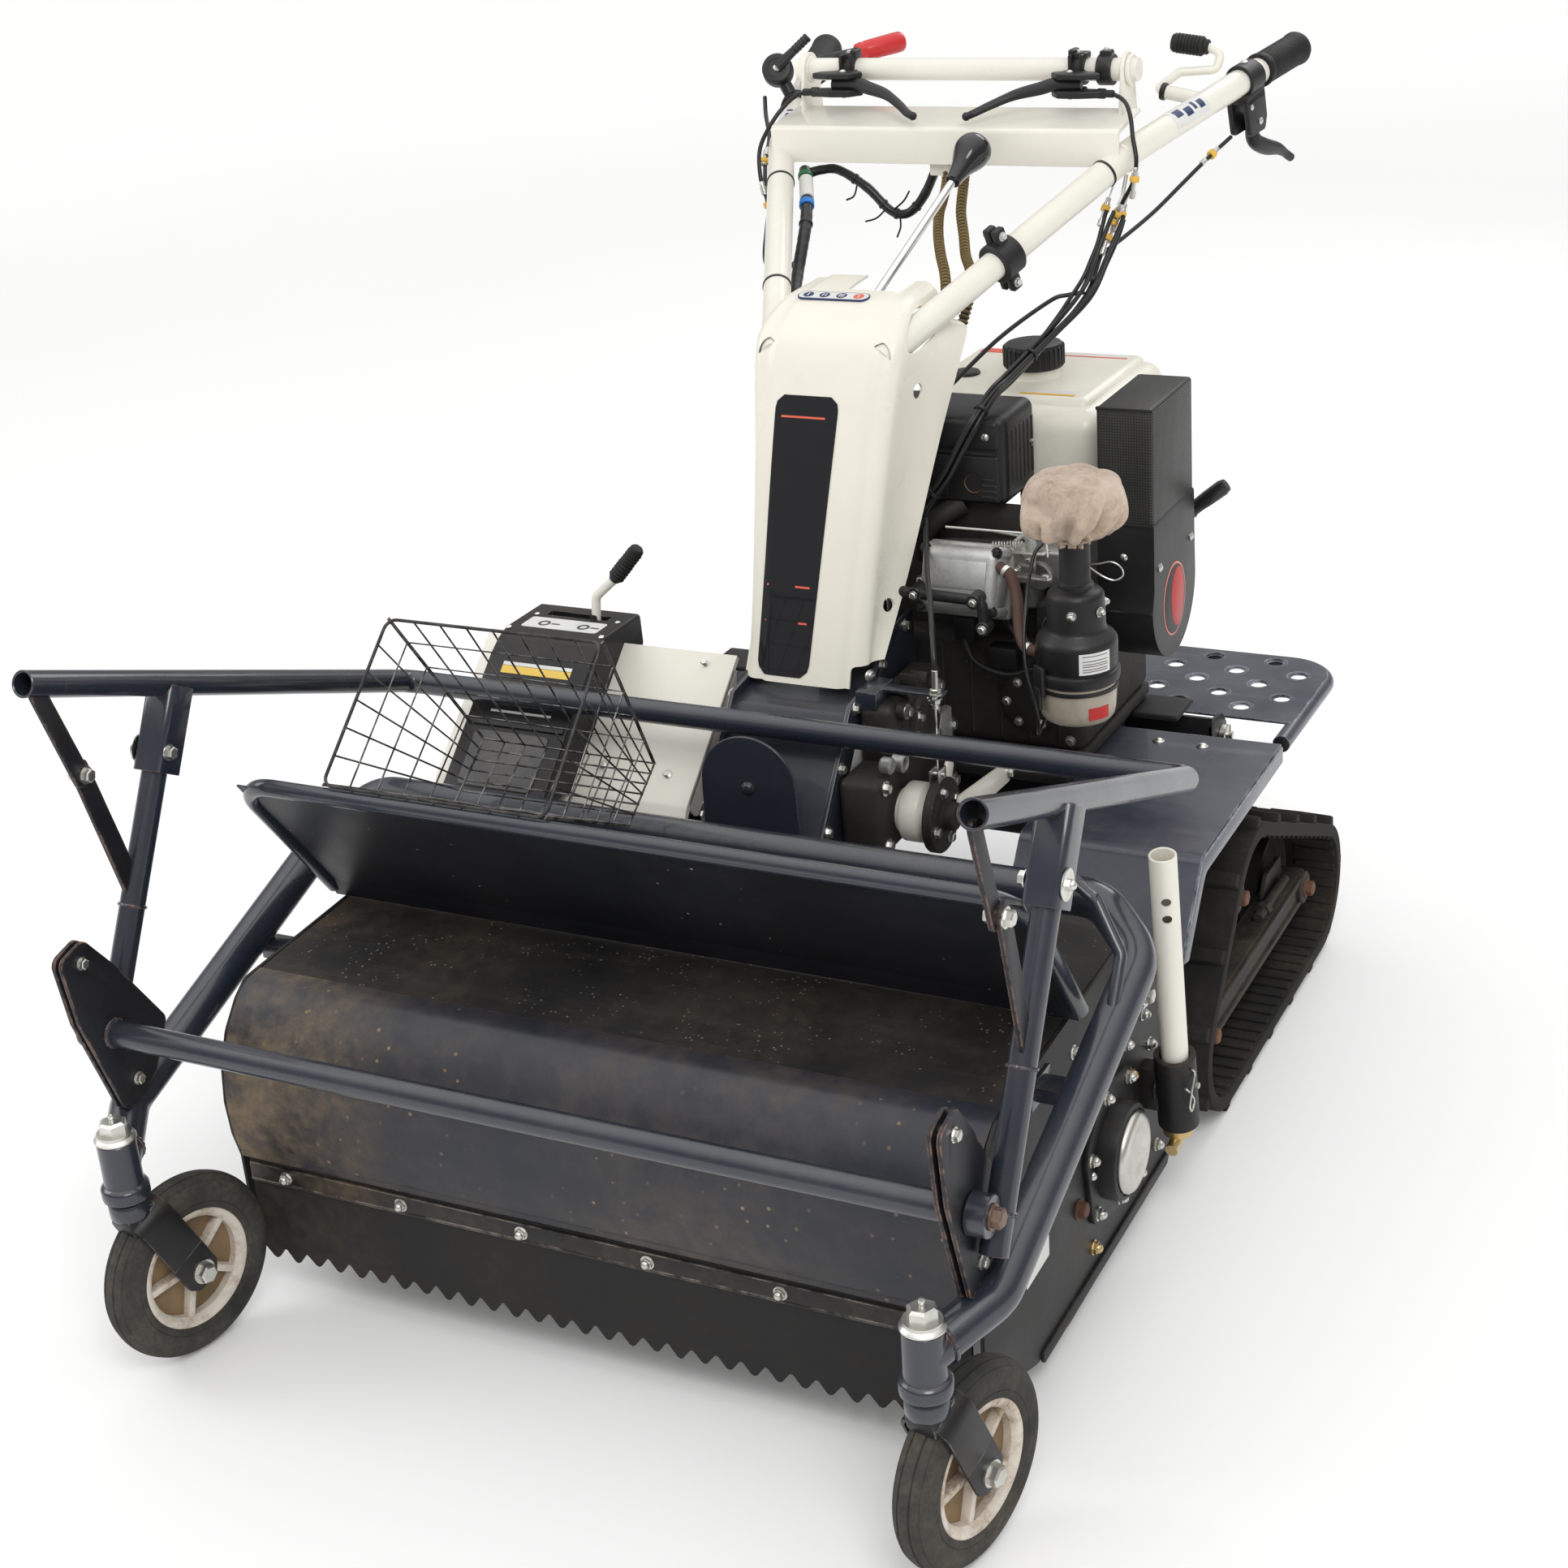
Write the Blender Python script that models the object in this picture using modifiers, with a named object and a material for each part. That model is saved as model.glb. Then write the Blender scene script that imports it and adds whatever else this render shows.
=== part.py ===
# Walk-behind flail mower on rubber tracks, with front casters, a tilting guard and a crop basket.
# Metres, +Z up. -Y is the front of the machine and +X is its left side.
# Lengths along Y are first counted from the caster stems, then shifted so that the origin lies
# on the ground below the middle of the machine.

import math

import bmesh
import bpy
from mathutils import Matrix, Vector

# Fits and general sizes
GAP = 0.0003
RUNNING = 0.0008
WELD = 0.00003
MIDDLE_Y = 0.7606
SHEET = 0.0025
SMOOTH_ANGLE = 35.0

# Mower deck, seen from the side as (y, z)
DECK_HALF = 0.428
DECK_OUTER = [(0.158, 0.1735), (0.150, 0.205), (0.147, 0.245), (0.152, 0.285), (0.168, 0.322),
              (0.192, 0.350), (0.213, 0.363), (0.235, 0.3645)]
TOP_OUTER = [(0.2353, 0.3645), (0.415, 0.371), (0.610, 0.3765), (0.652, 0.330), (0.662, 0.250),
             (0.663, 0.110)]
SIDE_OUTLINE = [(0.160, 0.100), (0.159, 0.1735), (0.151, 0.205), (0.148, 0.245), (0.153, 0.285),
                (0.169, 0.322),
                (0.193, 0.350), (0.213, 0.364), (0.415, 0.372), (0.608, 0.3775), (0.654, 0.331),
                (0.668, 0.280), (0.722, 0.120), (0.722, 0.046), (0.700, 0.028), (0.380, 0.022),
                (0.290, 0.036),
                (0.200, 0.070)]
SIDE_THICK = 0.005
FLAP_TOP = 0.173
FLAP_TIP = 0.047
FLAP_TOOTH = 0.014
FLAP_TEETH = 30
FLAP_Y = 0.158
FLAP_THICK = 0.005
ROTOR_Y = 0.505
ROTOR_Z = 0.163
ROTOR_TUBE = 0.038
ROTOR_SHAFT = 0.0145
KNIFE_REACH = 0.118

# Side tubes of the caster frame, the casters and the guard, each from the deck's half width
FRAME_X = DECK_HALF + 0.059
CASTER_X = FRAME_X - 0.041
GUARD_X = FRAME_X + 0.005
CASTER_Y = -0.002
CASTER_TRAIL = 0.055
CASTER_TURN = 12.0
WHEEL_RADIUS = 0.102
WHEEL_HALF = 0.019
BOSS_BOTTOM = 0.2170
BOSS_TOP = 0.285
STEM_RADIUS = 0.010
AXLE_RADIUS = 0.008

# Tubes
FRAME_TUBE = 0.0205
GUARD_TUBE = 0.0138
HANDLE_TUBE = 0.0162
BAR_TUBE = 0.0140
PANEL_TUBE = 0.0095

# Guard and its bar
BAR_Y = 0.042
BAR_Z = 0.382

# Left handle tube from the cowl to the grip, and the grip bar across both tubes
HANDLE_LOW = Vector((0.0645, 0.839, 0.899))
HANDLE_BEND = Vector((0.229, 1.217, 1.060))
TUBE_GRIP = Vector((0.298, 1.451, 1.106))
TUBE_END = Vector((0.3255, 1.563, 1.123))
CROSS_AHEAD = 0.047
CROSS_RISE = 0.084

# Basket wires and cells, cables, ribbed conduit, gear lever, folding step and fuel tank
BASKET_WIRE = 0.0036
BASKET_ACROSS = 6
BASKET_ALONG = 4
BASKET_DEEP = 3
CABLE = 0.0028
BUNDLE = 0.0072
CONDUIT = 0.0062
RIB = 0.0072
STEP_Z = 0.352
GEAR_ROD = 0.0050
TANK_BOTTOM = 0.6855

# Tracks
TRACK_X = 0.366
TRACK_HALF = 0.088
BELT = 0.0277
BEAM_HALF = 0.235
WHEELS = {"sprocket": (0.985, 0.226, 0.0770), "front": (0.873, 0.098, 0.0700),
          "rear": (1.283, 0.098, 0.0700)}

# Colours as linear red, green, blue, then metallic and roughness
NAVY = (0.020, 0.026, 0.045, 0.0, 0.38)
BLACK = (0.012, 0.012, 0.013, 0.0, 0.45)
DUSTY = (0.030, 0.028, 0.026, 0.0, 0.70)
CREAM = (0.78, 0.76, 0.66, 0.0, 0.40)
RUBBER = (0.020, 0.020, 0.020, 0.0, 0.85)
STEEL = (0.55, 0.56, 0.57, 1.0, 0.35)
SILVER = (0.45, 0.45, 0.44, 0.9, 0.45)
CAST = (0.05, 0.048, 0.045, 0.5, 0.60)
PALE = (0.62, 0.58, 0.48, 0.0, 0.50)
CLOTH = (0.55, 0.47, 0.38, 0.0, 0.95)
RED = (0.60, 0.02, 0.02, 0.0, 0.40)
GLOSS = (0.008, 0.008, 0.009, 0.0, 0.12)

# Clear the scene and make the collection
for old in list(bpy.data.objects):
    bpy.data.objects.remove(old, do_unlink=True)
collection = bpy.data.collections.new("flail_mower")
bpy.context.scene.collection.children.link(collection)


# Basic shapes, each returned as a mesh in machine coordinates

def put(mesh, name="shape"):
    item = bpy.data.objects.new(name, mesh)
    collection.objects.link(item)
    return item


def take(item):
    bpy.context.view_layer.update()
    graph = bpy.context.evaluated_depsgraph_get()
    mesh = bpy.data.meshes.new_from_object(item.evaluated_get(graph))
    mesh.transform(item.matrix_world)
    bpy.data.objects.remove(item, do_unlink=True)
    return mesh


def tidy(mesh):
    work = bmesh.new()
    work.from_mesh(mesh)
    bmesh.ops.remove_doubles(work, verts=work.verts, dist=WELD)
    bmesh.ops.recalc_face_normals(work, faces=work.faces)
    work.to_mesh(mesh)
    work.free()
    return mesh


def bevelled(mesh, width, segments=2, angle=40.0):
    item = put(mesh)
    bevel = item.modifiers.new("edges", "BEVEL")
    bevel.width = width
    bevel.segments = segments
    bevel.limit_method = "ANGLE"
    bevel.angle_limit = math.radians(angle)
    return take(item)


def box(low, high, edge=0.0, segments=2):
    low = Vector(low)
    high = Vector(high)
    work = bmesh.new()
    bmesh.ops.create_cube(work, size=1.0)
    size = high - low
    middle = (high + low) / 2
    bmesh.ops.transform(work, matrix=Matrix.Translation(middle) @ Matrix.Diagonal((*size, 1.0)),
                        verts=work.verts)
    mesh = bpy.data.meshes.new("box")
    work.to_mesh(mesh)
    work.free()
    if edge:
        mesh = bevelled(mesh, edge, segments)
    return mesh


def along(start, end):
    start = Vector(start)
    direction = Vector(end) - start
    turn = direction.to_track_quat("Z", "Y").to_matrix().to_4x4()
    return Matrix.Translation(start) @ turn, direction.length


def rod(start, end, radius, sides=16, tip=None):
    place, length = along(start, end)
    work = bmesh.new()
    bmesh.ops.create_cone(work, cap_ends=True, segments=sides, radius1=radius,
                          radius2=radius if tip is None else tip, depth=length)
    bmesh.ops.transform(work, matrix=place @ Matrix.Translation((0, 0, length / 2)), verts=work.verts)
    mesh = bpy.data.meshes.new("rod")
    work.to_mesh(mesh)
    work.free()
    return mesh


def turned(profile, start, end, steps=24, closed=False):
    # profile is a list of (radius, distance along the axis)
    place, _ = along(start, end)
    mesh = bpy.data.meshes.new("turned")
    points = [(radius, 0.0, height) for radius, height in profile]
    edges = [(i, i + 1) for i in range(len(points) - 1)]
    if closed:
        edges.append((len(points) - 1, 0))
    mesh.from_pydata(points, edges, [])
    item = put(mesh)
    screw = item.modifiers.new("turn", "SCREW")
    screw.steps = steps
    screw.render_steps = steps
    screw.use_merge_vertices = True
    screw.merge_threshold = WELD
    mesh = take(item)
    mesh.transform(place)
    return tidy(mesh)


def tube(points, radius, resolution=2, radii=None):
    curve = bpy.data.curves.new("tube", "CURVE")
    curve.dimensions = "3D"
    curve.bevel_depth = radius
    curve.bevel_resolution = resolution
    curve.use_fill_caps = True
    spline = curve.splines.new("POLY")
    spline.points.add(len(points) - 1)
    for i, point in enumerate(points):
        spline.points[i].co = (*point, 1.0)
        if radii:
            spline.points[i].radius = radii[i]
    return tidy(take(put(curve)))


def flat(points, thickness, place, holes=()):
    curve = bpy.data.curves.new("flat", "CURVE")
    curve.dimensions = "2D"
    curve.fill_mode = "BOTH"
    curve.extrude = thickness / 2
    for outline in (points, *holes):
        spline = curve.splines.new("POLY")
        spline.points.add(len(outline) - 1)
        for i, point in enumerate(outline):
            spline.points[i].co = (point[0], point[1], 0.0, 1.0)
        spline.use_cyclic_u = True
    item = put(curve)
    item.matrix_world = place
    return tidy(take(item))


def seen_side(points, x_low, x_high, holes=()):
    place = Matrix(((0, 0, 1, (x_low + x_high) / 2), (1, 0, 0, 0), (0, 1, 0, 0), (0, 0, 0, 1)))
    return flat(points, x_high - x_low, place, holes)


def seen_front(points, y_low, y_high, holes=()):
    place = Matrix(((1, 0, 0, 0), (0, 0, -1, (y_low + y_high) / 2), (0, 1, 0, 0), (0, 0, 0, 1)))
    return flat(points, y_high - y_low, place, holes)


def seen_top(points, z_low, z_high, holes=()):
    place = Matrix.Translation((0, 0, (z_low + z_high) / 2))
    return flat(points, z_high - z_low, place, holes)


def circle(middle, radius, count=24, start=0.0, sweep=360.0):
    steps = count if sweep == 360.0 else count + 1
    angles = [math.radians(start + sweep * i / count) for i in range(steps)]
    return [(middle[0] + radius * math.cos(a), middle[1] + radius * math.sin(a)) for a in angles]


def eased(points, radius, steps=4, closed=True):
    # round each corner of an outline or a route with an arc
    points = [Vector(point) for point in points]
    count = len(points)
    result = []
    for i, corner in enumerate(points):
        if not closed and i in (0, count - 1):
            result.append(tuple(corner))
            continue
        before = points[i - 1] - corner
        after = points[(i + 1) % count] - corner
        size = radius[i] if isinstance(radius, (list, tuple)) else radius
        half = before.angle(after) / 2
        reach = min(size / math.tan(half), 0.49 * before.length, 0.49 * after.length)
        size = reach * math.tan(half)
        if size < 0.0004:
            result.append(tuple(corner))
            continue
        before.normalize()
        after.normalize()
        middle = corner + (before + after).normalized() * (size / math.sin(half))
        first = corner + before * reach - middle
        last = corner + after * reach - middle
        total = first.angle(last)
        for step in range(steps + 1):
            share = step / steps
            arm = first * math.sin((1 - share) * total) + last * math.sin(share * total)
            result.append(tuple(middle + arm / math.sin(total)))
    return result


def ribbon(points, thickness):
    # a sheet's edge view: the outer line, then the same line moved to its right
    outer = [Vector(point) for point in points]
    inner = []
    for i, point in enumerate(outer):
        sides = []
        if i > 0:
            sides.append((point - outer[i - 1]).normalized())
        if i < len(outer) - 1:
            sides.append((outer[i + 1] - point).normalized())
        normals = [Vector((side.y, -side.x)) for side in sides]
        mean = sum(normals, Vector((0.0, 0.0))).normalized()
        inner.append(point + mean * (thickness / max(0.5, mean.dot(normals[0]))))
    return [tuple(p) for p in outer] + [tuple(p) for p in reversed(inner)]


def smooth(points, spacing):
    # an even row of points on a curve through all the given points
    points = [Vector(point) for point in points]
    ends = [2 * points[0] - points[1]] + points + [2 * points[-1] - points[-2]]
    fine = []
    for i in range(1, len(ends) - 2):
        before, first, last, after = ends[i - 1:i + 3]
        for step in range(24):
            t = step / 24
            straight = 2 * first + (last - before) * t
            square = (2 * before - 5 * first + 4 * last - after) * t * t
            cube = (3 * first - before - 3 * last + after) * t * t * t
            fine.append(0.5 * (straight + square + cube))
    fine.append(points[-1])
    length = sum((b - a).length for a, b in zip(fine, fine[1:]))
    count = max(2, round(length / spacing))
    result = [fine[0]]
    walked = 0.0
    for a, b in zip(fine, fine[1:]):
        piece = (b - a).length
        while len(result) < count and walked + piece >= length * len(result) / count:
            share = (length * len(result) / count - walked) / piece
            result.append(a.lerp(b, share))
        walked += piece
    result.append(fine[-1])
    return result


def combined(operation, mesh, others):
    item = put(mesh)
    tools = []
    for other in others:
        tool = put(other, "tool")
        change = item.modifiers.new("join", "BOOLEAN")
        change.operation = operation
        change.solver = "EXACT"
        change.object = tool
        tools.append(tool)
    result = take(item)
    for tool in tools:
        bpy.data.objects.remove(tool, do_unlink=True)
    return tidy(result)


def joined(mesh, *others):
    return combined("UNION", mesh, others)


def cut(mesh, *others):
    return combined("DIFFERENCE", mesh, others)


def common(mesh, *others):
    return combined("INTERSECT", mesh, others)


def moved(mesh, matrix):
    copy = mesh.copy()
    copy.transform(matrix)
    return copy


def mirrored(mesh):
    copy = mesh.copy()
    copy.transform(Matrix.Diagonal((-1, 1, 1, 1)))
    copy.flip_normals()
    return copy


def material(name, look):
    made = bpy.data.materials.new(name)
    made.use_nodes = True
    shader = made.node_tree.nodes["Principled BSDF"]
    shader.inputs["Base Color"].default_value = (*look[:3], 1.0)
    shader.inputs["Metallic"].default_value = look[3]
    shader.inputs["Roughness"].default_value = look[4]
    made.diffuse_color = (*look[:3], 1.0)
    return made


def part(name, mesh, look, pivot=(0.0, 0.0, 0.0)):
    mesh.name = name
    mesh.transform(Matrix.Translation(-Vector(pivot)))
    mesh.materials.clear()
    mesh.materials.append(material(name, look))
    mesh.shade_smooth()
    mesh.set_sharp_from_angle(angle=math.radians(SMOOTH_ANGLE))
    item = bpy.data.objects.new(name, mesh)
    item.location = (pivot[0], pivot[1] - MIDDLE_Y, pivot[2])
    collection.objects.link(item)
    return item


def turn_about(point, axis, degrees):
    centre = Matrix.Translation(Vector(point))
    return centre @ Matrix.Rotation(math.radians(degrees), 4, axis) @ centre.inverted()


# Mower deck

def plate_top(y):
    # height of the deck's top plate at a place along the machine
    for (y_low, z_low), (y_high, z_high) in zip(TOP_OUTER, TOP_OUTER[1:]):
        if y <= y_high:
            return z_low + (z_high - z_low) * (y - y_low) / (y_high - y_low)
    return TOP_OUTER[-1][1]


deck_inside = DECK_HALF - GAP
part("front_cover", seen_side(ribbon(DECK_OUTER, SHEET), -deck_inside, deck_inside), NAVY)
part("top_plate", seen_side(ribbon(TOP_OUTER, SHEET), -deck_inside, deck_inside), DUSTY)

flap_half = DECK_HALF - 0.008
pitch = 2 * flap_half / FLAP_TEETH
zigzag = [(-flap_half, FLAP_TOP), (-flap_half, FLAP_TIP + FLAP_TOOTH)]
for tooth in range(FLAP_TEETH):
    zigzag.append((-flap_half + (tooth + 0.5) * pitch, FLAP_TIP))
    zigzag.append((-flap_half + (tooth + 1) * pitch,
                   FLAP_TIP + FLAP_TOOTH + 0.0010 * math.sin(2.4 * tooth)))
zigzag.append((flap_half, FLAP_TOP))
flap = seen_front(zigzag, FLAP_Y, FLAP_Y + FLAP_THICK)
clamp = box((-flap_half + 0.002, FLAP_Y - 0.0035, 0.149), (flap_half - 0.002, FLAP_Y + 0.001, 0.171))
part("rubber_flap", joined(flap, clamp), RUBBER)

# Side plates carry the rotor's bearing housings
plate_low = DECK_HALF
plate_high = DECK_HALF + SIDE_THICK
plate = seen_side(SIDE_OUTLINE, plate_low, plate_high)
flange = seen_side(eased([(ROTOR_Y - 0.078, ROTOR_Z + 0.03), (ROTOR_Y - 0.02, ROTOR_Z + 0.085),
                          (ROTOR_Y + 0.06, ROTOR_Z + 0.07), (ROTOR_Y + 0.075, ROTOR_Z - 0.02),
                          (ROTOR_Y + 0.02, ROTOR_Z - 0.085), (ROTOR_Y - 0.06, ROTOR_Z - 0.06)], 0.02, 2),
                   plate_high - 0.001, plate_high + 0.006)
housing = turned([(0.0, 0.0), (0.052, 0.0), (0.052, 0.026), (0.050, 0.034), (0.042, 0.041), (0.030, 0.043),
                  (0.024, 0.040), (0.0, 0.040)],
                 (plate_high - 0.001, ROTOR_Y, ROTOR_Z), (plate_high + 0.1, ROTOR_Y, ROTOR_Z), 18)
bearing = rod((plate_low - 0.01, ROTOR_Y, ROTOR_Z), (plate_high + 0.022, ROTOR_Y, ROTOR_Z),
              ROTOR_SHAFT + RUNNING)
socket_y = 0.622
socket_x = plate_high + 0.037
socket_base = box((plate_high - 0.001, socket_y - 0.012, 0.150),
                  (socket_x - 0.018, socket_y + 0.012, 0.200))
socket = rod((socket_x, socket_y + 0.008, 0.130), (socket_x, socket_y - 0.006, 0.222), 0.0225)
pipe_high = (socket_x, socket_y - 0.040, 0.474)
pipe_hole = rod((socket_x, socket_y + 0.0028, 0.165), pipe_high, 0.0165 + GAP * 2)
left_plate = joined(plate, flange, housing, socket_base, socket)
left_plate = cut(left_plate, bearing, pipe_hole)
part("side_plate_left", left_plate, BLACK)
right_plate = joined(mirrored(plate), mirrored(flange), mirrored(housing))
part("side_plate_right", cut(right_plate, mirrored(bearing)), BLACK)

pipe = rod((socket_x, socket_y + 0.0025, 0.1665), pipe_high, 0.0160)
pipe_bore = rod((socket_x, socket_y - 0.010, 0.260), (socket_x, socket_y - 0.044, 0.500), 0.0130)
part("side_pipe", cut(pipe, pipe_bore), CREAM)

# Rotor with four rows of hammer knives
rotor_half = DECK_HALF - 0.004
knife_step = (2 * DECK_HALF - 0.096) / 19
shaft = joined(rod((-rotor_half, ROTOR_Y, ROTOR_Z), (rotor_half, ROTOR_Y, ROTOR_Z), ROTOR_TUBE, 16),
               rod((-plate_high - 0.018, ROTOR_Y, ROTOR_Z), (plate_high + 0.018, ROTOR_Y, ROTOR_Z),
                   ROTOR_SHAFT))
knives = []
for row in range(4):
    for step in range(5):
        x = -DECK_HALF + 0.068 + knife_step * (4 * step + row)
        blade = box((x - 0.022, ROTOR_Y - 0.004, ROTOR_Z + ROTOR_TUBE - 0.004),
                    (x + 0.022, ROTOR_Y + 0.004, ROTOR_Z + KNIFE_REACH))
        blade.transform(turn_about((0, ROTOR_Y, ROTOR_Z), "X", 90 * row + 20))
        knives.append(blade)
part("rotor", joined(shaft, *knives), STEEL, (0, ROTOR_Y, ROTOR_Z))

# Caster frame: one bent tube with a boss at each end and a hook rod on the left
half_route = [(CASTER_X, CASTER_Y, 0.256), (FRAME_X, 0.070, 0.281), (FRAME_X, 0.462, 0.420),
              (FRAME_X - 0.052, 0.500, 0.456)]
route = half_route + [(-x, y, z) for x, y, z in reversed(half_route)]
frame_route = eased(route, [0.03, 0.05, 0.055, 0.05, 0.05, 0.055, 0.05, 0.03], 3, closed=False)
frame = tube(frame_route, FRAME_TUBE, 2)
boss_profile = [(0.0, 0.0), (0.0235, 0.0), (0.0245, 0.004), (0.0245, 0.014), (0.0200, 0.018),
                (0.0200, BOSS_TOP - BOSS_BOTTOM), (0.0, BOSS_TOP - BOSS_BOTTOM)]
boss = turned(boss_profile, (CASTER_X, CASTER_Y, BOSS_BOTTOM), (CASTER_X, CASTER_Y, 1.0), 16)
hook = tube(eased([(FRAME_X - 0.087, 0.492, 0.471), (FRAME_X - 0.085, 0.470, 0.500),
                   (FRAME_X - 0.035, 0.432, 0.492), (FRAME_X - 0.001, 0.408, 0.448),
                   (FRAME_X, 0.376, 0.402)], 0.012, 2, closed=False), 0.0065, 1)
lug = box((plate_high + GAP, 0.300, 0.335), (FRAME_X - 0.009, 0.330, 0.352))
bore = rod((CASTER_X, CASTER_Y, BOSS_BOTTOM - 0.01), (CASTER_X, CASTER_Y, BOSS_TOP + 0.01),
           STEM_RADIUS + RUNNING, 12)
frame = joined(frame, boss, mirrored(boss), hook, lug, mirrored(lug))
part("caster_frame", cut(frame, bore, mirrored(bore)), NAVY)

# Casters: a bent fork on a stem, and a wheel that trails behind it
hub_y = CASTER_Y + CASTER_TRAIL
hub_z = WHEEL_RADIUS
lean = math.degrees(math.atan2(CASTER_TRAIL, BOSS_BOTTOM - hub_z))


def fork_mesh():
    inner = WHEEL_HALF + 0.0035
    outer = inner + 0.004
    reach_in = WHEEL_RADIUS + 0.0025
    reach_out = reach_in + 0.004
    arch = eased([(-inner, -0.016), (-inner, reach_in), (inner, reach_in), (inner, -0.016)], 0.010, 3,
                 closed=False)
    hoop = eased([(-outer, -0.016), (-outer, reach_out), (outer, reach_out), (outer, -0.016)], 0.014, 3,
                 closed=False)
    strip = seen_front(hoop + list(reversed(arch)), -0.024, 0.020)
    strip.transform(Matrix.Translation((0, hub_y, hub_z)) @ Matrix.Rotation(math.radians(lean), 4, "X"))
    collar = rod((0, CASTER_Y, 0.160), (0, CASTER_Y, BOSS_BOTTOM - GAP), 0.021, 16)
    room = rod((-inner, hub_y, hub_z), (inner, hub_y, hub_z), reach_in, 24)
    below = box((-0.05, CASTER_Y - 0.06, 0.02), (0.05, CASTER_Y - 0.018, 0.172))
    above = rod((0, CASTER_Y, BOSS_BOTTOM - GAP), (0, CASTER_Y, 0.26), 0.028, 16)
    head = cut(collar, room, below)
    stem = rod((0, CASTER_Y, BOSS_BOTTOM - 0.006), (0, CASTER_Y, 0.302), STEM_RADIUS, 12)
    washer = turned([(0.0, 0.0), (0.0215, 0.0), (0.0215, 0.003), (0.015, 0.0075), (0.0, 0.0075)],
                    (0, CASTER_Y, BOSS_TOP + GAP), (0, CASTER_Y, 1.0), 14)
    nut = rod((0, CASTER_Y, BOSS_TOP + 0.006), (0, CASTER_Y, 0.303), 0.0150, 6)
    nipple = rod((0, CASTER_Y, 0.300), (0, CASTER_Y, 0.316), 0.0035, 6)
    axle = rod((-outer - 0.008, hub_y, hub_z), (outer + 0.008, hub_y, hub_z), AXLE_RADIUS, 12)
    nuts = rod((outer - 0.001, hub_y, hub_z), (outer + 0.006, hub_y, hub_z), 0.0130, 6)
    return joined(cut(strip, above), head, stem, washer, nut, nipple, axle, nuts, mirrored(nuts))


def wheel_mesh():
    half = [(AXLE_RADIUS + RUNNING, 0.020), (0.018, 0.020), (0.020, 0.008), (0.062, 0.006),
            (0.0665, 0.0175),
            (0.080, WHEEL_HALF), (0.096, 0.0160), (WHEEL_RADIUS, 0.007)]
    profile = [(radius, -offset) for radius, offset in half] + [(radius, offset) for radius,
                                                                offset in reversed(half)]
    return turned(profile, (0, hub_y, hub_z), (1, hub_y, hub_z), 20, closed=True)


fork = fork_mesh()
wheel = wheel_mesh()
for side, sign in (("left", 1), ("right", -1)):
    place = turn_about((sign * CASTER_X, CASTER_Y, 0), "Z",
                       -CASTER_TURN) @ Matrix.Translation((sign * CASTER_X, 0, 0))
    hub = place @ Vector((0, hub_y, hub_z))
    part("caster_fork_" + side, moved(fork, place), BLACK, (sign * CASTER_X, CASTER_Y, BOSS_BOTTOM))
    part("caster_wheel_" + side, moved(wheel, place), RUBBER, tuple(hub))

# Bar across the front with doubled bracket plates, bolts and end pins
bar_plate = eased([(-0.012, 0.488), (0.025, 0.497), (0.060, 0.452), (0.120, 0.360), (0.092, 0.312),
                   (0.060, 0.290), (0.038, 0.292), (-0.002, 0.413)], 0.010, 1)
plate_x = FRAME_X - 0.0245
plate_wall = 0.004
plate_space = 0.009
inner_plate = seen_side(bar_plate, plate_x, plate_x + plate_wall)
outer_plate = seen_side(bar_plate, plate_x + plate_space, plate_x + plate_space + plate_wall)
cross_bar = rod((-plate_x - 0.001, BAR_Y, BAR_Z), (plate_x + 0.001, BAR_Y, BAR_Z), BAR_TUBE, 12)
end_pin = rod((plate_x + 0.0005, BAR_Y, BAR_Z), (FRAME_X + 0.017, BAR_Y, BAR_Z), 0.0085, 12)
end_nut = rod((FRAME_X + 0.010, BAR_Y, BAR_Z), (FRAME_X + 0.016, BAR_Y, BAR_Z), 0.0125, 6)
top_bolt = rod((plate_x - 0.0055, 0.016, 0.475), (plate_x + 0.018, 0.016, 0.475), 0.0065, 6)
low_bolt = rod((plate_x - 0.0055, 0.062, 0.318), (plate_x + 0.018, 0.062, 0.318), 0.0065, 6)
bar_side = joined(inner_plate, outer_plate, end_pin, end_nut, top_bolt, low_bolt)
frame_room = tube(frame_route, FRAME_TUBE + 2 * GAP, 2)
front_bar = joined(cross_bar, bar_side, mirrored(bar_side))
part("front_bar", cut(front_bar, frame_room), NAVY)

# Guard: a bent tube on two legs that tilts about the bar
arm_front = (GUARD_X + 0.001, 0.044, 0.760)
arm_rear = (FRAME_X - 0.007, 0.640, 0.535)
guard_route = [arm_front, arm_rear, (-arm_rear[0], *arm_rear[1:]), (-arm_front[0], *arm_front[1:])]
hoop_tube = tube(eased(guard_route, 0.016, 2, closed=False), GUARD_TUBE, 2)
arm_line = (Vector(arm_rear) - Vector(arm_front)).normalized()
open_end = rod(Vector(arm_front) - arm_line * 0.01, Vector(arm_front) + arm_line * 0.05,
               GUARD_TUBE - 0.0024, 12)
leg_low = Vector((GUARD_X, 0.0520, 0.335))
leg_high = Vector((GUARD_X, 0.2450, 0.683))
leg = rod(leg_low, leg_high, GUARD_TUBE - 0.0004, 12)
channel = box((-0.0185, -0.0175, -0.045), (0.0185, 0.0175, 0.050), 0.003, 1)
channel.transform(Matrix.Translation((GUARD_X - 0.001, 0.2210,
                                      0.640)) @ Matrix.Rotation(math.radians(-29.0), 4, "X"))
channel_bolt = rod((GUARD_X - 0.027, 0.205, 0.624), (GUARD_X + 0.027, 0.205, 0.624), 0.0075, 6)
channel_washer = rod((GUARD_X - 0.0215, 0.205, 0.624), (GUARD_X + 0.0215, 0.205, 0.624), 0.0140, 10)
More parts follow.
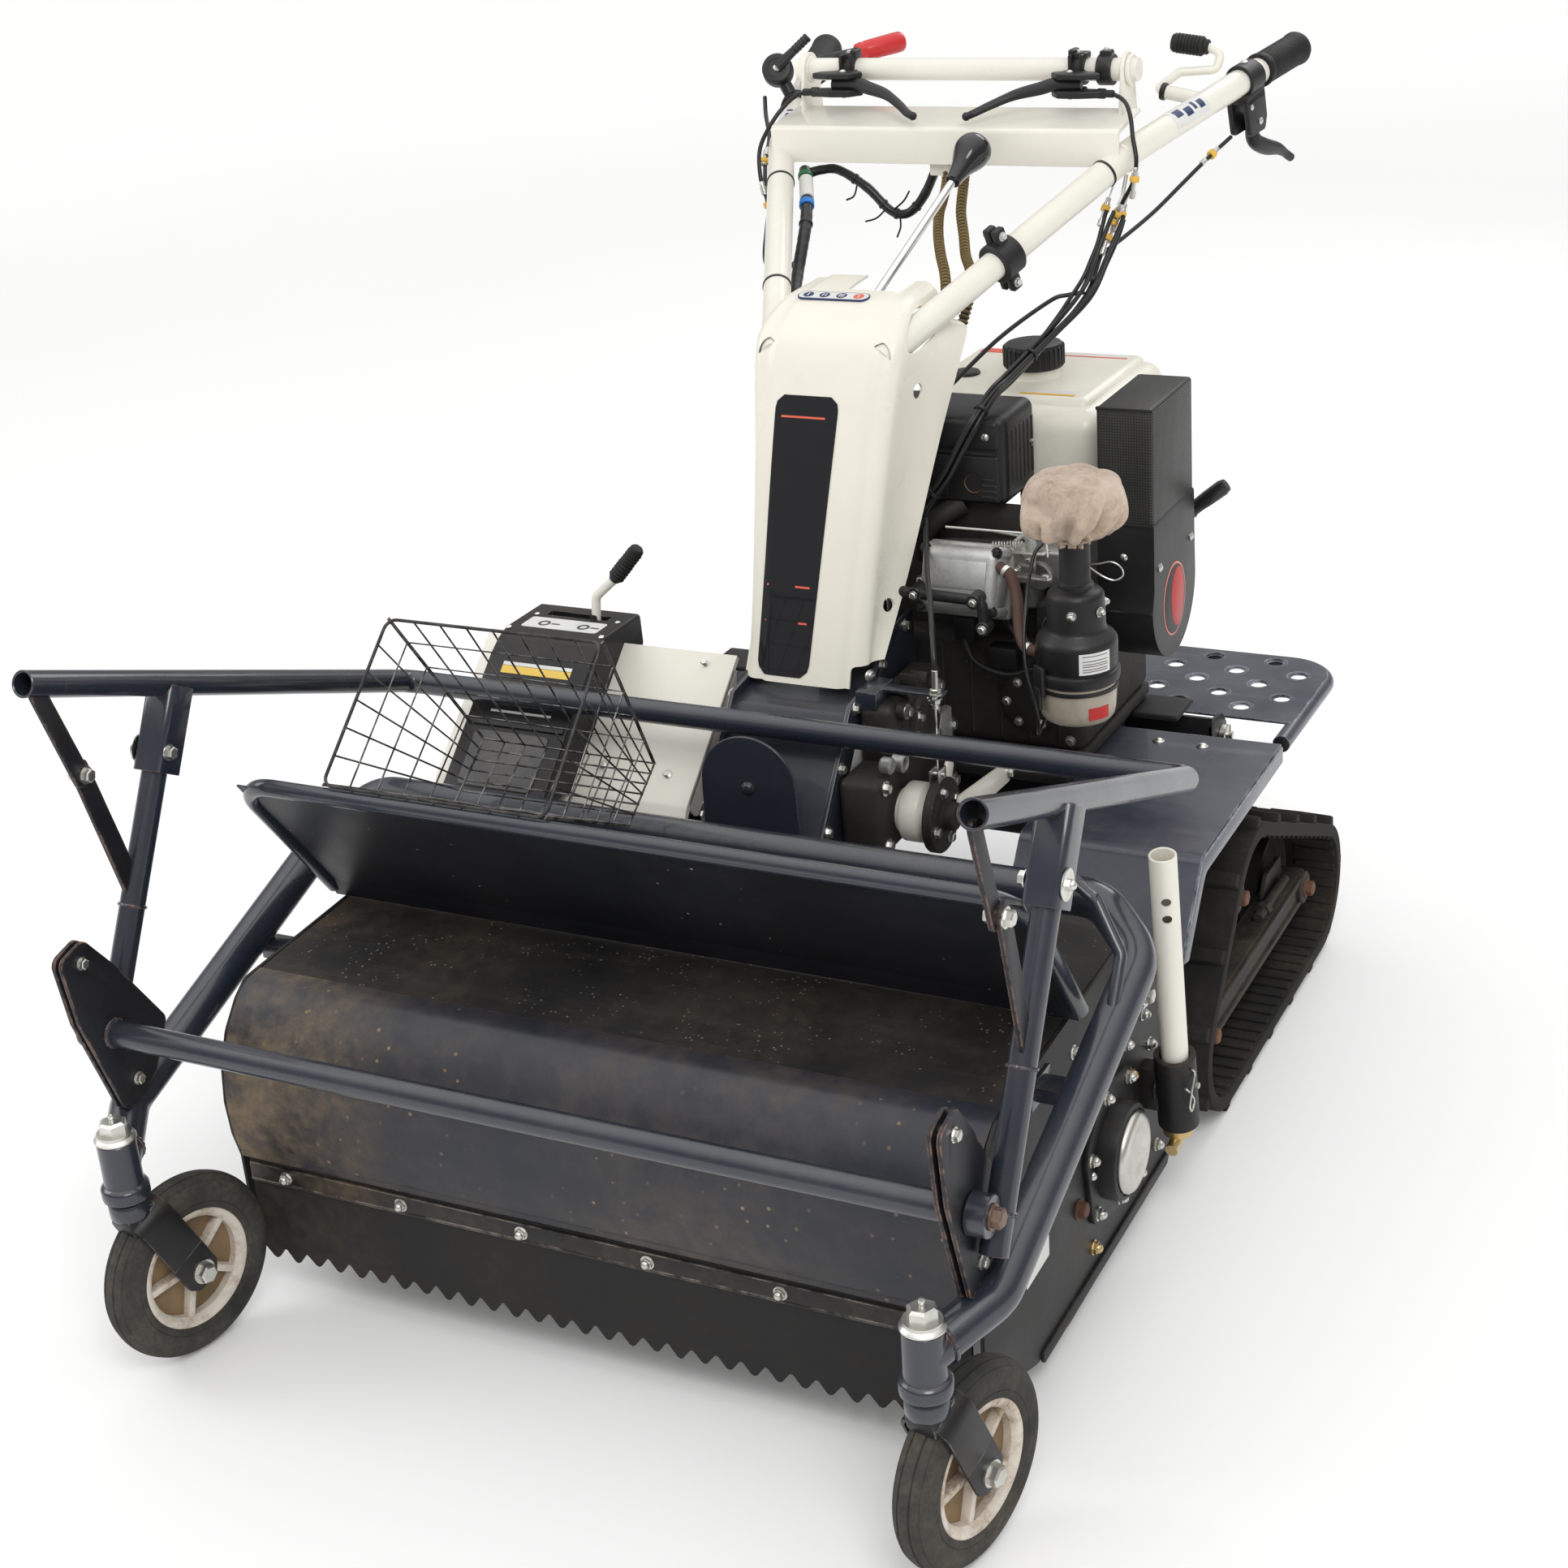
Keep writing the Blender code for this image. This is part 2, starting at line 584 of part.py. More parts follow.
sleeve = rod((FRAME_X - 0.0105, BAR_Y, BAR_Z), (FRAME_X + 0.0095, BAR_Y, BAR_Z), 0.0200, 14)
strut_joint = (0.096, 0.643)
upper_strut = seen_side([(0.043, 0.752), (0.066, 0.748), (strut_joint[0] + 0.012, strut_joint[1] - 0.012),
                         (strut_joint[0] - 0.012, strut_joint[1] - 0.010)], GUARD_X - 0.006,
                        GUARD_X - 0.001)
lower_strut = seen_side([(strut_joint[0] - 0.013, strut_joint[1] + 0.012),
                         (strut_joint[0] + 0.010, strut_joint[1] + 0.014),
                         (0.156, 0.482), (0.132, 0.476)], GUARD_X - 0.002, GUARD_X + 0.004)
strut_bolt = rod((GUARD_X - 0.014, *strut_joint), (GUARD_X + 0.013, *strut_joint), 0.0080, 6)
guard_side = joined(leg, channel, channel_bolt, channel_washer, upper_strut, lower_strut, strut_bolt)
guard_side = joined(guard_side, sleeve)
clear_pin = rod((FRAME_X - 0.027, BAR_Y, BAR_Z), (FRAME_X + 0.033, BAR_Y, BAR_Z), 0.0085 + RUNNING, 12)
clear_nut = rod((FRAME_X + 0.0097, BAR_Y, BAR_Z), (FRAME_X + 0.033, BAR_Y, BAR_Z), 0.0142, 12)
guard_side = cut(guard_side, clear_pin, clear_nut)
guard = joined(hoop_tube, guard_side, mirrored(guard_side))
part("guard", cut(guard, open_end, mirrored(open_end)), NAVY, (0, BAR_Y, BAR_Z))

# Deflector panel: a folded sheet in a bent round frame
panel_half = DECK_HALF + 0.016
panel_line = [(0.268, 0.565), (0.392, 0.398), (0.404, plate_top(0.404) + 0.0019)]
panel_sheet = seen_side(ribbon(panel_line, 0.0022), -panel_half, panel_half)
panel_route = [(panel_half, 0.402, 0.384), (panel_half, 0.268, 0.566), (-panel_half, 0.268, 0.566),
               (-panel_half, 0.402, 0.384)]
panel_frame = tube(eased(panel_route, 0.045, 3, closed=False), PANEL_TUBE, 2)
part("deflector_panel", joined(panel_frame, panel_sheet), BLACK)

# Wire basket behind the panel: an open box of crossed wires
basket_rim = [Vector((-0.332, 0.268, 0.5786)), Vector((-0.062, 0.268, 0.5786)),
              Vector((-0.062, 0.408, 0.713)), Vector((-0.332, 0.418, 0.708))]
basket_floor = [Vector((-0.296, 0.446, 0.486)), Vector((-0.076, 0.446, 0.488)),
                Vector((-0.076, 0.510, 0.533)), Vector((-0.296, 0.514, 0.533))]


def basket_point(u, v, w):
    def blend(corners):
        low = corners[0].lerp(corners[1], u)
        high = corners[3].lerp(corners[2], u)
        return low.lerp(high, v)
    return blend(basket_rim).lerp(blend(basket_floor), w)


work = bmesh.new()
bmesh.ops.create_cube(work, size=1.0)
lid = [face for face in work.faces if face.normal.z > 0.9]
bmesh.ops.delete(work, geom=lid, context="FACES")
for axis, count in ((0, BASKET_ACROSS), (1, BASKET_ALONG), (2, BASKET_DEEP)):
    for step in range(1, count):
        point = Vector((0, 0, 0))
        point[axis] = step / count - 0.5
        normal = Vector((0, 0, 0))
        normal[axis] = 1
        bmesh.ops.bisect_plane(work, geom=work.verts[:] + work.edges[:] + work.faces[:], plane_co=point,
                               plane_no=normal)
for vert in work.verts:
    vert.co = basket_point(vert.co.x + 0.5, vert.co.y + 0.5, 0.5 - vert.co.z)
basket = bpy.data.meshes.new("basket")
work.to_mesh(basket)
work.free()
basket_item = put(basket)
wires = basket_item.modifiers.new("wires", "WIREFRAME")
wires.thickness = BASKET_WIRE
wires.use_even_offset = False
wires.use_boundary = True
part("wire_basket", tidy(take(basket_item)), BLACK)

# Rotor direction switch: a sloped column with a slotted top and a lever
box_profile = [(0.565, 0.425), (0.570, 0.440), (0.702, 0.556), (0.722, 0.569), (0.742, 0.576),
               (0.826, 0.576),
               (0.828, 0.535), (0.790, 0.515), (0.785, 0.425)]
switch_box = seen_side(box_profile, -DECK_HALF + 0.025, -0.264)
lever_foot = (-0.310, 0.795, 0.550)
slot = box((-0.375, lever_foot[1] - 0.0066, 0.545), (-0.290, lever_foot[1] + 0.0074, 0.620))
part("switch_box", cut(bevelled(switch_box, 0.003, 1), slot), BLACK)
lever = tube(eased([lever_foot, (-0.306, 0.796, 0.603), (-0.278, 0.799, 0.628)], 0.012, 3, closed=False),
             0.0058, 2)
lever_grip = turned([(0.0, 0.0), (0.007, 0.0), (0.0095, 0.015), (0.0100, 0.050), (0.007, 0.055),
                     (0.0, 0.055)],
                    (-0.280, 0.799, 0.626), (-0.2435, 0.801, 0.668), 12)
part("switch_lever", joined(lever, lever_grip), BLACK, lever_foot)

# Cream belt cover that frames the switch column on both sides
cover_foot = 0.3775 + GAP
cover_slope = [(0.606, cover_foot), (0.611, cover_foot), (0.640, 0.420), (0.785, 0.548), (0.7805, 0.554),
               (0.632, 0.424)]
left_strip = seen_side(cover_slope, -0.264 + GAP, -0.112)
right_strip = seen_side(cover_slope, -DECK_HALF - 0.024, -DECK_HALF + 0.015)
foot_strip = seen_side([(0.606, cover_foot), (0.611, cover_foot), (0.638, 0.417), (0.631, 0.419)],
                       -DECK_HALF - 0.002, -0.200)
part("belt_cover", joined(left_strip, right_strip, foot_strip), CREAM)

# Centre case, its rounded front plate, gearbox and clutch drum
case_profile = [(0.586, plate_top(0.586) + GAP), (0.600, 0.420), (0.690, 0.537), (0.750, 0.545),
                (0.800, 0.580),
                (0.868, 0.590),
                (0.868, 0.3865), (0.618, 0.3865), (0.609, plate_top(0.609) + GAP)]
case = seen_side(case_profile, -0.076, 0.076)
mast = box((-0.045, 0.832, 0.570), (0.045, 0.866, 0.8717))
part("centre_case", joined(case, mast), NAVY)
lobe_foot = plate_top(0.5795) + GAP
lobe = [(-0.060, lobe_foot), (0.062, lobe_foot)] + circle((0.001, 0.490), 0.058, 12, 0.0, 180.0)
part("front_plate", seen_front(lobe, 0.5755, 0.5795), NAVY)
gearbox = joined(box((0.0765, 0.640, 0.3865), (0.128, 0.860, 0.480), 0.012, 2),
                 rod((0.070 + 0.008, 0.770, 0.500), (0.134, 0.770, 0.500), 0.045, 16),
                 box((0.078, 0.700, 0.470), (0.120, 0.850, 0.545), 0.010, 1))
part("gearbox", gearbox, CAST)
drum_y = 0.700
drum_z = 0.425
drum = turned([(0.0, 0.0), (0.026, 0.0), (0.026, 0.004), (0.034, 0.008), (0.034, 0.028), (0.028, 0.034),
               (0.030, 0.040),
               (0.043, 0.043), (0.043, 0.051), (0.016, 0.053), (0.016, 0.066), (0.0, 0.066)],
              (0.1283, drum_y, drum_z), (1, drum_y, drum_z), 16)
clevis = box((0.166, drum_y - 0.012, drum_z + 0.036), (0.178, drum_y + 0.012, drum_z + 0.056), 0.003, 1)
part("clutch_drum", joined(drum, clevis), CREAM)

# Cowl: a shaped shell, open behind and below, with a dark panel let into its front
def cowl_solid(inset):
    front = [(-0.083 + inset, 0.500), (0.083 - inset, 0.500), (0.083 - inset, 0.560),
             (0.116 - inset, 0.900),
             (0.078 - inset, 0.957), (0.070 - inset, 0.990), (-0.070 + inset, 0.990),
             (-0.078 + inset, 0.957),
             (-0.116 + inset, 0.900), (-0.083 + inset, 0.560)]
    back = 0.970 + 4 * inset
    side = [(0.721 + inset, 0.553 - inset * 2), (0.825 + inset, 0.905 - inset),
            (0.884 + inset * 0.6, 0.953 - inset),
            (back, 0.960 - inset), (back, 0.905 - 2 * inset), (0.905 + 6 * inset, 0.800),
            (0.828 + 6 * inset, 0.665),
            (0.770 + 6 * inset, 0.590), (0.742 + 6 * inset, 0.553 - inset * 2)]
    return common(seen_side(eased(side, 0.014, 2), -0.20, 0.20),
                  seen_front(eased(front, 0.016, 2), 0.5, 1.2))


cowl_outer = cowl_solid(0.0)
cowl_inner = cowl_solid(0.004)
panel_slope = math.atan2(0.825 - 0.721, 0.905 - 0.553)
panel_place = Matrix.Translation((-0.018, 0.7735, 0.7120)) @ Matrix.Rotation(-panel_slope, 4, "X")
panel_face = eased([(-0.040, -0.160), (0.026, -0.160), (0.044, 0.150), (-0.034, 0.150)], 0.010, 3)
recess_tool = seen_front(eased([(-0.040 - GAP, -0.160 - GAP), (0.026 + GAP, -0.160 - GAP),
                                (0.044 + GAP, 0.150 + GAP),
                                (-0.034 - GAP, 0.150 + GAP)], 0.010, 3), -0.020, 0.0010)
recess_tool.transform(panel_place)
gate = box((-0.040, 0.912, 0.930), (0.085, 0.962, 0.980))
tube_room = rod(HANDLE_LOW, HANDLE_BEND, HANDLE_TUBE + 0.0012, 16)
cowl = cut(cowl_outer, cowl_inner, recess_tool, gate, tube_room, mirrored(tube_room))
part("cowl", cowl, CREAM)
insert = seen_front(panel_face, -0.0015, 0.0010 - GAP)
insert.transform(panel_place)
part("cowl_panel", insert, GLOSS)

# Handlebar: two tubes, a channel between their bends, a bar on two brackets, and lever clamps
handle = tube(eased([HANDLE_LOW, HANDLE_BEND, TUBE_GRIP, TUBE_END], 0.12, 3, closed=False), HANDLE_TUBE, 2)
base = box((-0.062, 0.836, 0.8720), (0.062, 0.880, 0.8900))
cross_y = HANDLE_BEND.y + CROSS_AHEAD
cross_z = HANDLE_BEND.z + CROSS_RISE
channel_profile = [(-0.037, -0.014), (-0.033, -0.014), (-0.033, 0.024), (0.045, 0.036), (0.045, 0.040),
                   (-0.037, 0.029)]
channel_profile = [(HANDLE_BEND.y + y, HANDLE_BEND.z + z) for y, z in channel_profile]
cross = seen_side(channel_profile, -0.224, 0.224)
grip_bar = rod((-0.222, cross_y, cross_z), (0.222, cross_y, cross_z), 0.0136, 12)
ear_foot = HANDLE_BEND.z + 0.030
ear = seen_side([(cross_y - 0.029, ear_foot), (cross_y + 0.029, ear_foot)]
                + circle((cross_y, cross_z), 0.022, 8, 0.0, 180.0), 0.205, 0.209)
pivot_x = 0.147
pivot_y = cross_y - 0.032
pivot_z = cross_z - 0.012
clamp_ring = box((pivot_x - 0.014, cross_y - 0.019, cross_z - 0.019),
                 (pivot_x + 0.014, cross_y + 0.019, cross_z + 0.021),
                 0.004, 1)
clamp_body = box((pivot_x - 0.010, pivot_y - 0.013, pivot_z - 0.0155),
                 (pivot_x + 0.030, cross_y, pivot_z - 0.0063), 0.002, 1)
clamp_top = box((pivot_x - 0.010, pivot_y - 0.013, pivot_z + 0.0063),
                (pivot_x + 0.030, cross_y, pivot_z + 0.0140), 0.002, 1)
clamp_pin = rod((pivot_x, pivot_y, pivot_z - 0.012), (pivot_x, pivot_y, pivot_z + 0.017), 0.0032, 8)
cable_boss = rod((pivot_x + 0.026, pivot_y + 0.004, pivot_z - 0.011),
                 (pivot_x + 0.046, pivot_y - 0.001, pivot_z - 0.011),
                 0.0055, 8)
collar_at = HANDLE_LOW.lerp(HANDLE_BEND, 0.47)
tube_line = (HANDLE_BEND - HANDLE_LOW).normalized()
collar = rod(collar_at - tube_line * 0.016, collar_at + tube_line * 0.016, 0.0245, 16)
collar_ear = box((-0.012, -0.008, -0.040), (0.012, 0.008, 0.040), 0.003, 1)
collar_ear.transform(Matrix.Translation(collar_at) @ tube_line.to_track_quat("Y", "Z").to_matrix().to_4x4())
grip_line = (TUBE_END - TUBE_GRIP).normalized()
trigger_at = TUBE_GRIP - grip_line * 0.004
trigger_body = box((-0.0145, -0.028, -0.068), (0.0155, 0.016, 0.0205), 0.004, 1)
trigger_body.transform(Matrix.Translation(trigger_at) @ grip_line.to_track_quat("Y",
                                                                                "Z").to_matrix().to_4x4())
throttle_at = Vector((-0.290, 1.340, 1.131))
throttle_axis = Vector((0.35, -0.85, 0.38)).normalized()
throttle_body = rod(throttle_at - throttle_axis * 0.014, throttle_at + throttle_axis * 0.006, 0.0200, 14)
throttle_strap = rod((-0.2655, 1.340, 1.0845), throttle_at - throttle_axis * 0.007, 0.0085, 10)
side_post = rod((0.272, 1.370, 1.090), (0.2187, 1.370, 1.10066), 0.0085, 10)
gear_foot = Vector((0.0165, 0.880, 0.9230))
gear_knob = Vector((0.0600, 1.130, 1.0680))
gear_line = (gear_knob - gear_foot).normalized()
foot_edge = gear_foot.y - GEAR_ROD * math.sqrt(1 - gear_line.y ** 2)
gear_seat = box((gear_foot.x - 0.007, gear_foot.y - 0.015, 0.885),
                (gear_foot.x + 0.007, foot_edge - GAP, 0.928))
red_post = rod((-0.268, 1.360, 1.085), (-0.262, 1.375, 1.1245), 0.0085, 10)
half = joined(handle, ear, clamp_ring, clamp_body, clamp_top, clamp_pin, cable_boss)
handlebar = joined(half, mirrored(half), cross, grip_bar, base, collar, collar_ear, trigger_body,
                   throttle_body,
                   throttle_strap, side_post, red_post, gear_seat)
trigger_slot = box((-0.0070, -0.045, -0.095), (0.0080, 0.040, -0.027))
trigger_frame = Matrix.Translation(trigger_at) @ grip_line.to_track_quat("Y", "Z").to_matrix().to_4x4()
trigger_slot.transform(trigger_frame)
part("handlebar", cut(handlebar, trigger_slot), CREAM)

grip_profile = [(0.0, 0.0), (0.0200, 0.0), (0.0205, 0.008), (0.0192, 0.013), (0.0200, 0.082),
                (0.0213, 0.092),
                (0.0195, 0.097), (0.0, 0.097)]
grip_start = TUBE_GRIP + grip_line * 0.022
grip = turned(grip_profile, grip_start, grip_start + grip_line, 16)
grip_bore = rod(grip_start - grip_line * 0.01, TUBE_END + grip_line * 0.0006, HANDLE_TUBE + 0.0010, 12)
grip = cut(grip, grip_bore)
part("grip_left", grip.copy(), RUBBER)
part("grip_right", mirrored(grip), RUBBER)


def squeeze_lever():
    route = [(pivot_x + 0.014, pivot_y + 0.002, pivot_z), (pivot_x - 0.018, pivot_y - 0.001, pivot_z),
             (0.112, pivot_y - 0.006, pivot_z - 0.004), (0.084, pivot_y - 0.016, pivot_z - 0.010),
             (0.060, pivot_y - 0.032, pivot_z - 0.019), (0.044, pivot_y - 0.046, pivot_z - 0.026),
             (0.034, pivot_y - 0.050, pivot_z - 0.030)]
    shape = tube(route, 0.0058, 1, [0.9, 1.0, 1.0, 0.95, 0.85, 0.8, 1.1])
    hole = rod((pivot_x, pivot_y, pivot_z - 0.02), (pivot_x, pivot_y, pivot_z + 0.02), 0.0032 + RUNNING, 8)
    return cut(shape, hole)


lever_shape = squeeze_lever()
part("steering_lever_left", lever_shape.copy(), BLACK, (pivot_x, pivot_y, pivot_z))
part("steering_lever_right", mirrored(lever_shape), BLACK, (-pivot_x, pivot_y, pivot_z))

trigger_pivot = trigger_frame @ Vector((0, -0.002, -0.052))
trigger_points = [(0, 0.010, -0.050), (0, 0.002, -0.062), (0, 0.006, -0.080), (0, 0.030, -0.096),
                  (0, 0.062, -0.110),
                  (0, 0.090, -0.130)]
trigger = tube([trigger_frame @ Vector(p) for p in trigger_points], 0.0055, 1,
               [1.0, 1.1, 1.1, 1.0, 1.0, 0.9])
part("trigger", trigger, BLACK, tuple(trigger_pivot))

throttle_face = throttle_at + throttle_axis * (0.006 + GAP)
throttle_disc = rod(throttle_face, throttle_face + throttle_axis * 0.006, 0.0185, 14)
arm_from = throttle_face + throttle_axis * 0.0065
arm_tip = Vector((-0.247, 1.345, 1.174))
arm_tip += throttle_axis * (0.0065 + 0.004 - (arm_tip - throttle_face).dot(throttle_axis))
throttle_arm = tube([arm_from, arm_from.lerp(arm_tip, 0.35), arm_from.lerp(arm_tip, 0.70), arm_tip],
                    0.0062, 1, [1.0, 1.0, 0.9, 1.15])
part("throttle_lever", joined(throttle_disc, throttle_arm), BLACK, tuple(throttle_face))

side_foot = Vector((0.2170, 1.370, 1.1010))
side_arm = tube(eased([side_foot, (0.2080, 1.372, 1.104), (0.228, 1.395, 1.120), (0.268, 1.415, 1.120),
                       (0.272, 1.422, 1.138), (0.255, 1.421, 1.146)], 0.008, 2, closed=False), 0.0052, 2)
side_grip = turned([(0.0, 0.0), (0.007, 0.0), (0.0120, 0.010), (0.0125, 0.042), (0.009, 0.047),
                    (0.0, 0.047)],
                   (0.257, 1.4212, 1.1455), (0.209, 1.420, 1.152), 12)
part("side_lever", joined(side_arm, side_grip), BLACK, tuple(side_foot))

red_foot = Vector((-0.2619, 1.3753, 1.1250))
red_arm = tube(eased([red_foot, (-0.2610, 1.378, 1.133), (-0.235, 1.395, 1.138), (-0.212, 1.424, 1.140)],
                     0.006, 2,
                     closed=False), 0.0070, 2)
red_grip = turned([(0.0, 0.0), (0.010, 0.0), (0.0125, 0.008), (0.0135, 0.060), (0.010, 0.068),
                   (0.0, 0.068)],
                  (-0.215, 1.420, 1.1395), (-0.172, 1.470, 1.147), 10)
part("red_lever", joined(red_arm, red_grip), RED, tuple(red_foot))

# Control cables on the left, gathered in a bundle that runs down over the engine
bundle_route = smooth([(0.213, 1.196, 0.988), (0.205, 1.165, 0.945), (0.194, 1.140, 0.909),
                       (0.168, 1.080, 0.869),
                       (0.152, 1.000, 0.842), (0.148, 0.952, 0.833), (0.138, 0.917, 0.806),
                       (0.112, 0.902, 0.752),
                       (0.086, 0.892, 0.715), (0.070, 0.884, 0.676)], 0.017)
bundle = tube(bundle_route, BUNDLE, 2)
trigger_cable = tube(smooth([(0.2870, 1.4130, 1.0400), (0.271, 1.370, 1.022), (0.254, 1.320, 1.000),
                             (0.237, 1.270, 0.978),
                             (0.222, 1.215, 0.962), (0.206, 1.168, 0.948)], 0.018), CABLE, 1)
squeeze_cable = tube(smooth([(0.1938, 1.2309, 1.1210), (0.206, 1.2290, 1.1195), (0.219, 1.223, 1.112),
                             (0.229, 1.210, 1.097), (0.236, 1.196, 1.078), (0.243, 1.187, 1.054),
                             (0.240, 1.184, 1.030),
                             (0.226, 1.188, 1.006), (0.2115, 1.192, 0.980)], 0.010), CABLE, 1)
engine_cable = tube(smooth([(0.194, 1.140, 0.909), (0.176, 1.131, 0.907), (0.158, 1.118, 0.902),
                            (0.119, 1.050, 0.872),
                            (0.084, 0.970, 0.830), (0.074, 0.925, 0.818)], 0.016), CABLE, 1)
part("cable_bundle", joined(bundle, trigger_cable, squeeze_cable, engine_cable), RUBBER)

# Wiring on the right: a trunk, a loop to a connector block, two ribbed conduits and two cables
trunk = tube(smooth([(-0.187, 1.192, 1.034), (-0.166, 1.150, 1.014), (-0.149, 1.110, 0.991),
                     (-0.140, 1.080, 0.972),
                     (-0.130, 1.040, 0.943), (-0.116, 1.000, 0.923), (-0.098, 0.980, 0.903),
                     (-0.074, 0.952, 0.872),
                     (-0.056, 0.915, 0.838)], 0.018), 0.0075, 2)
loop = tube(smooth([(-0.184, 1.188, 1.030), (-0.165, 1.196, 1.034), (-0.144, 1.200, 1.033),
                    (-0.108, 1.200, 1.013),
                    (-0.080, 1.200, 0.987), (-0.062, 1.200, 0.981), (-0.046, 1.200, 0.988),
                    (-0.030, 1.201, 1.008),
                    (-0.014, 1.202, 1.040)], 0.012), 0.0055, 2)
block = box((-0.026, 1.188, 1.030), (0.034, 1.216, 1.0838))
conduits = []
for route in ([(0.000, 1.201, 1.036), (0.005, 1.182, 1.019), (0.011, 1.155, 1.007), (0.017, 1.130, 0.998),
               (0.030, 1.095, 0.982),
               (0.047, 1.060, 0.966), (0.064, 1.030, 0.952), (0.076, 1.003, 0.936), (0.078, 0.985, 0.916),
               (0.076, 0.970, 0.895)],
              [(0.022, 1.204, 1.038), (0.027, 1.184, 1.021), (0.034, 1.160, 1.008), (0.041, 1.140, 0.996),
               (0.056, 1.110, 0.978),
               (0.070, 1.080, 0.962), (0.085, 1.055, 0.953), (0.098, 1.030, 0.943), (0.101, 1.008, 0.925),
               (0.099, 0.990, 0.900)]):
    ribs = smooth(route, RIB)
    conduits.append(tube(ribs, CONDUIT, 2, [1.0 if i % 2 else 0.80 for i in range(len(ribs))]))
right_squeeze = tube(smooth([(-0.1938, 1.2309, 1.1210), (-0.206, 1.2290, 1.1195), (-0.220, 1.222, 1.110),
                             (-0.234, 1.206, 1.090), (-0.246, 1.190, 1.060), (-0.242, 1.178, 1.026),
                             (-0.230, 1.170, 0.994), (-0.224, 1.150, 0.970), (-0.214, 1.120, 0.946),
                             (-0.200, 1.098, 0.936), (-0.175, 1.078, 0.934), (-0.152, 1.064, 0.944),
                             (-0.136, 1.060, 0.957)], 0.011), CABLE, 1)
throttle_cable = tube(smooth([(-0.300, 1.318, 1.100), (-0.286, 1.290, 1.083), (-0.268, 1.260, 1.060),
                              (-0.257, 1.225, 1.042), (-0.246, 1.198, 1.024), (-0.236, 1.176, 1.006)],
                             0.014), CABLE, 1)
part("harness", joined(trunk, loop, block, *conduits, right_squeeze, throttle_cable), RUBBER)

# Gear lever, standing in the gate of the cowl
gear_rod = rod(gear_foot, gear_knob, GEAR_ROD, 10)
knob = turned([(0.0, 0.0), (0.008, 0.0), (0.0105, 0.012), (0.0170, 0.036), (0.0225, 0.050), (0.0215, 0.062),
               (0.0130, 0.071), (0.0, 0.073)], gear_knob - gear_line * 0.048, gear_knob + gear_line, 16)
part("gear_lever", joined(gear_rod, knob), BLACK, tuple(gear_foot))

# Engine: block, rocker cover, muffler cover, tank, cap, fan cover, air cleaner and starter grip
intake_y = 0.8597
head_tilt = Matrix.Rotation(math.radians(-18.0), 4, "X")
head_line = head_tilt @ Vector((0, 1, 0))
head_face = Vector((0.150, 0.875, 0.640))
block = joined(box((-0.020, 0.905, 0.4105), (0.268, 1.140, 0.560), 0.012, 1),
               box((0.010, 0.930, 0.540), (0.268, 1.130, 0.640), 0.010, 1),
               rod(head_face, head_face + head_line * 0.13, 0.050, 12),
               box((0.2300, intake_y + GAP, 0.5760), (0.2660, 0.9600, 0.6240), 0.004, 1),
               box((0.1300, 1.0750, 0.6300), (0.1700, 1.1150, TANK_BOTTOM - GAP)))
part("engine_block", block, CAST)
rocker = box((-0.052, -0.050 + GAP, -0.042), (0.052, -GAP, 0.042), 0.010, 2)
rocker.transform(Matrix.Translation(head_face) @ head_tilt)
part("rocker_cover", rocker, SILVER)
muffler = box((-0.080, 0.935, 0.7055), (0.168, 1.0365, 0.812), 0.010, 2)
part("muffler_cover", muffler, BLACK)
tank_low = box((-0.020, 1.0370, TANK_BOTTOM), (0.2440, 1.298, 0.800), 0.024, 3)
tank_neck = rod((0.120, 1.160, 0.790), (0.120, 1.160, 0.812), 0.030, 16)
part("fuel_tank", joined(tank_low, tank_neck), CREAM)
cap = turned([(0.0, 0.0), (0.036, 0.0), (0.0375, 0.004), (0.0365, 0.026), (0.030, 0.031), (0.0, 0.031)],
             (0.120, 1.160, 0.812 + GAP), (0.120, 1.160, 1.0), 20)
part("fuel_cap", cap, BLACK, (0.120, 1.160, 0.812 + GAP))
fan_profile = [(0.962, 0.825), (0.962, 0.610), (0.955, 0.585)] + circle((1.034, 0.590), 0.079, 8, 182.0,
                                                                        176.0)
fan_profile += [(1.110, 0.640), (1.107, 0.825)]
fan_cover = bevelled(seen_side(fan_profile, 0.2685, 0.336), 0.006, 2)
part("fan_cover", fan_cover, BLACK)
starter_eye = Vector((0.318, 1.1155, 0.640))
starter_line = Vector((0.30, 0.80, 0.52)).normalized()
starter_bar = starter_eye + starter_line * 0.020
starter = joined(rod(starter_eye, starter_eye + starter_line * 0.022, 0.0080, 10),
                 rod(starter_bar + Vector((-0.004, 0.004, 0.000)),
                     starter_bar + Vector((0.042, 0.010, 0.036)), 0.0098, 10))
part("starter_grip", starter, BLACK, tuple(starter_eye))

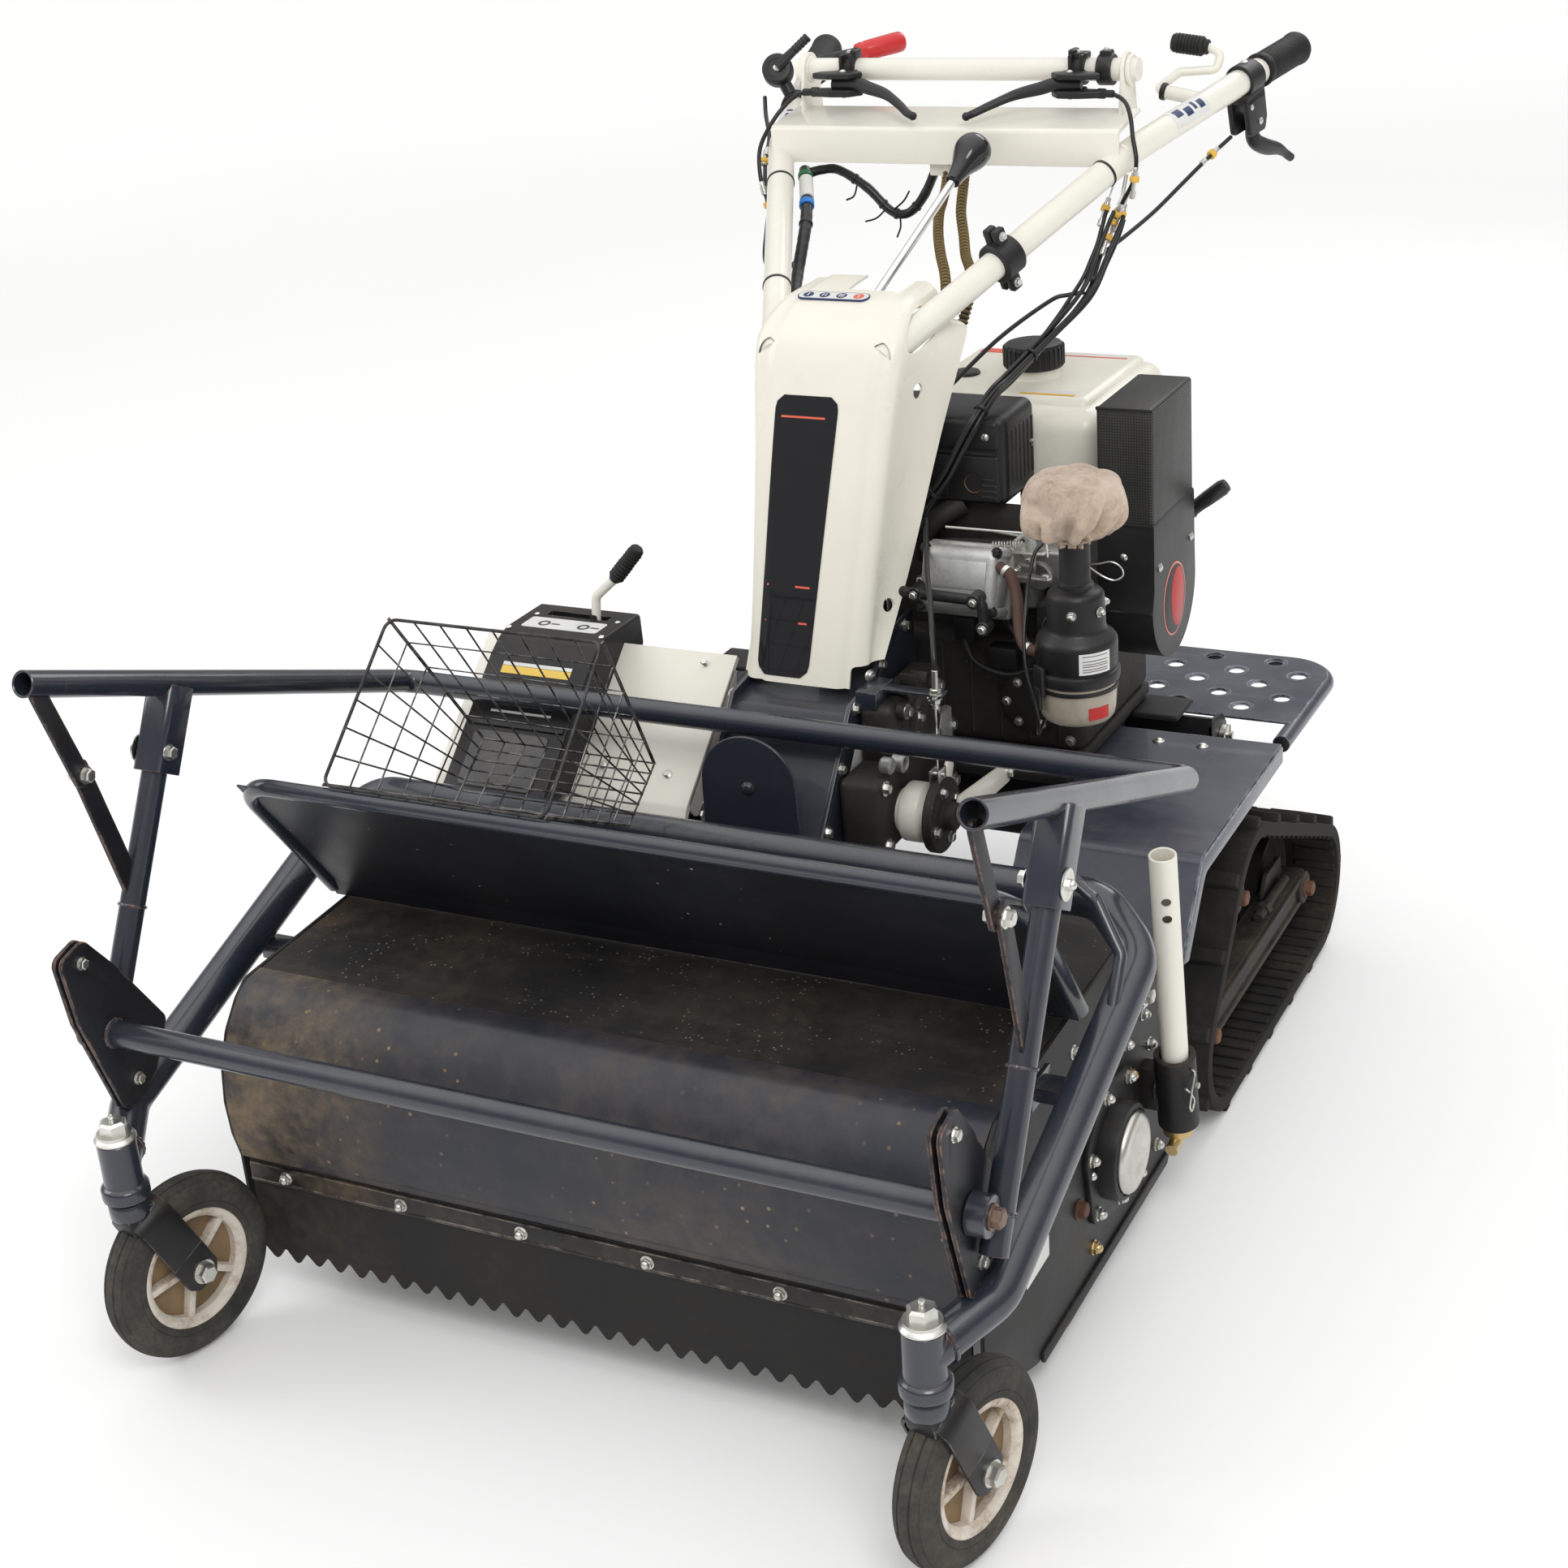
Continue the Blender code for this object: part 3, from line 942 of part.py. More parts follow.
air_x = 0.301
air_y = 0.800
cleaner = turned([(0.0, 0.0), (0.044, 0.0), (0.0475, 0.004), (0.0475, 0.014), (0.0450, 0.018),
                  (0.0455, 0.048),
                  (0.0330, 0.058), (0.0315, 0.098), (0.0260, 0.105), (0.0170, 0.107), (0.0170, 0.1647),
                  (0.0, 0.1647)],
                 (air_x, air_y, 0.5653), (air_x, air_y, 1.0), 18)
elbow = rod((air_x - 0.020, air_y + 0.030, 0.590), (air_x - 0.037, intake_y - 0.015, 0.600), 0.018, 10)
elbow_end = rod((air_x - 0.039, intake_y - 0.020, 0.600), (air_x - 0.039, intake_y, 0.600), 0.018, 10)
part("air_cleaner", joined(cleaner, elbow, elbow_end), BLACK)
bowl = turned([(0.0, 0.0), (0.034, 0.0), (0.041, 0.006), (0.0435, 0.030), (0.0435, 0.0470), (0.0, 0.0470)],
              (air_x, air_y, 0.5180), (air_x, air_y, 1.0), 18)
part("dust_bowl", bowl, PALE)
cloth = turned([(0.0, 0.0), (0.026, 0.0), (0.044, 0.014), (0.055, 0.034), (0.055, 0.050), (0.044, 0.066),
                (0.022, 0.074),
                (0.0, 0.075)], (air_x, air_y, 0.7303), (air_x, air_y, 1.0), 20)
part("cloth_cover", cloth, CLOTH)

# Fenders and engine base in one plate, and the folding step behind them
fender_side = [(0.674, 0.302), (0.745, 0.3925), (1.050, 0.3985), (1.050, 0.4025), (0.743, 0.3965),
               (0.671, 0.305)]
left_fender = joined(seen_side(fender_side, 0.250, 0.4630),
                     seen_side([(0.671, 0.300), (0.742, 0.3935), (1.050, 0.3995), (1.050, 0.3790),
                                (0.750, 0.3730),
                                (0.690, 0.2950)], 0.4600, 0.4630))
engine_base = box((-0.260, 0.868 + GAP, 0.3985), (0.260, 1.150, 0.4100))
rear_beam = box((-BEAM_HALF, 0.9200, 0.3000), (BEAM_HALF, 1.150, 0.4000), 0.008, 1)
hub_y, hub_z, _ = WHEELS["sprocket"]
hanger = seen_side([(hub_y - 0.040, 0.310), (hub_y + 0.040, 0.310), (hub_y + 0.022, hub_z - 0.022),
                    (hub_y - 0.022, hub_z - 0.022)], BEAM_HALF - 0.010, BEAM_HALF)
fender_sides = joined(left_fender, mirrored(left_fender), hanger, mirrored(hanger))
part("fenders", joined(fender_sides, engine_base, rear_beam), NAVY)

step_outline = eased([(-0.350, 1.222), (0.426, 1.222), (0.426, 1.440), (-0.350, 1.440)],
                     [0.008, 0.008, 0.060, 0.060], 4)
step_holes = []
for i in range(6):
    for j in range(3):
        if (i + j) % 2 == 0:
            step_holes.append(circle((-0.18 + 0.105 * i, 1.275 + 0.058 * j), 0.0115, 8, 7.0 * i))
step_plate = seen_top(step_outline, STEP_Z, STEP_Z + 0.0035, step_holes)
step_edge = tube(eased([(0.424, 1.180, STEP_Z - 0.008), (0.424, 1.438, STEP_Z - 0.008),
                        (-0.348, 1.438, STEP_Z - 0.008),
                        (-0.348, 1.180, STEP_Z - 0.008)], 0.060, 4, closed=False), 0.0110, 2)
step_hinge = rod((-0.220, 1.190, STEP_Z - 0.008), (0.300, 1.190, STEP_Z - 0.008), 0.0100, 12)
step_arm = box((-0.0110, 1.190, STEP_Z - 0.016), (0.0110, 1.300, STEP_Z + 0.001))
step = joined(step_plate, step_edge, moved(step_arm, Matrix.Translation((-0.10, 0, 0))),
              moved(step_arm, Matrix.Translation((0.250, 0, 0))), step_hinge)
part("rear_step", step, NAVY, (0.0, 1.190, STEP_Z - 0.008))
hinge_plate = seen_side(eased([(1.1503, 0.310), (1.200, 0.310), (1.212, 0.352), (1.196, 0.370),
                               (1.1503, 0.378)], 0.006, 2),
                        0.340, 0.345)
lug_left = joined(box((0.1900, 1.1503, 0.310), (0.3450, 1.156, 0.3800)), hinge_plate,
                  rod((0.3000 + GAP, 1.190, STEP_Z - 0.008), (0.3420, 1.190, STEP_Z - 0.008), 0.0080, 8))
part("step_bracket", lug_left, BLACK)

# Tracks: a belt around three wheels on a rail

def belt_outline(extra):
    circles = [(y, z, radius + extra) for y, z, radius in WHEELS.values()]
    samples = []
    for y, z, radius in circles:
        samples += circle((y, z), radius, 32)
    # convex hull by gift wrapping, kept in order
    points = sorted(set((round(a, 7), round(b, 7)) for a, b in samples))

    def chain(rows):
        line = []
        for row in rows:
            while len(line) > 1 and ((line[-1][0] - line[-2][0]) * (row[1] - line[-2][1])
                                     - (line[-1][1] - line[-2][1]) * (row[0] - line[-2][0])) <= 0:
                line.pop()
            line.append(row)
        return line
    lower = chain(points)
    upper = chain(list(reversed(points)))
    return lower[:-1] + upper[:-1]


belt_low = TRACK_X - TRACK_HALF
belt_high = TRACK_X + TRACK_HALF
belt = seen_side(belt_outline(GAP + BELT), belt_low, belt_high, [belt_outline(GAP)])
part("track_left", belt.copy(), RUBBER)
part("track_right", mirrored(belt), RUBBER)
rail = box((TRACK_X + 0.020, 0.865, 0.078), (TRACK_X + 0.058, 1.300, 0.118), 0.004, 1)
for key, (y, z, radius) in WHEELS.items():
    axle_from = BEAM_HALF + GAP if key == "sprocket" else TRACK_X - 0.060
    rail = joined(rail, rod((TRACK_X + 0.022, y, z), (TRACK_X + 0.064, y, z), 0.0215, 10),
                  rod((axle_from, y, z), (TRACK_X + 0.030, y, z), 0.0090, 8))
rail_post = seen_side([(0.960, 0.110), (1.030, 0.110), (1.010, 0.235), (0.965, 0.235)], TRACK_X + 0.024,
                      TRACK_X + 0.040)
rail = joined(rail, rail_post)
part("track_frame_left", rail.copy(), BLACK)
part("track_frame_right", mirrored(rail), BLACK)
bush = 0.0090 + RUNNING


def track_wheel(name, hub, toothed):
    y, z, radius = hub
    inner = TRACK_X - 0.058
    outer = TRACK_X + 0.0195
    if toothed:
        outline = []
        for i in range(12):
            base_angle = 30.0 * i
            for shift, reach in ((-8, radius - 0.016), (-5, radius - RUNNING), (5, radius - RUNNING),
                                 (8, radius - 0.016)):
                angle = math.radians(base_angle + shift)
                outline.append((y + reach * math.cos(angle), z + reach * math.sin(angle)))
        disc = seen_side(outline, TRACK_X - 0.030, TRACK_X - 0.010, [circle((y, z), bush, 12)])
        ring = cut(rod((inner, y, z), (outer, y, z), 0.030, 16),
                   rod((inner - 0.01, y, z), (outer + 0.01, y, z), bush, 12))
        return joined(disc, ring)
    profile = [(bush, 0.0), (radius - RUNNING, 0.0), (radius - RUNNING, 0.0775), (bush, 0.0775)]
    return turned(profile, (inner, y, z), (1, y, z), 24, closed=True)


for key, title in (("sprocket", "track_sprocket_"), ("front", "track_front_wheel_"),
                   ("rear", "track_rear_wheel_")):
    shape = track_wheel(key, WHEELS[key], key == "sprocket")
    y, z, _ = WHEELS[key]
    part(title + "left", shape.copy(), CAST, (TRACK_X - 0.02, y, z))
    part(title + "right", mirrored(shape), CAST, (-(TRACK_X - 0.02), y, z))
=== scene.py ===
import math

import bmesh
import bpy
from mathutils import Matrix, Vector, noise


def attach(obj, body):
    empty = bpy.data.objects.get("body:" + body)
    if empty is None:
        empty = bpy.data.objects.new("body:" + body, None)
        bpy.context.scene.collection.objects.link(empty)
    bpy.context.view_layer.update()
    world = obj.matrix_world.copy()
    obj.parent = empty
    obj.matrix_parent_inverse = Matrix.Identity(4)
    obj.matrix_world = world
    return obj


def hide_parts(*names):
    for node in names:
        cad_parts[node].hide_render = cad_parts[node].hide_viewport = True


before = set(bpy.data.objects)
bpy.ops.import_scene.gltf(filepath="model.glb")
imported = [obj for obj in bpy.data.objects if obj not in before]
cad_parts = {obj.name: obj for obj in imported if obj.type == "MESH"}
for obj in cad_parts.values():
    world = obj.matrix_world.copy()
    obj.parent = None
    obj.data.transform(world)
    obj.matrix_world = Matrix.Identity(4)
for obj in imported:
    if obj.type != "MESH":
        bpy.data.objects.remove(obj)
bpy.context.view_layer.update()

middleY = 0.7606  # places along the machine are counted from the caster stems, as in the CAD source
print("frame loaded:", len(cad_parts), "nodes")


# Helpers for objects and shaders

def linked(name, data):
    item = bpy.data.objects.new(name, data)
    bpy.context.scene.collection.objects.link(item)
    return item


def newMaterial(name):
    made = bpy.data.materials.new(name)
    made.use_nodes = True
    return made, made.node_tree, made.node_tree.nodes["Principled BSDF"]


def addNode(tree, kind, values=None, **settings):
    node = tree.nodes.new(kind)
    for key, value in settings.items():
        setattr(node, key, value)
    for key, value in (values or {}).items():
        if isinstance(value, bpy.types.NodeSocket):
            tree.links.new(value, node.inputs[key])
        else:
            node.inputs[key].default_value = value
    return node


def noiseOf(tree, place, scale, detail=4.0, roughness=0.55):
    values = {"Vector": place, "Scale": scale, "Detail": detail, "Roughness": roughness}
    return addNode(tree, "ShaderNodeTexNoise", values).outputs["Fac"]


def ramped(tree, value, low, high, first=0.0, last=1.0):
    values = {"Value": value, "From Min": low, "From Max": high, "To Min": first, "To Max": last}
    return addNode(tree, "ShaderNodeMapRange", values).outputs["Result"]


def mathOf(tree, operation, a, b=0.0):
    return addNode(tree, "ShaderNodeMath", {0: a, 1: b}, operation=operation, use_clamp=True).outputs[0]


def mathFree(tree, operation, a, b=0.0):
    return addNode(tree, "ShaderNodeMath", {0: a, 1: b}, operation=operation).outputs[0]


def colorMix(tree, share, a, b):
    return addNode(tree, "ShaderNodeMix", {0: share, 6: a, 7: b}, data_type="RGBA").outputs[2]


def rgba(color):
    return (*color, 1.0)


# Camera and studio

cameraPlace = {"at": (1.214, -2.3976, 1.604), "yaw": -0.486, "pitch": 0.416, "roll": -0.075, "lens": 57.97}
lamps = {"keyLight": {"at": (1.8, -2.6, 3.6), "target": (0, 0, 0.4), "size": 1.9, "power": 62},
         "sideLight": {"at": (-3.2, -1.2, 2.4), "target": (0, 0, 0.5), "size": 1.8, "power": 26},
         "backLight": {"at": (0.6, 3.4, 3.0), "target": (0, 0, 0.6), "size": 2.2, "power": 34}}
skyLight = {"plain": 0.8, "camera": 1.0, "from": 0.4, "to": 0.95, "low": -0.46, "high": 1.0}


def makeCamera(c):
    yaw, pitch, roll = c["yaw"], c["pitch"], c["roll"]
    ahead = Vector((math.sin(yaw) * math.cos(pitch), math.cos(yaw) * math.cos(pitch), -math.sin(pitch)))
    right = Vector((math.cos(yaw), -math.sin(yaw), 0))
    up = right.cross(ahead)
    rightTilted = right * math.cos(roll) + up * math.sin(roll)
    upTilted = up * math.cos(roll) - right * math.sin(roll)
    data = bpy.data.cameras.new("camera")
    data.lens = c["lens"]
    data.sensor_width = 36.0
    data.clip_end = 100.0
    camera = linked("camera", data)
    turn = Matrix((rightTilted, upTilted, -ahead)).transposed().to_4x4()
    camera.matrix_world = Matrix.Translation(c["at"]) @ turn
    bpy.context.scene.camera = camera


def areaLight(name, at, target, size, power):
    data = bpy.data.lights.new(name, "AREA")
    data.shape = "DISK"
    data.size = size
    data.energy = power
    lamp = linked(name, data)
    lamp.location = at
    lamp.rotation_euler = (Vector(target) - Vector(at)).to_track_quat("-Z", "Y").to_euler()


makeCamera(cameraPlace)
bpy.context.scene.view_settings.view_transform = "Standard"
for lampName, lampSettings in lamps.items():
    areaLight(lampName, **lampSettings)


def makeSky(s):
    # an even white sky; mirrored light comes from overhead, as under an open sky
    world = bpy.data.worlds.new("studio")
    world.use_nodes = True
    bpy.context.scene.world = world
    tree = world.node_tree
    rays = addNode(tree, "ShaderNodeLightPath").outputs
    place = addNode(tree, "ShaderNodeTexCoord").outputs["Generated"]
    height = addNode(tree, "ShaderNodeSeparateXYZ", {0: place}).outputs["Z"]
    overhead = ramped(tree, height, s["from"], s["to"], s["low"], s["high"])
    plain = ramped(tree, rays["Is Camera Ray"], 0.0, 1.0, s["plain"], s["camera"])
    strength = addNode(tree, "ShaderNodeMath", {0: rays["Is Glossy Ray"], 1: overhead, 2: plain},
                       operation="MULTIPLY_ADD").outputs[0]
    sky = tree.nodes["Background"]
    sky.inputs["Color"].default_value = (1.0, 1.0, 1.0, 1.0)
    tree.links.new(strength, sky.inputs["Strength"])


makeSky(skyLight)
print("camera and lights made")


# Finishes

def makeFinish(name, color, rough=0.4, metallic=0.0, vary=0.18, grain=(260.0, 0.04), dust=None, wear=None,
               specks=None, streaks=None, coat=0.0, sheen=0.0, gloss=0.32):
    # one procedural finish: colour clouds, fine grain, dust on upward faces, worn edges, specks and streaks
    made, tree, shader = newMaterial(name)
    place = addNode(tree, "ShaderNodeTexCoord").outputs["Object"]
    geometry = addNode(tree, "ShaderNodeNewGeometry")
    clouds = noiseOf(tree, place, 7.0, 6.0, 0.6)
    darker = tuple(c * (1 - vary) for c in color)
    lighter = tuple(min(1.0, c * (1 + vary)) for c in color)
    tint = colorMix(tree, ramped(tree, clouds, 0.3, 0.7), rgba(darker), rgba(lighter))
    fine = noiseOf(tree, place, grain[0], 3.0, 0.6)
    roughness = ramped(tree, clouds, 0.25, 0.75, rough - 0.07, min(1.0, rough + 0.09))
    if streaks:
        stretched = addNode(tree, "ShaderNodeMapping", {"Vector": place, "Scale": streaks["stretch"]}).outputs[0]
        lines = noiseOf(tree, stretched, streaks["scale"], 4.0, 0.65)
        share = ramped(tree, lines, streaks["from"], streaks["to"], 0.0, streaks["amount"])
        tint = colorMix(tree, share, tint, rgba(streaks["color"]))
    if specks:
        cells = addNode(tree, "ShaderNodeTexVoronoi", {"Vector": place, "Scale": specks["scale"]})
        near = ramped(tree, cells.outputs["Distance"], specks["size"], specks["size"] * 0.5)
        picked = ramped(tree, noiseOf(tree, place, specks["scale"] * 0.13, 2.0), 0.48, 0.62)
        share = mathOf(tree, "MULTIPLY", near, mathOf(tree, "MULTIPLY", picked, specks["amount"]))
        tint = colorMix(tree, share, tint, rgba(specks["color"]))
    if dust:
        lift = addNode(tree, "ShaderNodeSeparateXYZ", {0: geometry.outputs["Normal"]}).outputs["Z"]
        facing = ramped(tree, lift, dust.get("from", 0.1), 1.0, dust.get("side", 0.25), 1.0)
        patches = ramped(tree, noiseOf(tree, place, dust.get("scale", 5.0), 8.0, 0.68), dust.get("low", 0.38), 0.72)
        low = addNode(tree, "ShaderNodeSeparateXYZ", {0: place}).outputs["Z"]
        ground = ramped(tree, low, dust.get("reach", 0.35), 0.0, 0.0, dust.get("ground", 0.3))
        broken = ramped(tree, noiseOf(tree, place, dust.get("scale", 5.0) * 9.0, 6.0, 0.7), 0.36, 0.6, 0.35, 1.0)
        patches = mathOf(tree, "MULTIPLY", patches, broken)
        if "right" in dust:
            wide = addNode(tree, "ShaderNodeSeparateXYZ", {0: place}).outputs["X"]
            patches = mathOf(tree, "MULTIPLY", patches, ramped(tree, wide, -0.46, -0.22, 1.0, dust["right"]))
        share = mathOf(tree, "MULTIPLY", facing, patches)
        share = mathOf(tree, "ADD", share, mathOf(tree, "MULTIPLY", ground, patches))
        share = mathOf(tree, "MULTIPLY", share, dust["amount"])
        tint = colorMix(tree, share, tint, rgba(dust["color"]))
        roughness = mathOf(tree, "ADD", roughness, mathOf(tree, "MULTIPLY", share, 0.45))
    metal = metallic
    if wear:
        soft = addNode(tree, "ShaderNodeBevel", {"Radius": wear["width"]}, samples=3).outputs[0]
        flat = geometry.outputs["Normal"]
        dot = addNode(tree, "ShaderNodeVectorMath", {0: soft, 1: flat}, operation="DOT_PRODUCT").outputs["Value"]
        edge = ramped(tree, dot, 0.985, 0.86)
        broken = ramped(tree, noiseOf(tree, place, wear.get("scale", 38.0), 5.0, 0.7), 0.44, 0.6)
        share = mathOf(tree, "MULTIPLY", mathOf(tree, "MULTIPLY", edge, broken), wear["amount"])
        tint = colorMix(tree, share, tint, rgba(wear["color"]))
        if wear.get("bare"):
            metal = mathOf(tree, "ADD", share, metallic)
    tree.links.new(tint, shader.inputs["Base Color"])
    tree.links.new(roughness, shader.inputs["Roughness"])
    if isinstance(metal, bpy.types.NodeSocket):
        tree.links.new(metal, shader.inputs["Metallic"])
    else:
        shader.inputs["Metallic"].default_value = metal
    shader.inputs["Specular IOR Level"].default_value = gloss
    shader.inputs["Coat Weight"].default_value = coat
    shader.inputs["Sheen Weight"].default_value = sheen
    bump = addNode(tree, "ShaderNodeBump", {"Strength": grain[1], "Distance": 0.001, "Height": fine})
    tree.links.new(bump.outputs[0], shader.inputs["Normal"])
    made.diffuse_color = rgba(color)
    return made


soil = (0.155, 0.105, 0.058)
paleDust = (0.33, 0.27, 0.19)
bareSteel = (0.56, 0.55, 0.53)
rust = (0.23, 0.1, 0.05)

navyTube = makeFinish("navyTube", (0.017, 0.022, 0.034), 0.25, vary=0.12, grain=(190.0, 0.05), gloss=0.6,
                      dust={"color": paleDust, "amount": 0.1, "scale": 9.0, "side": 0.15},
                      wear={"width": 0.0016, "color": rust, "amount": 0.75}, coat=0.35)
navySheet = makeFinish("navySheet", (0.016, 0.02, 0.031), 0.34, vary=0.16, grain=(150.0, 0.05), gloss=0.42,
                       dust={"color": paleDust, "amount": 0.12, "scale": 6.0, "side": 0.12},
                       wear={"width": 0.0016, "color": (0.42, 0.44, 0.47), "amount": 0.65}, coat=0.2)
navyFender = makeFinish("navyFender", (0.03, 0.037, 0.058), 0.3, vary=0.18, grain=(120.0, 0.04), gloss=0.55,
                        dust={"color": paleDust, "amount": 0.14, "scale": 7.0, "side": 0.15},
                        streaks={"stretch": (2.0, 26.0, 26.0), "scale": 2.0, "from": 0.58, "to": 0.8,
                                 "color": (0.16, 0.18, 0.24), "amount": 0.35},
                        wear={"width": 0.0022, "color": (0.5, 0.53, 0.6), "amount": 0.9}, coat=0.25)
deckPaint = makeFinish("deckPaint", (0.016, 0.019, 0.029), 0.36, vary=0.18, grain=(140.0, 0.06), gloss=0.45,
                       dust={"color": (0.235, 0.172, 0.104), "amount": 2.3, "scale": 4.6, "low": 0.36, "side": 0.75,
                             "ground": 1.0, "reach": 0.36, "right": 0.1},
                       specks={"scale": 60.0, "size": 0.16, "color": (0.3, 0.2, 0.11), "amount": 0.85},
                       streaks={"stretch": (22.0, 6.0, 1.5), "scale": 1.4, "from": 0.55, "to": 0.85,
                                "color": (0.045, 0.048, 0.056), "amount": 0.35},
                       wear={"width": 0.0015, "color": rust, "amount": 0.5})
dustyTop = makeFinish("dustyTop", (0.019, 0.018, 0.018), 0.58, vary=0.3, grain=(170.0, 0.16),
                      dust={"color": (0.15, 0.108, 0.066), "amount": 1.0, "scale": 5.5, "low": 0.4, "right": 0.32},
                      specks={"scale": 130.0, "size": 0.2, "color": (0.33, 0.26, 0.17), "amount": 0.8},
                      streaks={"stretch": (3.0, 24.0, 8.0), "scale": 1.6, "from": 0.56, "to": 0.8,
                               "color": (0.05, 0.047, 0.044), "amount": 0.6})
blackPaint = makeFinish("blackPaint", (0.01, 0.01, 0.012), 0.4, vary=0.25, grain=(190.0, 0.06),
                        dust={"color": soil, "amount": 0.28, "scale": 8.0, "ground": 0.5, "side": 0.15},
                        wear={"width": 0.0016, "color": bareSteel, "amount": 0.85, "bare": True})
panelPaint = makeFinish("panelPaint", (0.012, 0.013, 0.017), 0.36, vary=0.22, grain=(110.0, 0.06), gloss=0.4,
                        dust={"color": (0.06, 0.06, 0.062), "amount": 0.35, "scale": 6.0, "side": 0.6},
                        specks={"scale": 48.0, "size": 0.1, "color": (0.42, 0.38, 0.33), "amount": 0.9},
                        wear={"width": 0.0014, "color": bareSteel, "amount": 0.8, "bare": True})
creamPaint = makeFinish("creamPaint", (0.8, 0.775, 0.69), 0.33, vary=0.035, grain=(210.0, 0.03),
                        dust={"color": (0.55, 0.47, 0.36), "amount": 0.16, "scale": 10.0, "side": 0.5},
                        specks={"scale": 75.0, "size": 0.07, "color": (0.28, 0.17, 0.1), "amount": 0.65}, coat=0.3)
creamPlastic = makeFinish("creamPlastic", (0.82, 0.79, 0.69), 0.3, vary=0.03, grain=(330.0, 0.035),
                          dust={"color": (0.6, 0.53, 0.42), "amount": 0.14, "scale": 8.0, "side": 0.4},
                          streaks={"stretch": (20.0, 20.0, 3.0), "scale": 1.6, "from": 0.62, "to": 0.85,
                                   "color": (0.58, 0.53, 0.44), "amount": 0.35}, coat=0.2)
dirtyCream = makeFinish("dirtyCream", (0.66, 0.6, 0.52), 0.55, vary=0.1, grain=(160.0, 0.12),
                        dust={"color": (0.24, 0.15, 0.08), "amount": 0.95, "scale": 22.0, "low": 0.44, "side": 0.9,
                              "ground": 0.4})
tyreRubber = makeFinish("tyreRubber", (0.034, 0.034, 0.032), 0.76, vary=0.22, grain=(240.0, 0.22),
                        dust={"color": (0.12, 0.108, 0.086), "amount": 0.75, "scale": 16.0, "side": 0.8, "ground": 0.5},
                        gloss=0.2)
trackRubber = makeFinish("trackRubber", (0.016, 0.0155, 0.015), 0.8, vary=0.3, grain=(170.0, 0.3), gloss=0.2,
                         dust={"color": (0.075, 0.062, 0.044), "amount": 0.55, "scale": 12.0, "side": 0.55,
                               "ground": 0.35})
blackPlastic = makeFinish("blackPlastic", (0.011, 0.011, 0.012), 0.42, vary=0.15, grain=(420.0, 0.16), gloss=0.4,
                          dust={"color": (0.13, 0.115, 0.1), "amount": 0.14, "scale": 14.0, "side": 0.25},
                          wear={"width": 0.001, "color": (0.1, 0.1, 0.1), "amount": 0.6})
gripRubber = makeFinish("gripRubber", (0.012, 0.012, 0.012), 0.58, vary=0.15, grain=(300.0, 0.2),
                        dust={"color": (0.13, 0.115, 0.1), "amount": 0.16, "scale": 20.0, "side": 0.6})
glossBlack = makeFinish("glossBlack", (0.012, 0.012, 0.014), 0.09, vary=0.1, grain=(60.0, 0.008),
                        streaks={"stretch": (3.0, 3.0, 30.0), "scale": 2.2, "from": 0.66, "to": 0.9,
                                 "color": (0.06, 0.06, 0.07), "amount": 0.3}, coat=0.5)
greyDoor = makeFinish("greyDoor", (0.075, 0.078, 0.088), 0.45, vary=0.12, grain=(250.0, 0.07),
                      dust={"color": paleDust, "amount": 0.35, "scale": 9.0, "side": 0.8})
redPlastic = makeFinish("redPlastic", (0.62, 0.03, 0.03), 0.34, vary=0.1, grain=(280.0, 0.06), coat=0.15,
                        dust={"color": (0.4, 0.2, 0.17), "amount": 0.2, "scale": 18.0})
zinc = makeFinish("zinc", (0.66, 0.66, 0.62), 0.3, metallic=1.0, vary=0.14, grain=(420.0, 0.06),
                  dust={"color": (0.3, 0.24, 0.17), "amount": 0.35, "scale": 40.0, "side": 0.7})
chrome = makeFinish("chrome", (0.78, 0.78, 0.77), 0.16, metallic=1.0, vary=0.06, grain=(500.0, 0.02))
brass = makeFinish("brass", (0.62, 0.47, 0.24), 0.38, metallic=1.0, vary=0.15, grain=(380.0, 0.06))
castSilver = makeFinish("castSilver", (0.5, 0.5, 0.485), 0.5, metallic=0.85, vary=0.18, grain=(260.0, 0.22),
                        dust={"color": (0.1, 0.085, 0.07), "amount": 0.55, "scale": 26.0, "side": 0.8})
castDark = makeFinish("castDark", (0.036, 0.034, 0.031), 0.58, metallic=0.45, vary=0.35, grain=(230.0, 0.3),
                      dust={"color": (0.095, 0.078, 0.058), "amount": 0.5, "scale": 18.0, "side": 0.6},
                      specks={"scale": 85.0, "size": 0.2, "color": (0.17, 0.15, 0.12), "amount": 0.5})
castIron = makeFinish("castIron", (0.028, 0.027, 0.026), 0.62, metallic=0.4, vary=0.3, grain=(210.0, 0.28),
                      dust={"color": (0.105, 0.08, 0.054), "amount": 0.6, "scale": 15.0, "side": 0.7})
rustyIron = makeFinish("rustyIron", (0.16, 0.085, 0.055), 0.8, metallic=0.2, vary=0.4, grain=(260.0, 0.35))
wornEdge = makeFinish("wornEdge", (0.2, 0.135, 0.105), 0.42, metallic=0.55, vary=0.35, grain=(220.0, 0.15))
bareWhite = makeFinish("bareWhite", (0.72, 0.72, 0.7), 0.42, vary=0.05, grain=(300.0, 0.02),
                       dust={"color": (0.42, 0.38, 0.32), "amount": 0.3, "scale": 20.0, "side": 0.8})
bareYellow = makeFinish("bareYellow", (0.8, 0.55, 0.1), 0.42, vary=0.06, grain=(300.0, 0.02),
                        dust={"color": (0.42, 0.36, 0.25), "amount": 0.25, "scale": 20.0, "side": 0.8})
bareRed = makeFinish("bareRed", (0.72, 0.13, 0.08), 0.4, vary=0.06, grain=(300.0, 0.02))
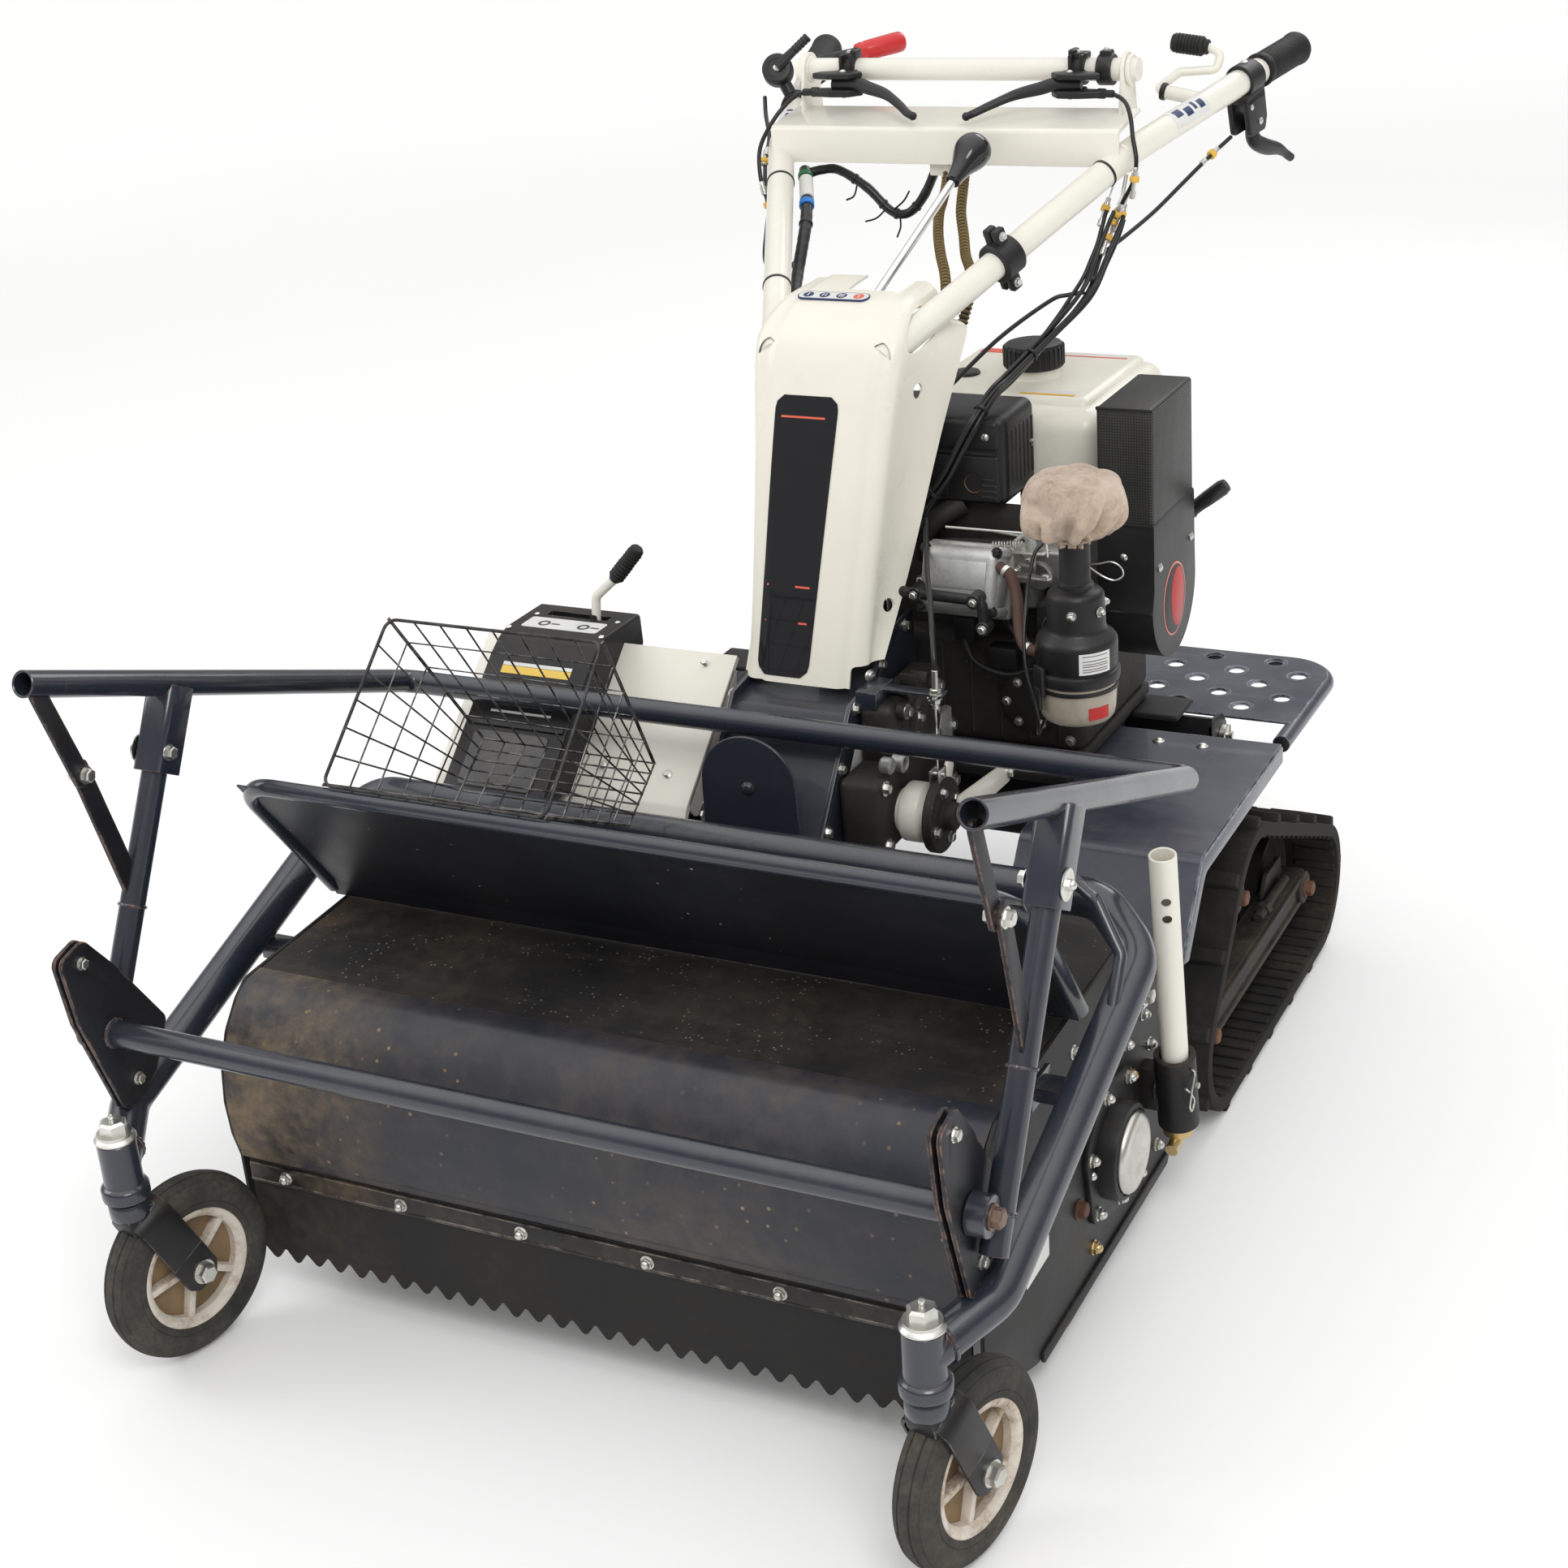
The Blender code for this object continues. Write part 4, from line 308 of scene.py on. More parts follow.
boltYellow = makeFinish("boltYellow", (0.78, 0.46, 0.07), 0.5, vary=0.1, grain=(300.0, 0.05))
bandBlue = makeFinish("bandBlue", (0.03, 0.2, 0.62), 0.45, vary=0.1, grain=(300.0, 0.05))
bandGreen = makeFinish("bandGreen", (0.03, 0.16, 0.07), 0.5, vary=0.1, grain=(300.0, 0.05))
hoseBrown = makeFinish("hoseBrown", (0.09, 0.045, 0.036), 0.55, vary=0.2, grain=(260.0, 0.12))
conduitGold = makeFinish("conduitGold", (0.2, 0.135, 0.045), 0.5, vary=0.25, grain=(240.0, 0.12),
                         dust={"color": (0.09, 0.07, 0.04), "amount": 0.6, "scale": 60.0, "side": 0.8})
cableSleeve = makeFinish("cableSleeve", (0.012, 0.012, 0.013), 0.32, vary=0.12, grain=(300.0, 0.05), coat=0.15)
pinkTint = makeFinish("pinkTint", (0.62, 0.2, 0.15), 0.35, vary=0.12, grain=(200.0, 0.03))
bowlPlastic = makeFinish("bowlPlastic", (0.4, 0.36, 0.29), 0.26, vary=0.1, grain=(120.0, 0.02), coat=0.3,
                         dust={"color": (0.2, 0.15, 0.11), "amount": 0.6, "scale": 16.0, "side": 0.8})
bracketPaint = makeFinish("bracketPaint", (0.012, 0.013, 0.017), 0.42, vary=0.25, grain=(170.0, 0.08),
                          dust={"color": soil, "amount": 0.28, "scale": 12.0, "side": 0.15},
                          wear={"width": 0.0032, "color": (0.38, 0.21, 0.15), "amount": 0.95, "scale": 60.0})
stripPaint = makeFinish("stripPaint", (0.012, 0.012, 0.014), 0.4, vary=0.25, grain=(190.0, 0.08),
                        dust={"color": (0.2, 0.142, 0.082), "amount": 1.6, "scale": 8.0, "side": 0.6, "ground": 0.6,
                              "right": 0.18},
                        wear={"width": 0.0022, "color": (0.62, 0.56, 0.48), "amount": 0.95, "bare": True,
                              "scale": 24.0})
flapRubber = makeFinish("flapRubber", (0.011, 0.011, 0.012), 0.6, vary=0.2, grain=(120.0, 0.14),
                        dust={"color": (0.09, 0.068, 0.045), "amount": 1.1, "right": 0.2, "scale": 7.0, "side": 0.75,
                              "ground": 0.5})
rimSoil = makeFinish("rimSoil", (0.23, 0.155, 0.085), 0.85, vary=0.4, grain=(200.0, 0.35))
knifeSteel = makeFinish("knifeSteel", (0.3, 0.26, 0.22), 0.52, metallic=0.7, vary=0.3, grain=(200.0, 0.2))
bandBlueDark = makeFinish("bandBlueDark", (0.025, 0.04, 0.115), 0.4, vary=0.1, grain=(300.0, 0.03))
soilBlack = makeFinish("soilBlack", (0.01, 0.01, 0.011), 0.46, vary=0.3, grain=(180.0, 0.12),
                       dust={"color": (0.105, 0.082, 0.056), "amount": 0.5, "scale": 9.0, "low": 0.44, "side": 0.25,
                             "ground": 0.35, "reach": 0.4})
railPaint = makeFinish("railPaint", (0.022, 0.019, 0.017), 0.58, vary=0.35, grain=(200.0, 0.2),
                       dust={"color": (0.115, 0.1, 0.068), "amount": 0.75, "scale": 14.0, "low": 0.3, "side": 0.35,
                             "ground": 0.4},
                       specks={"scale": 70.0, "size": 0.22, "color": (0.1, 0.055, 0.035), "amount": 0.6},
                       wear={"width": 0.0018, "color": (0.1, 0.055, 0.035), "amount": 0.7})
clothBeige = makeFinish("clothBeige", (0.56, 0.455, 0.365), 0.95, vary=0.16, grain=(900.0, 0.1), sheen=0.2,
                        dust={"color": (0.2, 0.12, 0.07), "amount": 0.95, "scale": 15.0, "low": 0.34, "side": 0.95})
emblemRed = makeFinish("emblemRed", (0.46, 0.02, 0.018), 0.38, vary=0.08, grain=(300.0, 0.02))
starterBlack = makeFinish("starterBlack", (0.014, 0.014, 0.015), 0.22, vary=0.12, grain=(300.0, 0.04), coat=0.3)


def makeMeshFinish(name, pitch):
    # a fine perforated sheet: rows of round holes on every face, read from the place alone; the holes are painted near
    # black, as painted shade inside the openings
    made, tree, shader = newMaterial(name)
    place = addNode(tree, "ShaderNodeTexCoord").outputs["Object"]
    parts = addNode(tree, "ShaderNodeSeparateXYZ", {0: place})
    waves = [addNode(tree, "ShaderNodeMath", {0: mathFree(tree, "MULTIPLY", parts.outputs[i], 2 * math.pi / pitch)},
                     operation="COSINE").outputs[0] for i in range(3)]
    normal = addNode(tree, "ShaderNodeSeparateXYZ", {0: addNode(tree, "ShaderNodeNewGeometry").outputs["Normal"]})
    total = 0.0
    for wave, axis in zip(waves, range(3)):
        away = mathFree(tree, "SUBTRACT", 1.0, mathFree(tree, "ABSOLUTE", normal.outputs[axis]))
        total = mathFree(tree, "ADD", total, mathFree(tree, "MULTIPLY", wave, away))
    hole = ramped(tree, total, 0.25, 0.85)
    clouds = noiseOf(tree, place, 9.0, 5.0)
    web = colorMix(tree, ramped(tree, clouds, 0.35, 0.7), (0.02, 0.02, 0.02, 1), (0.044, 0.042, 0.038, 1))
    # the holes get near black: painted shade in the openings
    tree.links.new(colorMix(tree, hole, web, (0.003, 0.003, 0.003, 1)), shader.inputs["Base Color"])
    tree.links.new(ramped(tree, hole, 0.0, 1.0, 0.42, 0.9), shader.inputs["Roughness"])
    deep = mathFree(tree, "SUBTRACT", 1.0, hole)
    bump = addNode(tree, "ShaderNodeBump", {"Strength": 0.5, "Distance": 0.0012, "Height": deep})
    tree.links.new(bump.outputs[0], shader.inputs["Normal"])
    made.diffuse_color = (0.03, 0.03, 0.03, 1.0)
    return made


screenBlack = makeMeshFinish("screenBlack", 0.0032)
print("finishes made:", len(bpy.data.materials))


# Shapes, each a mesh with its place in its points

def meshFrom(points, faces, name="shape"):
    mesh = bpy.data.meshes.new(name)
    mesh.from_pydata([tuple(p) for p in points], [], faces)
    return mesh


def shown(item):
    # the plain mesh that an object shows, which takes the object's place
    bpy.context.view_layer.update()
    mesh = bpy.data.meshes.new_from_object(item.evaluated_get(bpy.context.evaluated_depsgraph_get()))
    bpy.data.objects.remove(item, do_unlink=True)
    return mesh


def cleaned(mesh, distance=0.00002):
    work = bmesh.new()
    work.from_mesh(mesh)
    bmesh.ops.remove_doubles(work, verts=work.verts, dist=distance)
    bmesh.ops.recalc_face_normals(work, faces=work.faces)
    work.to_mesh(mesh)
    work.free()
    return mesh


def gathered(*meshes):
    work = bmesh.new()
    for mesh in meshes:
        work.from_mesh(mesh)
    result = bpy.data.meshes.new("gathered")
    work.to_mesh(result)
    work.free()
    return result


def placed(mesh, matrix):
    copy = mesh.copy()
    copy.transform(matrix)
    return copy


def turned(degrees, axis):
    return Matrix.Rotation(math.radians(degrees), 4, axis)


def flipped(mesh):
    copy = mesh.copy()
    copy.transform(Matrix.Diagonal((-1, 1, 1, 1)))
    copy.flip_normals()
    return copy


def bothSides(mesh):
    return gathered(mesh, flipped(mesh))


def forSide(mesh, side):
    return flipped(mesh) if side < 0 else mesh


def withModifier(mesh, kind, **settings):
    item = linked("work", mesh)
    change = item.modifiers.new("change", kind)
    for key, value in settings.items():
        setattr(change, key, value)
    return shown(item)


def softened(mesh, width, segments=2, angle=35.0):
    return withModifier(mesh, "BEVEL", width=width, segments=segments, limit_method="ANGLE",
                        angle_limit=math.radians(angle), harden_normals=False)


def cutBy(mesh, *tools):
    for tool in tools:
        cutter = linked("cutter", tool)
        mesh = withModifier(mesh, "BOOLEAN", operation="DIFFERENCE", solver="EXACT", object=cutter)
        bpy.data.objects.remove(cutter, do_unlink=True)
    return mesh


def frameAlong(start, end):
    start = Vector(start)
    line = Vector(end) - start
    return Matrix.Translation(start) @ line.to_track_quat("Z", "Y").to_matrix().to_4x4(), line.length


def sweep(route, radius, sides=20, radii=None, squash=1.0):
    # a round bar along a route, with closed ends and no twist
    route = [Vector(p) for p in route]
    lines = [(b - a).normalized() for a, b in zip(route, route[1:])]
    across = lines[0].orthogonal().normalized()
    points, faces = [], []
    for i, p in enumerate(route):
        before = lines[max(0, i - 1)]
        after = lines[min(i, len(lines) - 1)]
        ahead = (before + after).normalized()
        across = (across - ahead * across.dot(ahead)).normalized()
        side = ahead.cross(across)
        stretch = 1.0 / max(0.6, before.dot(ahead))
        size = radius * (radii[i] if radii else 1.0)
        bend = after - before
        for k in range(sides):
            angle = 2 * math.pi * k / sides
            arm = across * math.cos(angle) + side * math.sin(angle) * squash
            if bend.length > 1e-4:
                out = bend.normalized()
                arm += out * arm.dot(out) * (stretch - 1.0)
            points.append(p + arm * size)
    for i in range(len(route) - 1):
        for k in range(sides):
            a, b = i * sides + k, i * sides + (k + 1) % sides
            faces.append((a, b, b + sides, a + sides))
    faces.append(tuple(reversed(range(sides))))
    faces.append(tuple(range((len(route) - 1) * sides, len(route) * sides)))
    return meshFrom(points, faces)


def lathe(profile, start, end, steps=40):
    # a profile of (radius, distance) turned about the line from start towards end
    place, _ = frameAlong(start, end)
    points, rings, faces = [], [], []
    for radius, height in profile:
        if radius < 1e-6:
            rings.append([len(points)])
            points.append(Vector((0, 0, height)))
            continue
        rings.append(list(range(len(points), len(points) + steps)))
        for k in range(steps):
            angle = 2 * math.pi * k / steps
            points.append(Vector((radius * math.cos(angle), radius * math.sin(angle), height)))
    closed = len(rings[0]) > 1 and len(rings[-1]) > 1
    pairs = list(zip(rings, rings[1:])) + ([(rings[-1], rings[0])] if closed else [])
    for a, b in pairs:
        if len(a) == 1 and len(b) == 1:
            continue
        for k in range(steps):
            n = (k + 1) % steps
            if len(a) == 1:
                faces.append((a[0], b[n], b[k]))
            elif len(b) == 1:
                faces.append((a[k], a[n], b[0]))
            else:
                faces.append((a[k], a[n], b[n], b[k]))
    mesh = meshFrom(points, faces)
    mesh.transform(place)
    return cleaned(mesh, 0.000005)


def rod(start, end, radius, sides=24, edge=0.0006):
    length = (Vector(end) - Vector(start)).length
    edge = min(edge, radius * 0.4, length * 0.4)
    profile = [(0, 0), (radius - edge, 0), (radius, edge), (radius, length - edge), (radius - edge, length),
               (0, length)]
    return lathe(profile, start, end, sides)


def pipe(start, end, radius, bore, sides=28, edge=0.0006):
    length = (Vector(end) - Vector(start)).length
    profile = [(bore, edge), (bore + edge, 0), (radius - edge, 0), (radius, edge), (radius, length - edge),
               (radius - edge, length), (bore + edge, length), (bore, length - edge)]
    return lathe(profile, start, end, sides)


def block(low, high, edge=0.001, segments=2):
    low, high = Vector(low), Vector(high)
    work = bmesh.new()
    bmesh.ops.create_cube(work, size=1.0)
    mesh = bpy.data.meshes.new("block")
    work.to_mesh(mesh)
    work.free()
    mesh.transform(Matrix.Translation((low + high) / 2) @ Matrix.Diagonal((*(high - low), 1.0)))
    return softened(mesh, edge, segments) if edge else mesh


def plate(outline, thickness, place, holes=(), edge=0.0006, segments=2):
    curve = bpy.data.curves.new("plate", "CURVE")
    curve.dimensions = "2D"
    curve.fill_mode = "BOTH"
    curve.extrude = thickness / 2
    for line in (outline, *holes):
        spline = curve.splines.new("POLY")
        spline.points.add(len(line) - 1)
        for i, point in enumerate(line):
            spline.points[i].co = (point[0], point[1], 0.0, 1.0)
        spline.use_cyclic_u = True
    mesh = shown(linked("plate", curve))
    work = bmesh.new()
    work.from_mesh(mesh)
    bmesh.ops.remove_doubles(work, verts=work.verts, dist=0.00002)
    bmesh.ops.dissolve_limit(work, angle_limit=0.01, verts=work.verts, edges=work.edges)
    bmesh.ops.recalc_face_normals(work, faces=work.faces)
    work.to_mesh(mesh)
    work.free()
    if edge:
        mesh = softened(mesh, edge, segments, 50.0)
    mesh.transform(place)
    return mesh


def sidePlate(outline, xLow, xHigh, holes=(), edge=0.0006, segments=2):
    place = Matrix(((0, 0, 1, (xLow + xHigh) / 2), (1, 0, 0, 0), (0, 1, 0, 0), (0, 0, 0, 1)))
    return plate(outline, xHigh - xLow, place, holes, edge, segments)


def frontPlate(outline, yLow, yHigh, holes=(), edge=0.0006, segments=2):
    place = Matrix(((1, 0, 0, 0), (0, 0, -1, (yLow + yHigh) / 2), (0, 1, 0, 0), (0, 0, 0, 1)))
    return plate(outline, yHigh - yLow, place, holes, edge, segments)


def flatPlate(outline, zLow, zHigh, holes=(), edge=0.0006, segments=2):
    return plate(outline, zHigh - zLow, Matrix.Translation((0, 0, (zLow + zHigh) / 2)), holes, edge, segments)


def corners(a0, b0, a1, b1):
    return [(a0, b0), (a1, b0), (a1, b1), (a0, b1)]


def ring(middle, radius, count=32, start=0.0, turn=360.0):
    steps = count if turn == 360.0 else count + 1
    angles = [math.radians(start + turn * i / count) for i in range(steps)]
    return [(middle[0] + radius * math.cos(a), middle[1] + radius * math.sin(a)) for a in angles]


def rounded(points, radius, steps=8, closed=True):
    # each corner of an outline or a route becomes an arc
    points = [Vector(point) for point in points]
    count = len(points)
    result = []
    for i, corner in enumerate(points):
        if not closed and i in (0, count - 1):
            result.append(tuple(corner))
            continue
        before = points[i - 1] - corner
        after = points[(i + 1) % count] - corner
        size = radius[i] if isinstance(radius, (list, tuple)) else radius
        half = before.angle(after) / 2
        reach = min(size / math.tan(half), 0.49 * before.length, 0.49 * after.length)
        size = reach * math.tan(half)
        if size < 0.0003:
            result.append(tuple(corner))
            continue
        before.normalize()
        after.normalize()
        middle = corner + (before + after).normalized() * (size / math.sin(half))
        first = corner + before * reach - middle
        last = corner + after * reach - middle
        total = first.angle(last)
        for step in range(steps + 1):
            share = step / steps
            arm = first * math.sin((1 - share) * total) + last * math.sin(share * total)
            result.append(tuple(middle + arm / math.sin(total)))
    return result


def flowing(points, spacing):
    # an even row of points on a smooth curve through all the given points
    points = [Vector(point) for point in points]
    ends = [2 * points[0] - points[1]] + points + [2 * points[-1] - points[-2]]
    fine = []
    for i in range(1, len(ends) - 2):
        before, first, last, after = ends[i - 1:i + 3]
        for step in range(24):
            t = step / 24
            straight = 2 * first + (last - before) * t
            square = (2 * before - 5 * first + 4 * last - after) * t * t
            cube = (3 * first - before - 3 * last + after) * t * t * t
            fine.append(0.5 * (straight + square + cube))
    fine.append(points[-1])
    length = sum((b - a).length for a, b in zip(fine, fine[1:]))
    count = max(2, round(length / spacing))
    result = [fine[0]]
    walked = 0.0
    for a, b in zip(fine, fine[1:]):
        step = (b - a).length
        while len(result) < count and walked + step >= length * len(result) / count:
            result.append(a.lerp(b, (length * len(result) / count - walked) / step))
        walked += step
    result.append(fine[-1])
    return result


def sheetEdge(points, thickness):
    # the edge view of a bent sheet: its outer line and the same line moved to its right
    outer = [Vector(point) for point in points]
    inner = []
    for i, point in enumerate(outer):
        sides = []
        if i > 0:
            sides.append((point - outer[i - 1]).normalized())
        if i < len(outer) - 1:
            sides.append((outer[i + 1] - point).normalized())
        normals = [Vector((side.y, -side.x)) for side in sides]
        mean = sum(normals, Vector((0.0, 0.0))).normalized()
        inner.append(point + mean * (thickness / max(0.5, mean.dot(normals[0]))))
    return [tuple(p) for p in outer] + [tuple(p) for p in reversed(inner)]


def piece(name, mesh, finish, body="chassis", replaces=(), angle=34.0):
    # a finished piece: moved from machine to frame coordinates, shaded, and set on its body
    mesh.name = name
    mesh.transform(Matrix.Translation((0, -middleY, 0)))
    mesh.materials.clear()
    mesh.materials.append(finish)
    mesh.shade_smooth()
    mesh.set_sharp_from_angle(angle=math.radians(angle))
    item = linked(name, mesh)
    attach(item, body)
    if replaces:
        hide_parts(*replaces)
    return item


# Geometry Nodes: fastener heads, wires and stamped shapes

def nodeTree(name, sockets):
    tree = bpy.data.node_groups.new(name, "GeometryNodeTree")
    tree.interface.new_socket("Geometry", in_out="INPUT", socket_type="NodeSocketGeometry")
    for title, kind in sockets:
        tree.interface.new_socket(title, in_out="INPUT", socket_type="NodeSocket" + kind)
    tree.interface.new_socket("Geometry", in_out="OUTPUT", socket_type="NodeSocketGeometry")
    return tree, tree.nodes.new("NodeGroupInput"), tree.nodes.new("NodeGroupOutput")


def closeTree(tree, source, result, out):
    real = addNode(tree, "GeometryNodeRealizeInstances", {0: result}).outputs[0]
    done = addNode(tree, "GeometryNodeSetMaterial", {"Geometry": real, "Material": source.outputs["Material"]})
    tree.links.new(done.outputs[0], out.inputs[0])
    return tree


def headTree():
    # a hex, round or domed head on its washer, at each point, along the point's aim
    tree, source, out = nodeTree("fastenerHeads", [("Sides", "Int"), ("Head Height", "Float"), ("Washer", "Float"),
                                                   ("Dome", "Float"), ("Material", "Material")])
    sides, height, washer, dome = (source.outputs[i] for i in (1, 2, 3, 4))
    head = addNode(tree, "GeometryNodeMeshCylinder", {"Vertices": sides, "Radius": 1.0, "Depth": height})
    lift = addNode(tree, "ShaderNodeMath", {0: height, 1: 0.5, 2: 0.2}, operation="MULTIPLY_ADD").outputs[0]
    liftAt = addNode(tree, "ShaderNodeCombineXYZ", {"Z": lift}).outputs[0]
    headUp = addNode(tree, "GeometryNodeTransform", {"Geometry": head.outputs[0], "Translation": liftAt}).outputs[0]
    chamfer = addNode(tree, "GeometryNodeMeshCone", {"Vertices": sides, "Radius Top": 0.78, "Radius Bottom": 1.0,
                                                     "Depth": 0.16})
    capLift = addNode(tree, "ShaderNodeMath", {0: height, 1: 0.2}, operation="ADD").outputs[0]
    capAt = addNode(tree, "ShaderNodeCombineXYZ", {"Z": capLift}).outputs[0]
    capUp = addNode(tree, "GeometryNodeTransform", {"Geometry": chamfer.outputs[0], "Translation": capAt}).outputs[0]
    ball = addNode(tree, "GeometryNodeMeshUVSphere", {"Segments": 20, "Rings": 10, "Radius": 0.8}).outputs[0]
    ballSize = addNode(tree, "ShaderNodeCombineXYZ", {"X": 1.0, "Y": 1.0, "Z": dome}).outputs[0]
    ballUp = addNode(tree, "GeometryNodeTransform", {"Geometry": ball, "Translation": capAt, "Scale": ballSize})
    domed = addNode(tree, "FunctionNodeCompare", {0: dome, 1: 0.01}, data_type="FLOAT", operation="GREATER_THAN")
    ballOrNot = addNode(tree, "GeometryNodeSwitch", {"Switch": domed.outputs[0], "True": ballUp.outputs[0]},
                        input_type="GEOMETRY").outputs[0]
    disc = addNode(tree, "GeometryNodeMeshCylinder", {"Vertices": 24, "Radius": washer, "Depth": 0.2})
    discUp = addNode(tree, "GeometryNodeTransform", {"Geometry": disc.outputs[0], "Translation": (0, 0, 0.1)})
    whole = tree.nodes.new("GeometryNodeJoinGeometry")
    for shape in (headUp, capUp, ballOrNot, discUp.outputs[0]):
        tree.links.new(shape, whole.inputs[0])
    aim = addNode(tree, "GeometryNodeInputNamedAttribute", {"Name": "aim"}, data_type="FLOAT_VECTOR").outputs[0]
    size = addNode(tree, "GeometryNodeInputNamedAttribute", {"Name": "size"}, data_type="FLOAT").outputs[0]
    spin = addNode(tree, "FunctionNodeRandomValue", {0: (0, 0, 0), 1: (0, 0, 6.283), "Seed": 7},
                   data_type="FLOAT_VECTOR").outputs[0]
    spun = addNode(tree, "FunctionNodeEulerToRotation", {0: spin}).outputs[0]
    aimed = addNode(tree, "FunctionNodeAlignRotationToVector", {"Rotation": spun, "Vector": aim}, axis="Z").outputs[0]
    instances = addNode(tree, "GeometryNodeInstanceOnPoints",
                        {"Points": source.outputs[0], "Instance": whole.outputs[0], "Rotation": aimed,
                         "Scale": size}).outputs[0]
    return closeTree(tree, source, instances, out)


def wireTree():
    # round wires along the edges of a mesh
    tree, source, out = nodeTree("wiresOnEdges", [("Wire Radius", "Float"), ("Sides", "Int"), ("Material", "Material")])
    lines = addNode(tree, "GeometryNodeMeshToCurve", {0: source.outputs[0]}).outputs[0]
    ringShape = addNode(tree, "GeometryNodeCurvePrimitiveCircle",
                        {"Resolution": source.outputs[2], "Radius": source.outputs[1]}).outputs[0]
    solid = addNode(tree, "GeometryNodeCurveToMesh", {"Curve": lines, "Profile Curve": ringShape, "Fill Caps": True})
    return closeTree(tree, source, solid.outputs[0], out)


def stampTree():
    # the given small shape at each point, its Z along the point's aim and its X along the point's side
    tree, source, out = nodeTree("stampsOnPoints", [("Stamp", "Object"), ("Material", "Material")])
    shape = addNode(tree, "GeometryNodeObjectInfo", {"Object": source.outputs[1]}).outputs["Geometry"]
    aim = addNode(tree, "GeometryNodeInputNamedAttribute", {"Name": "aim"}, data_type="FLOAT_VECTOR").outputs[0]
    side = addNode(tree, "GeometryNodeInputNamedAttribute", {"Name": "side"}, data_type="FLOAT_VECTOR").outputs[0]
    size = addNode(tree, "GeometryNodeInputNamedAttribute", {"Name": "size"}, data_type="FLOAT").outputs[0]
    first = addNode(tree, "FunctionNodeAlignRotationToVector", {"Vector": aim}, axis="Z").outputs[0]
    second = addNode(tree, "FunctionNodeAlignRotationToVector", {"Rotation": first, "Vector": side}, axis="X",
                     pivot_axis="Z").outputs[0]
    instances = addNode(tree, "GeometryNodeInstanceOnPoints",
                        {"Points": source.outputs[0], "Instance": shape, "Rotation": second,
                         "Scale": size}).outputs[0]
    return closeTree(tree, source, instances, out)


trees = {"heads": headTree(), "wires": wireTree(), "stamps": stampTree()}


def grown(mesh, tree, values):
    # the plain mesh that a node tree makes from a mesh
    item = linked("grown", mesh)
    change = item.modifiers.new("grow", "NODES")
    change.node_group = tree
    for socket in tree.interface.items_tree:
        if socket.in_out == "INPUT" and socket.name in values:
            change[socket.identifier] = values[socket.name]
    return shown(item)


def pointMesh(rows):
    # rows of (place, aim, size) or (place, aim, size, side)
    mesh = bpy.data.meshes.new("points")
    mesh.from_pydata([tuple(row[0]) for row in rows], [], [])
    for title, kind in (("aim", "FLOAT_VECTOR"), ("size", "FLOAT"), ("side", "FLOAT_VECTOR")):
        mesh.attributes.new(title, kind, "POINT")
    for i, row in enumerate(rows):
        mesh.attributes["aim"].data[i].vector = Vector(row[1]).normalized()
        mesh.attributes["size"].data[i].value = row[2]
        mesh.attributes["side"].data[i].vector = Vector(row[3]) if len(row) > 3 else (1, 0, 0)
    return mesh


headKinds = {"hex": {"Sides": 6, "Head Height": 0.75, "Washer": 1.25, "Dome": 0.0},
             "acorn": {"Sides": 6, "Head Height": 0.55, "Washer": 1.2, "Dome": 1.05},
             "round": {"Sides": 24, "Head Height": 0.12, "Washer": 1.02, "Dome": 0.55},
             "flange": {"Sides": 6, "Head Height": 0.7, "Washer": 1.45, "Dome": 0.0},
             "screw": {"Sides": 24, "Head Height": 0.45, "Washer": 1.35, "Dome": 0.28}}


def heads(rows, kind="hex"):
    return grown(pointMesh(rows), trees["heads"], headKinds[kind])


def sideRows(places, x, size):
    # rows for heads on a face across the machine, at (y, z) places
    return [((x, y, z), (1, 0, 0), size) for y, z in places]


def stamps(rows, shape):
    stamp = linked("stamp", shape)
    mesh = grown(pointMesh(rows), trees["stamps"], {"Stamp": stamp})
    bpy.data.objects.remove(stamp, do_unlink=True)
    return mesh


# Floor

floorMaterial, floorTree, floorShader = newMaterial("floorPale")
floorPlace = addNode(floorTree, "ShaderNodeTexCoord").outputs["Object"]
floorTone = colorMix(floorTree, noiseOf(floorTree, floorPlace, 0.8, 2.0), (0.9, 0.9, 0.895, 1), (0.93, 0.93, 0.925, 1))
floorTree.links.new(floorTone, floorShader.inputs["Base Color"])
floorShader.inputs["Roughness"].default_value = 0.9
floorTree.links.new(floorTone, floorShader.inputs["Emission Color"])
floorReach = addNode(floorTree, "ShaderNodeVectorMath", {0: floorPlace}, operation="LENGTH").outputs["Value"]
floorTree.links.new(ramped(floorTree, floorReach, 2.5, 8.0, 0.08, 0.27), floorShader.inputs["Emission Strength"])
floorMesh = meshFrom([(-40, -40, -0.0005), (40, -40, -0.0005), (40, 60, -0.0005), (-40, 60, -0.0005)], [(0, 1, 2, 3)])
floorMesh.materials.append(floorMaterial)
linked("floor", floorMesh)
print("helpers and floor ready")


# Shapes used by several pieces

otherSide = Vector((-1, 1, 1))  # a place times this is its twin across the machine


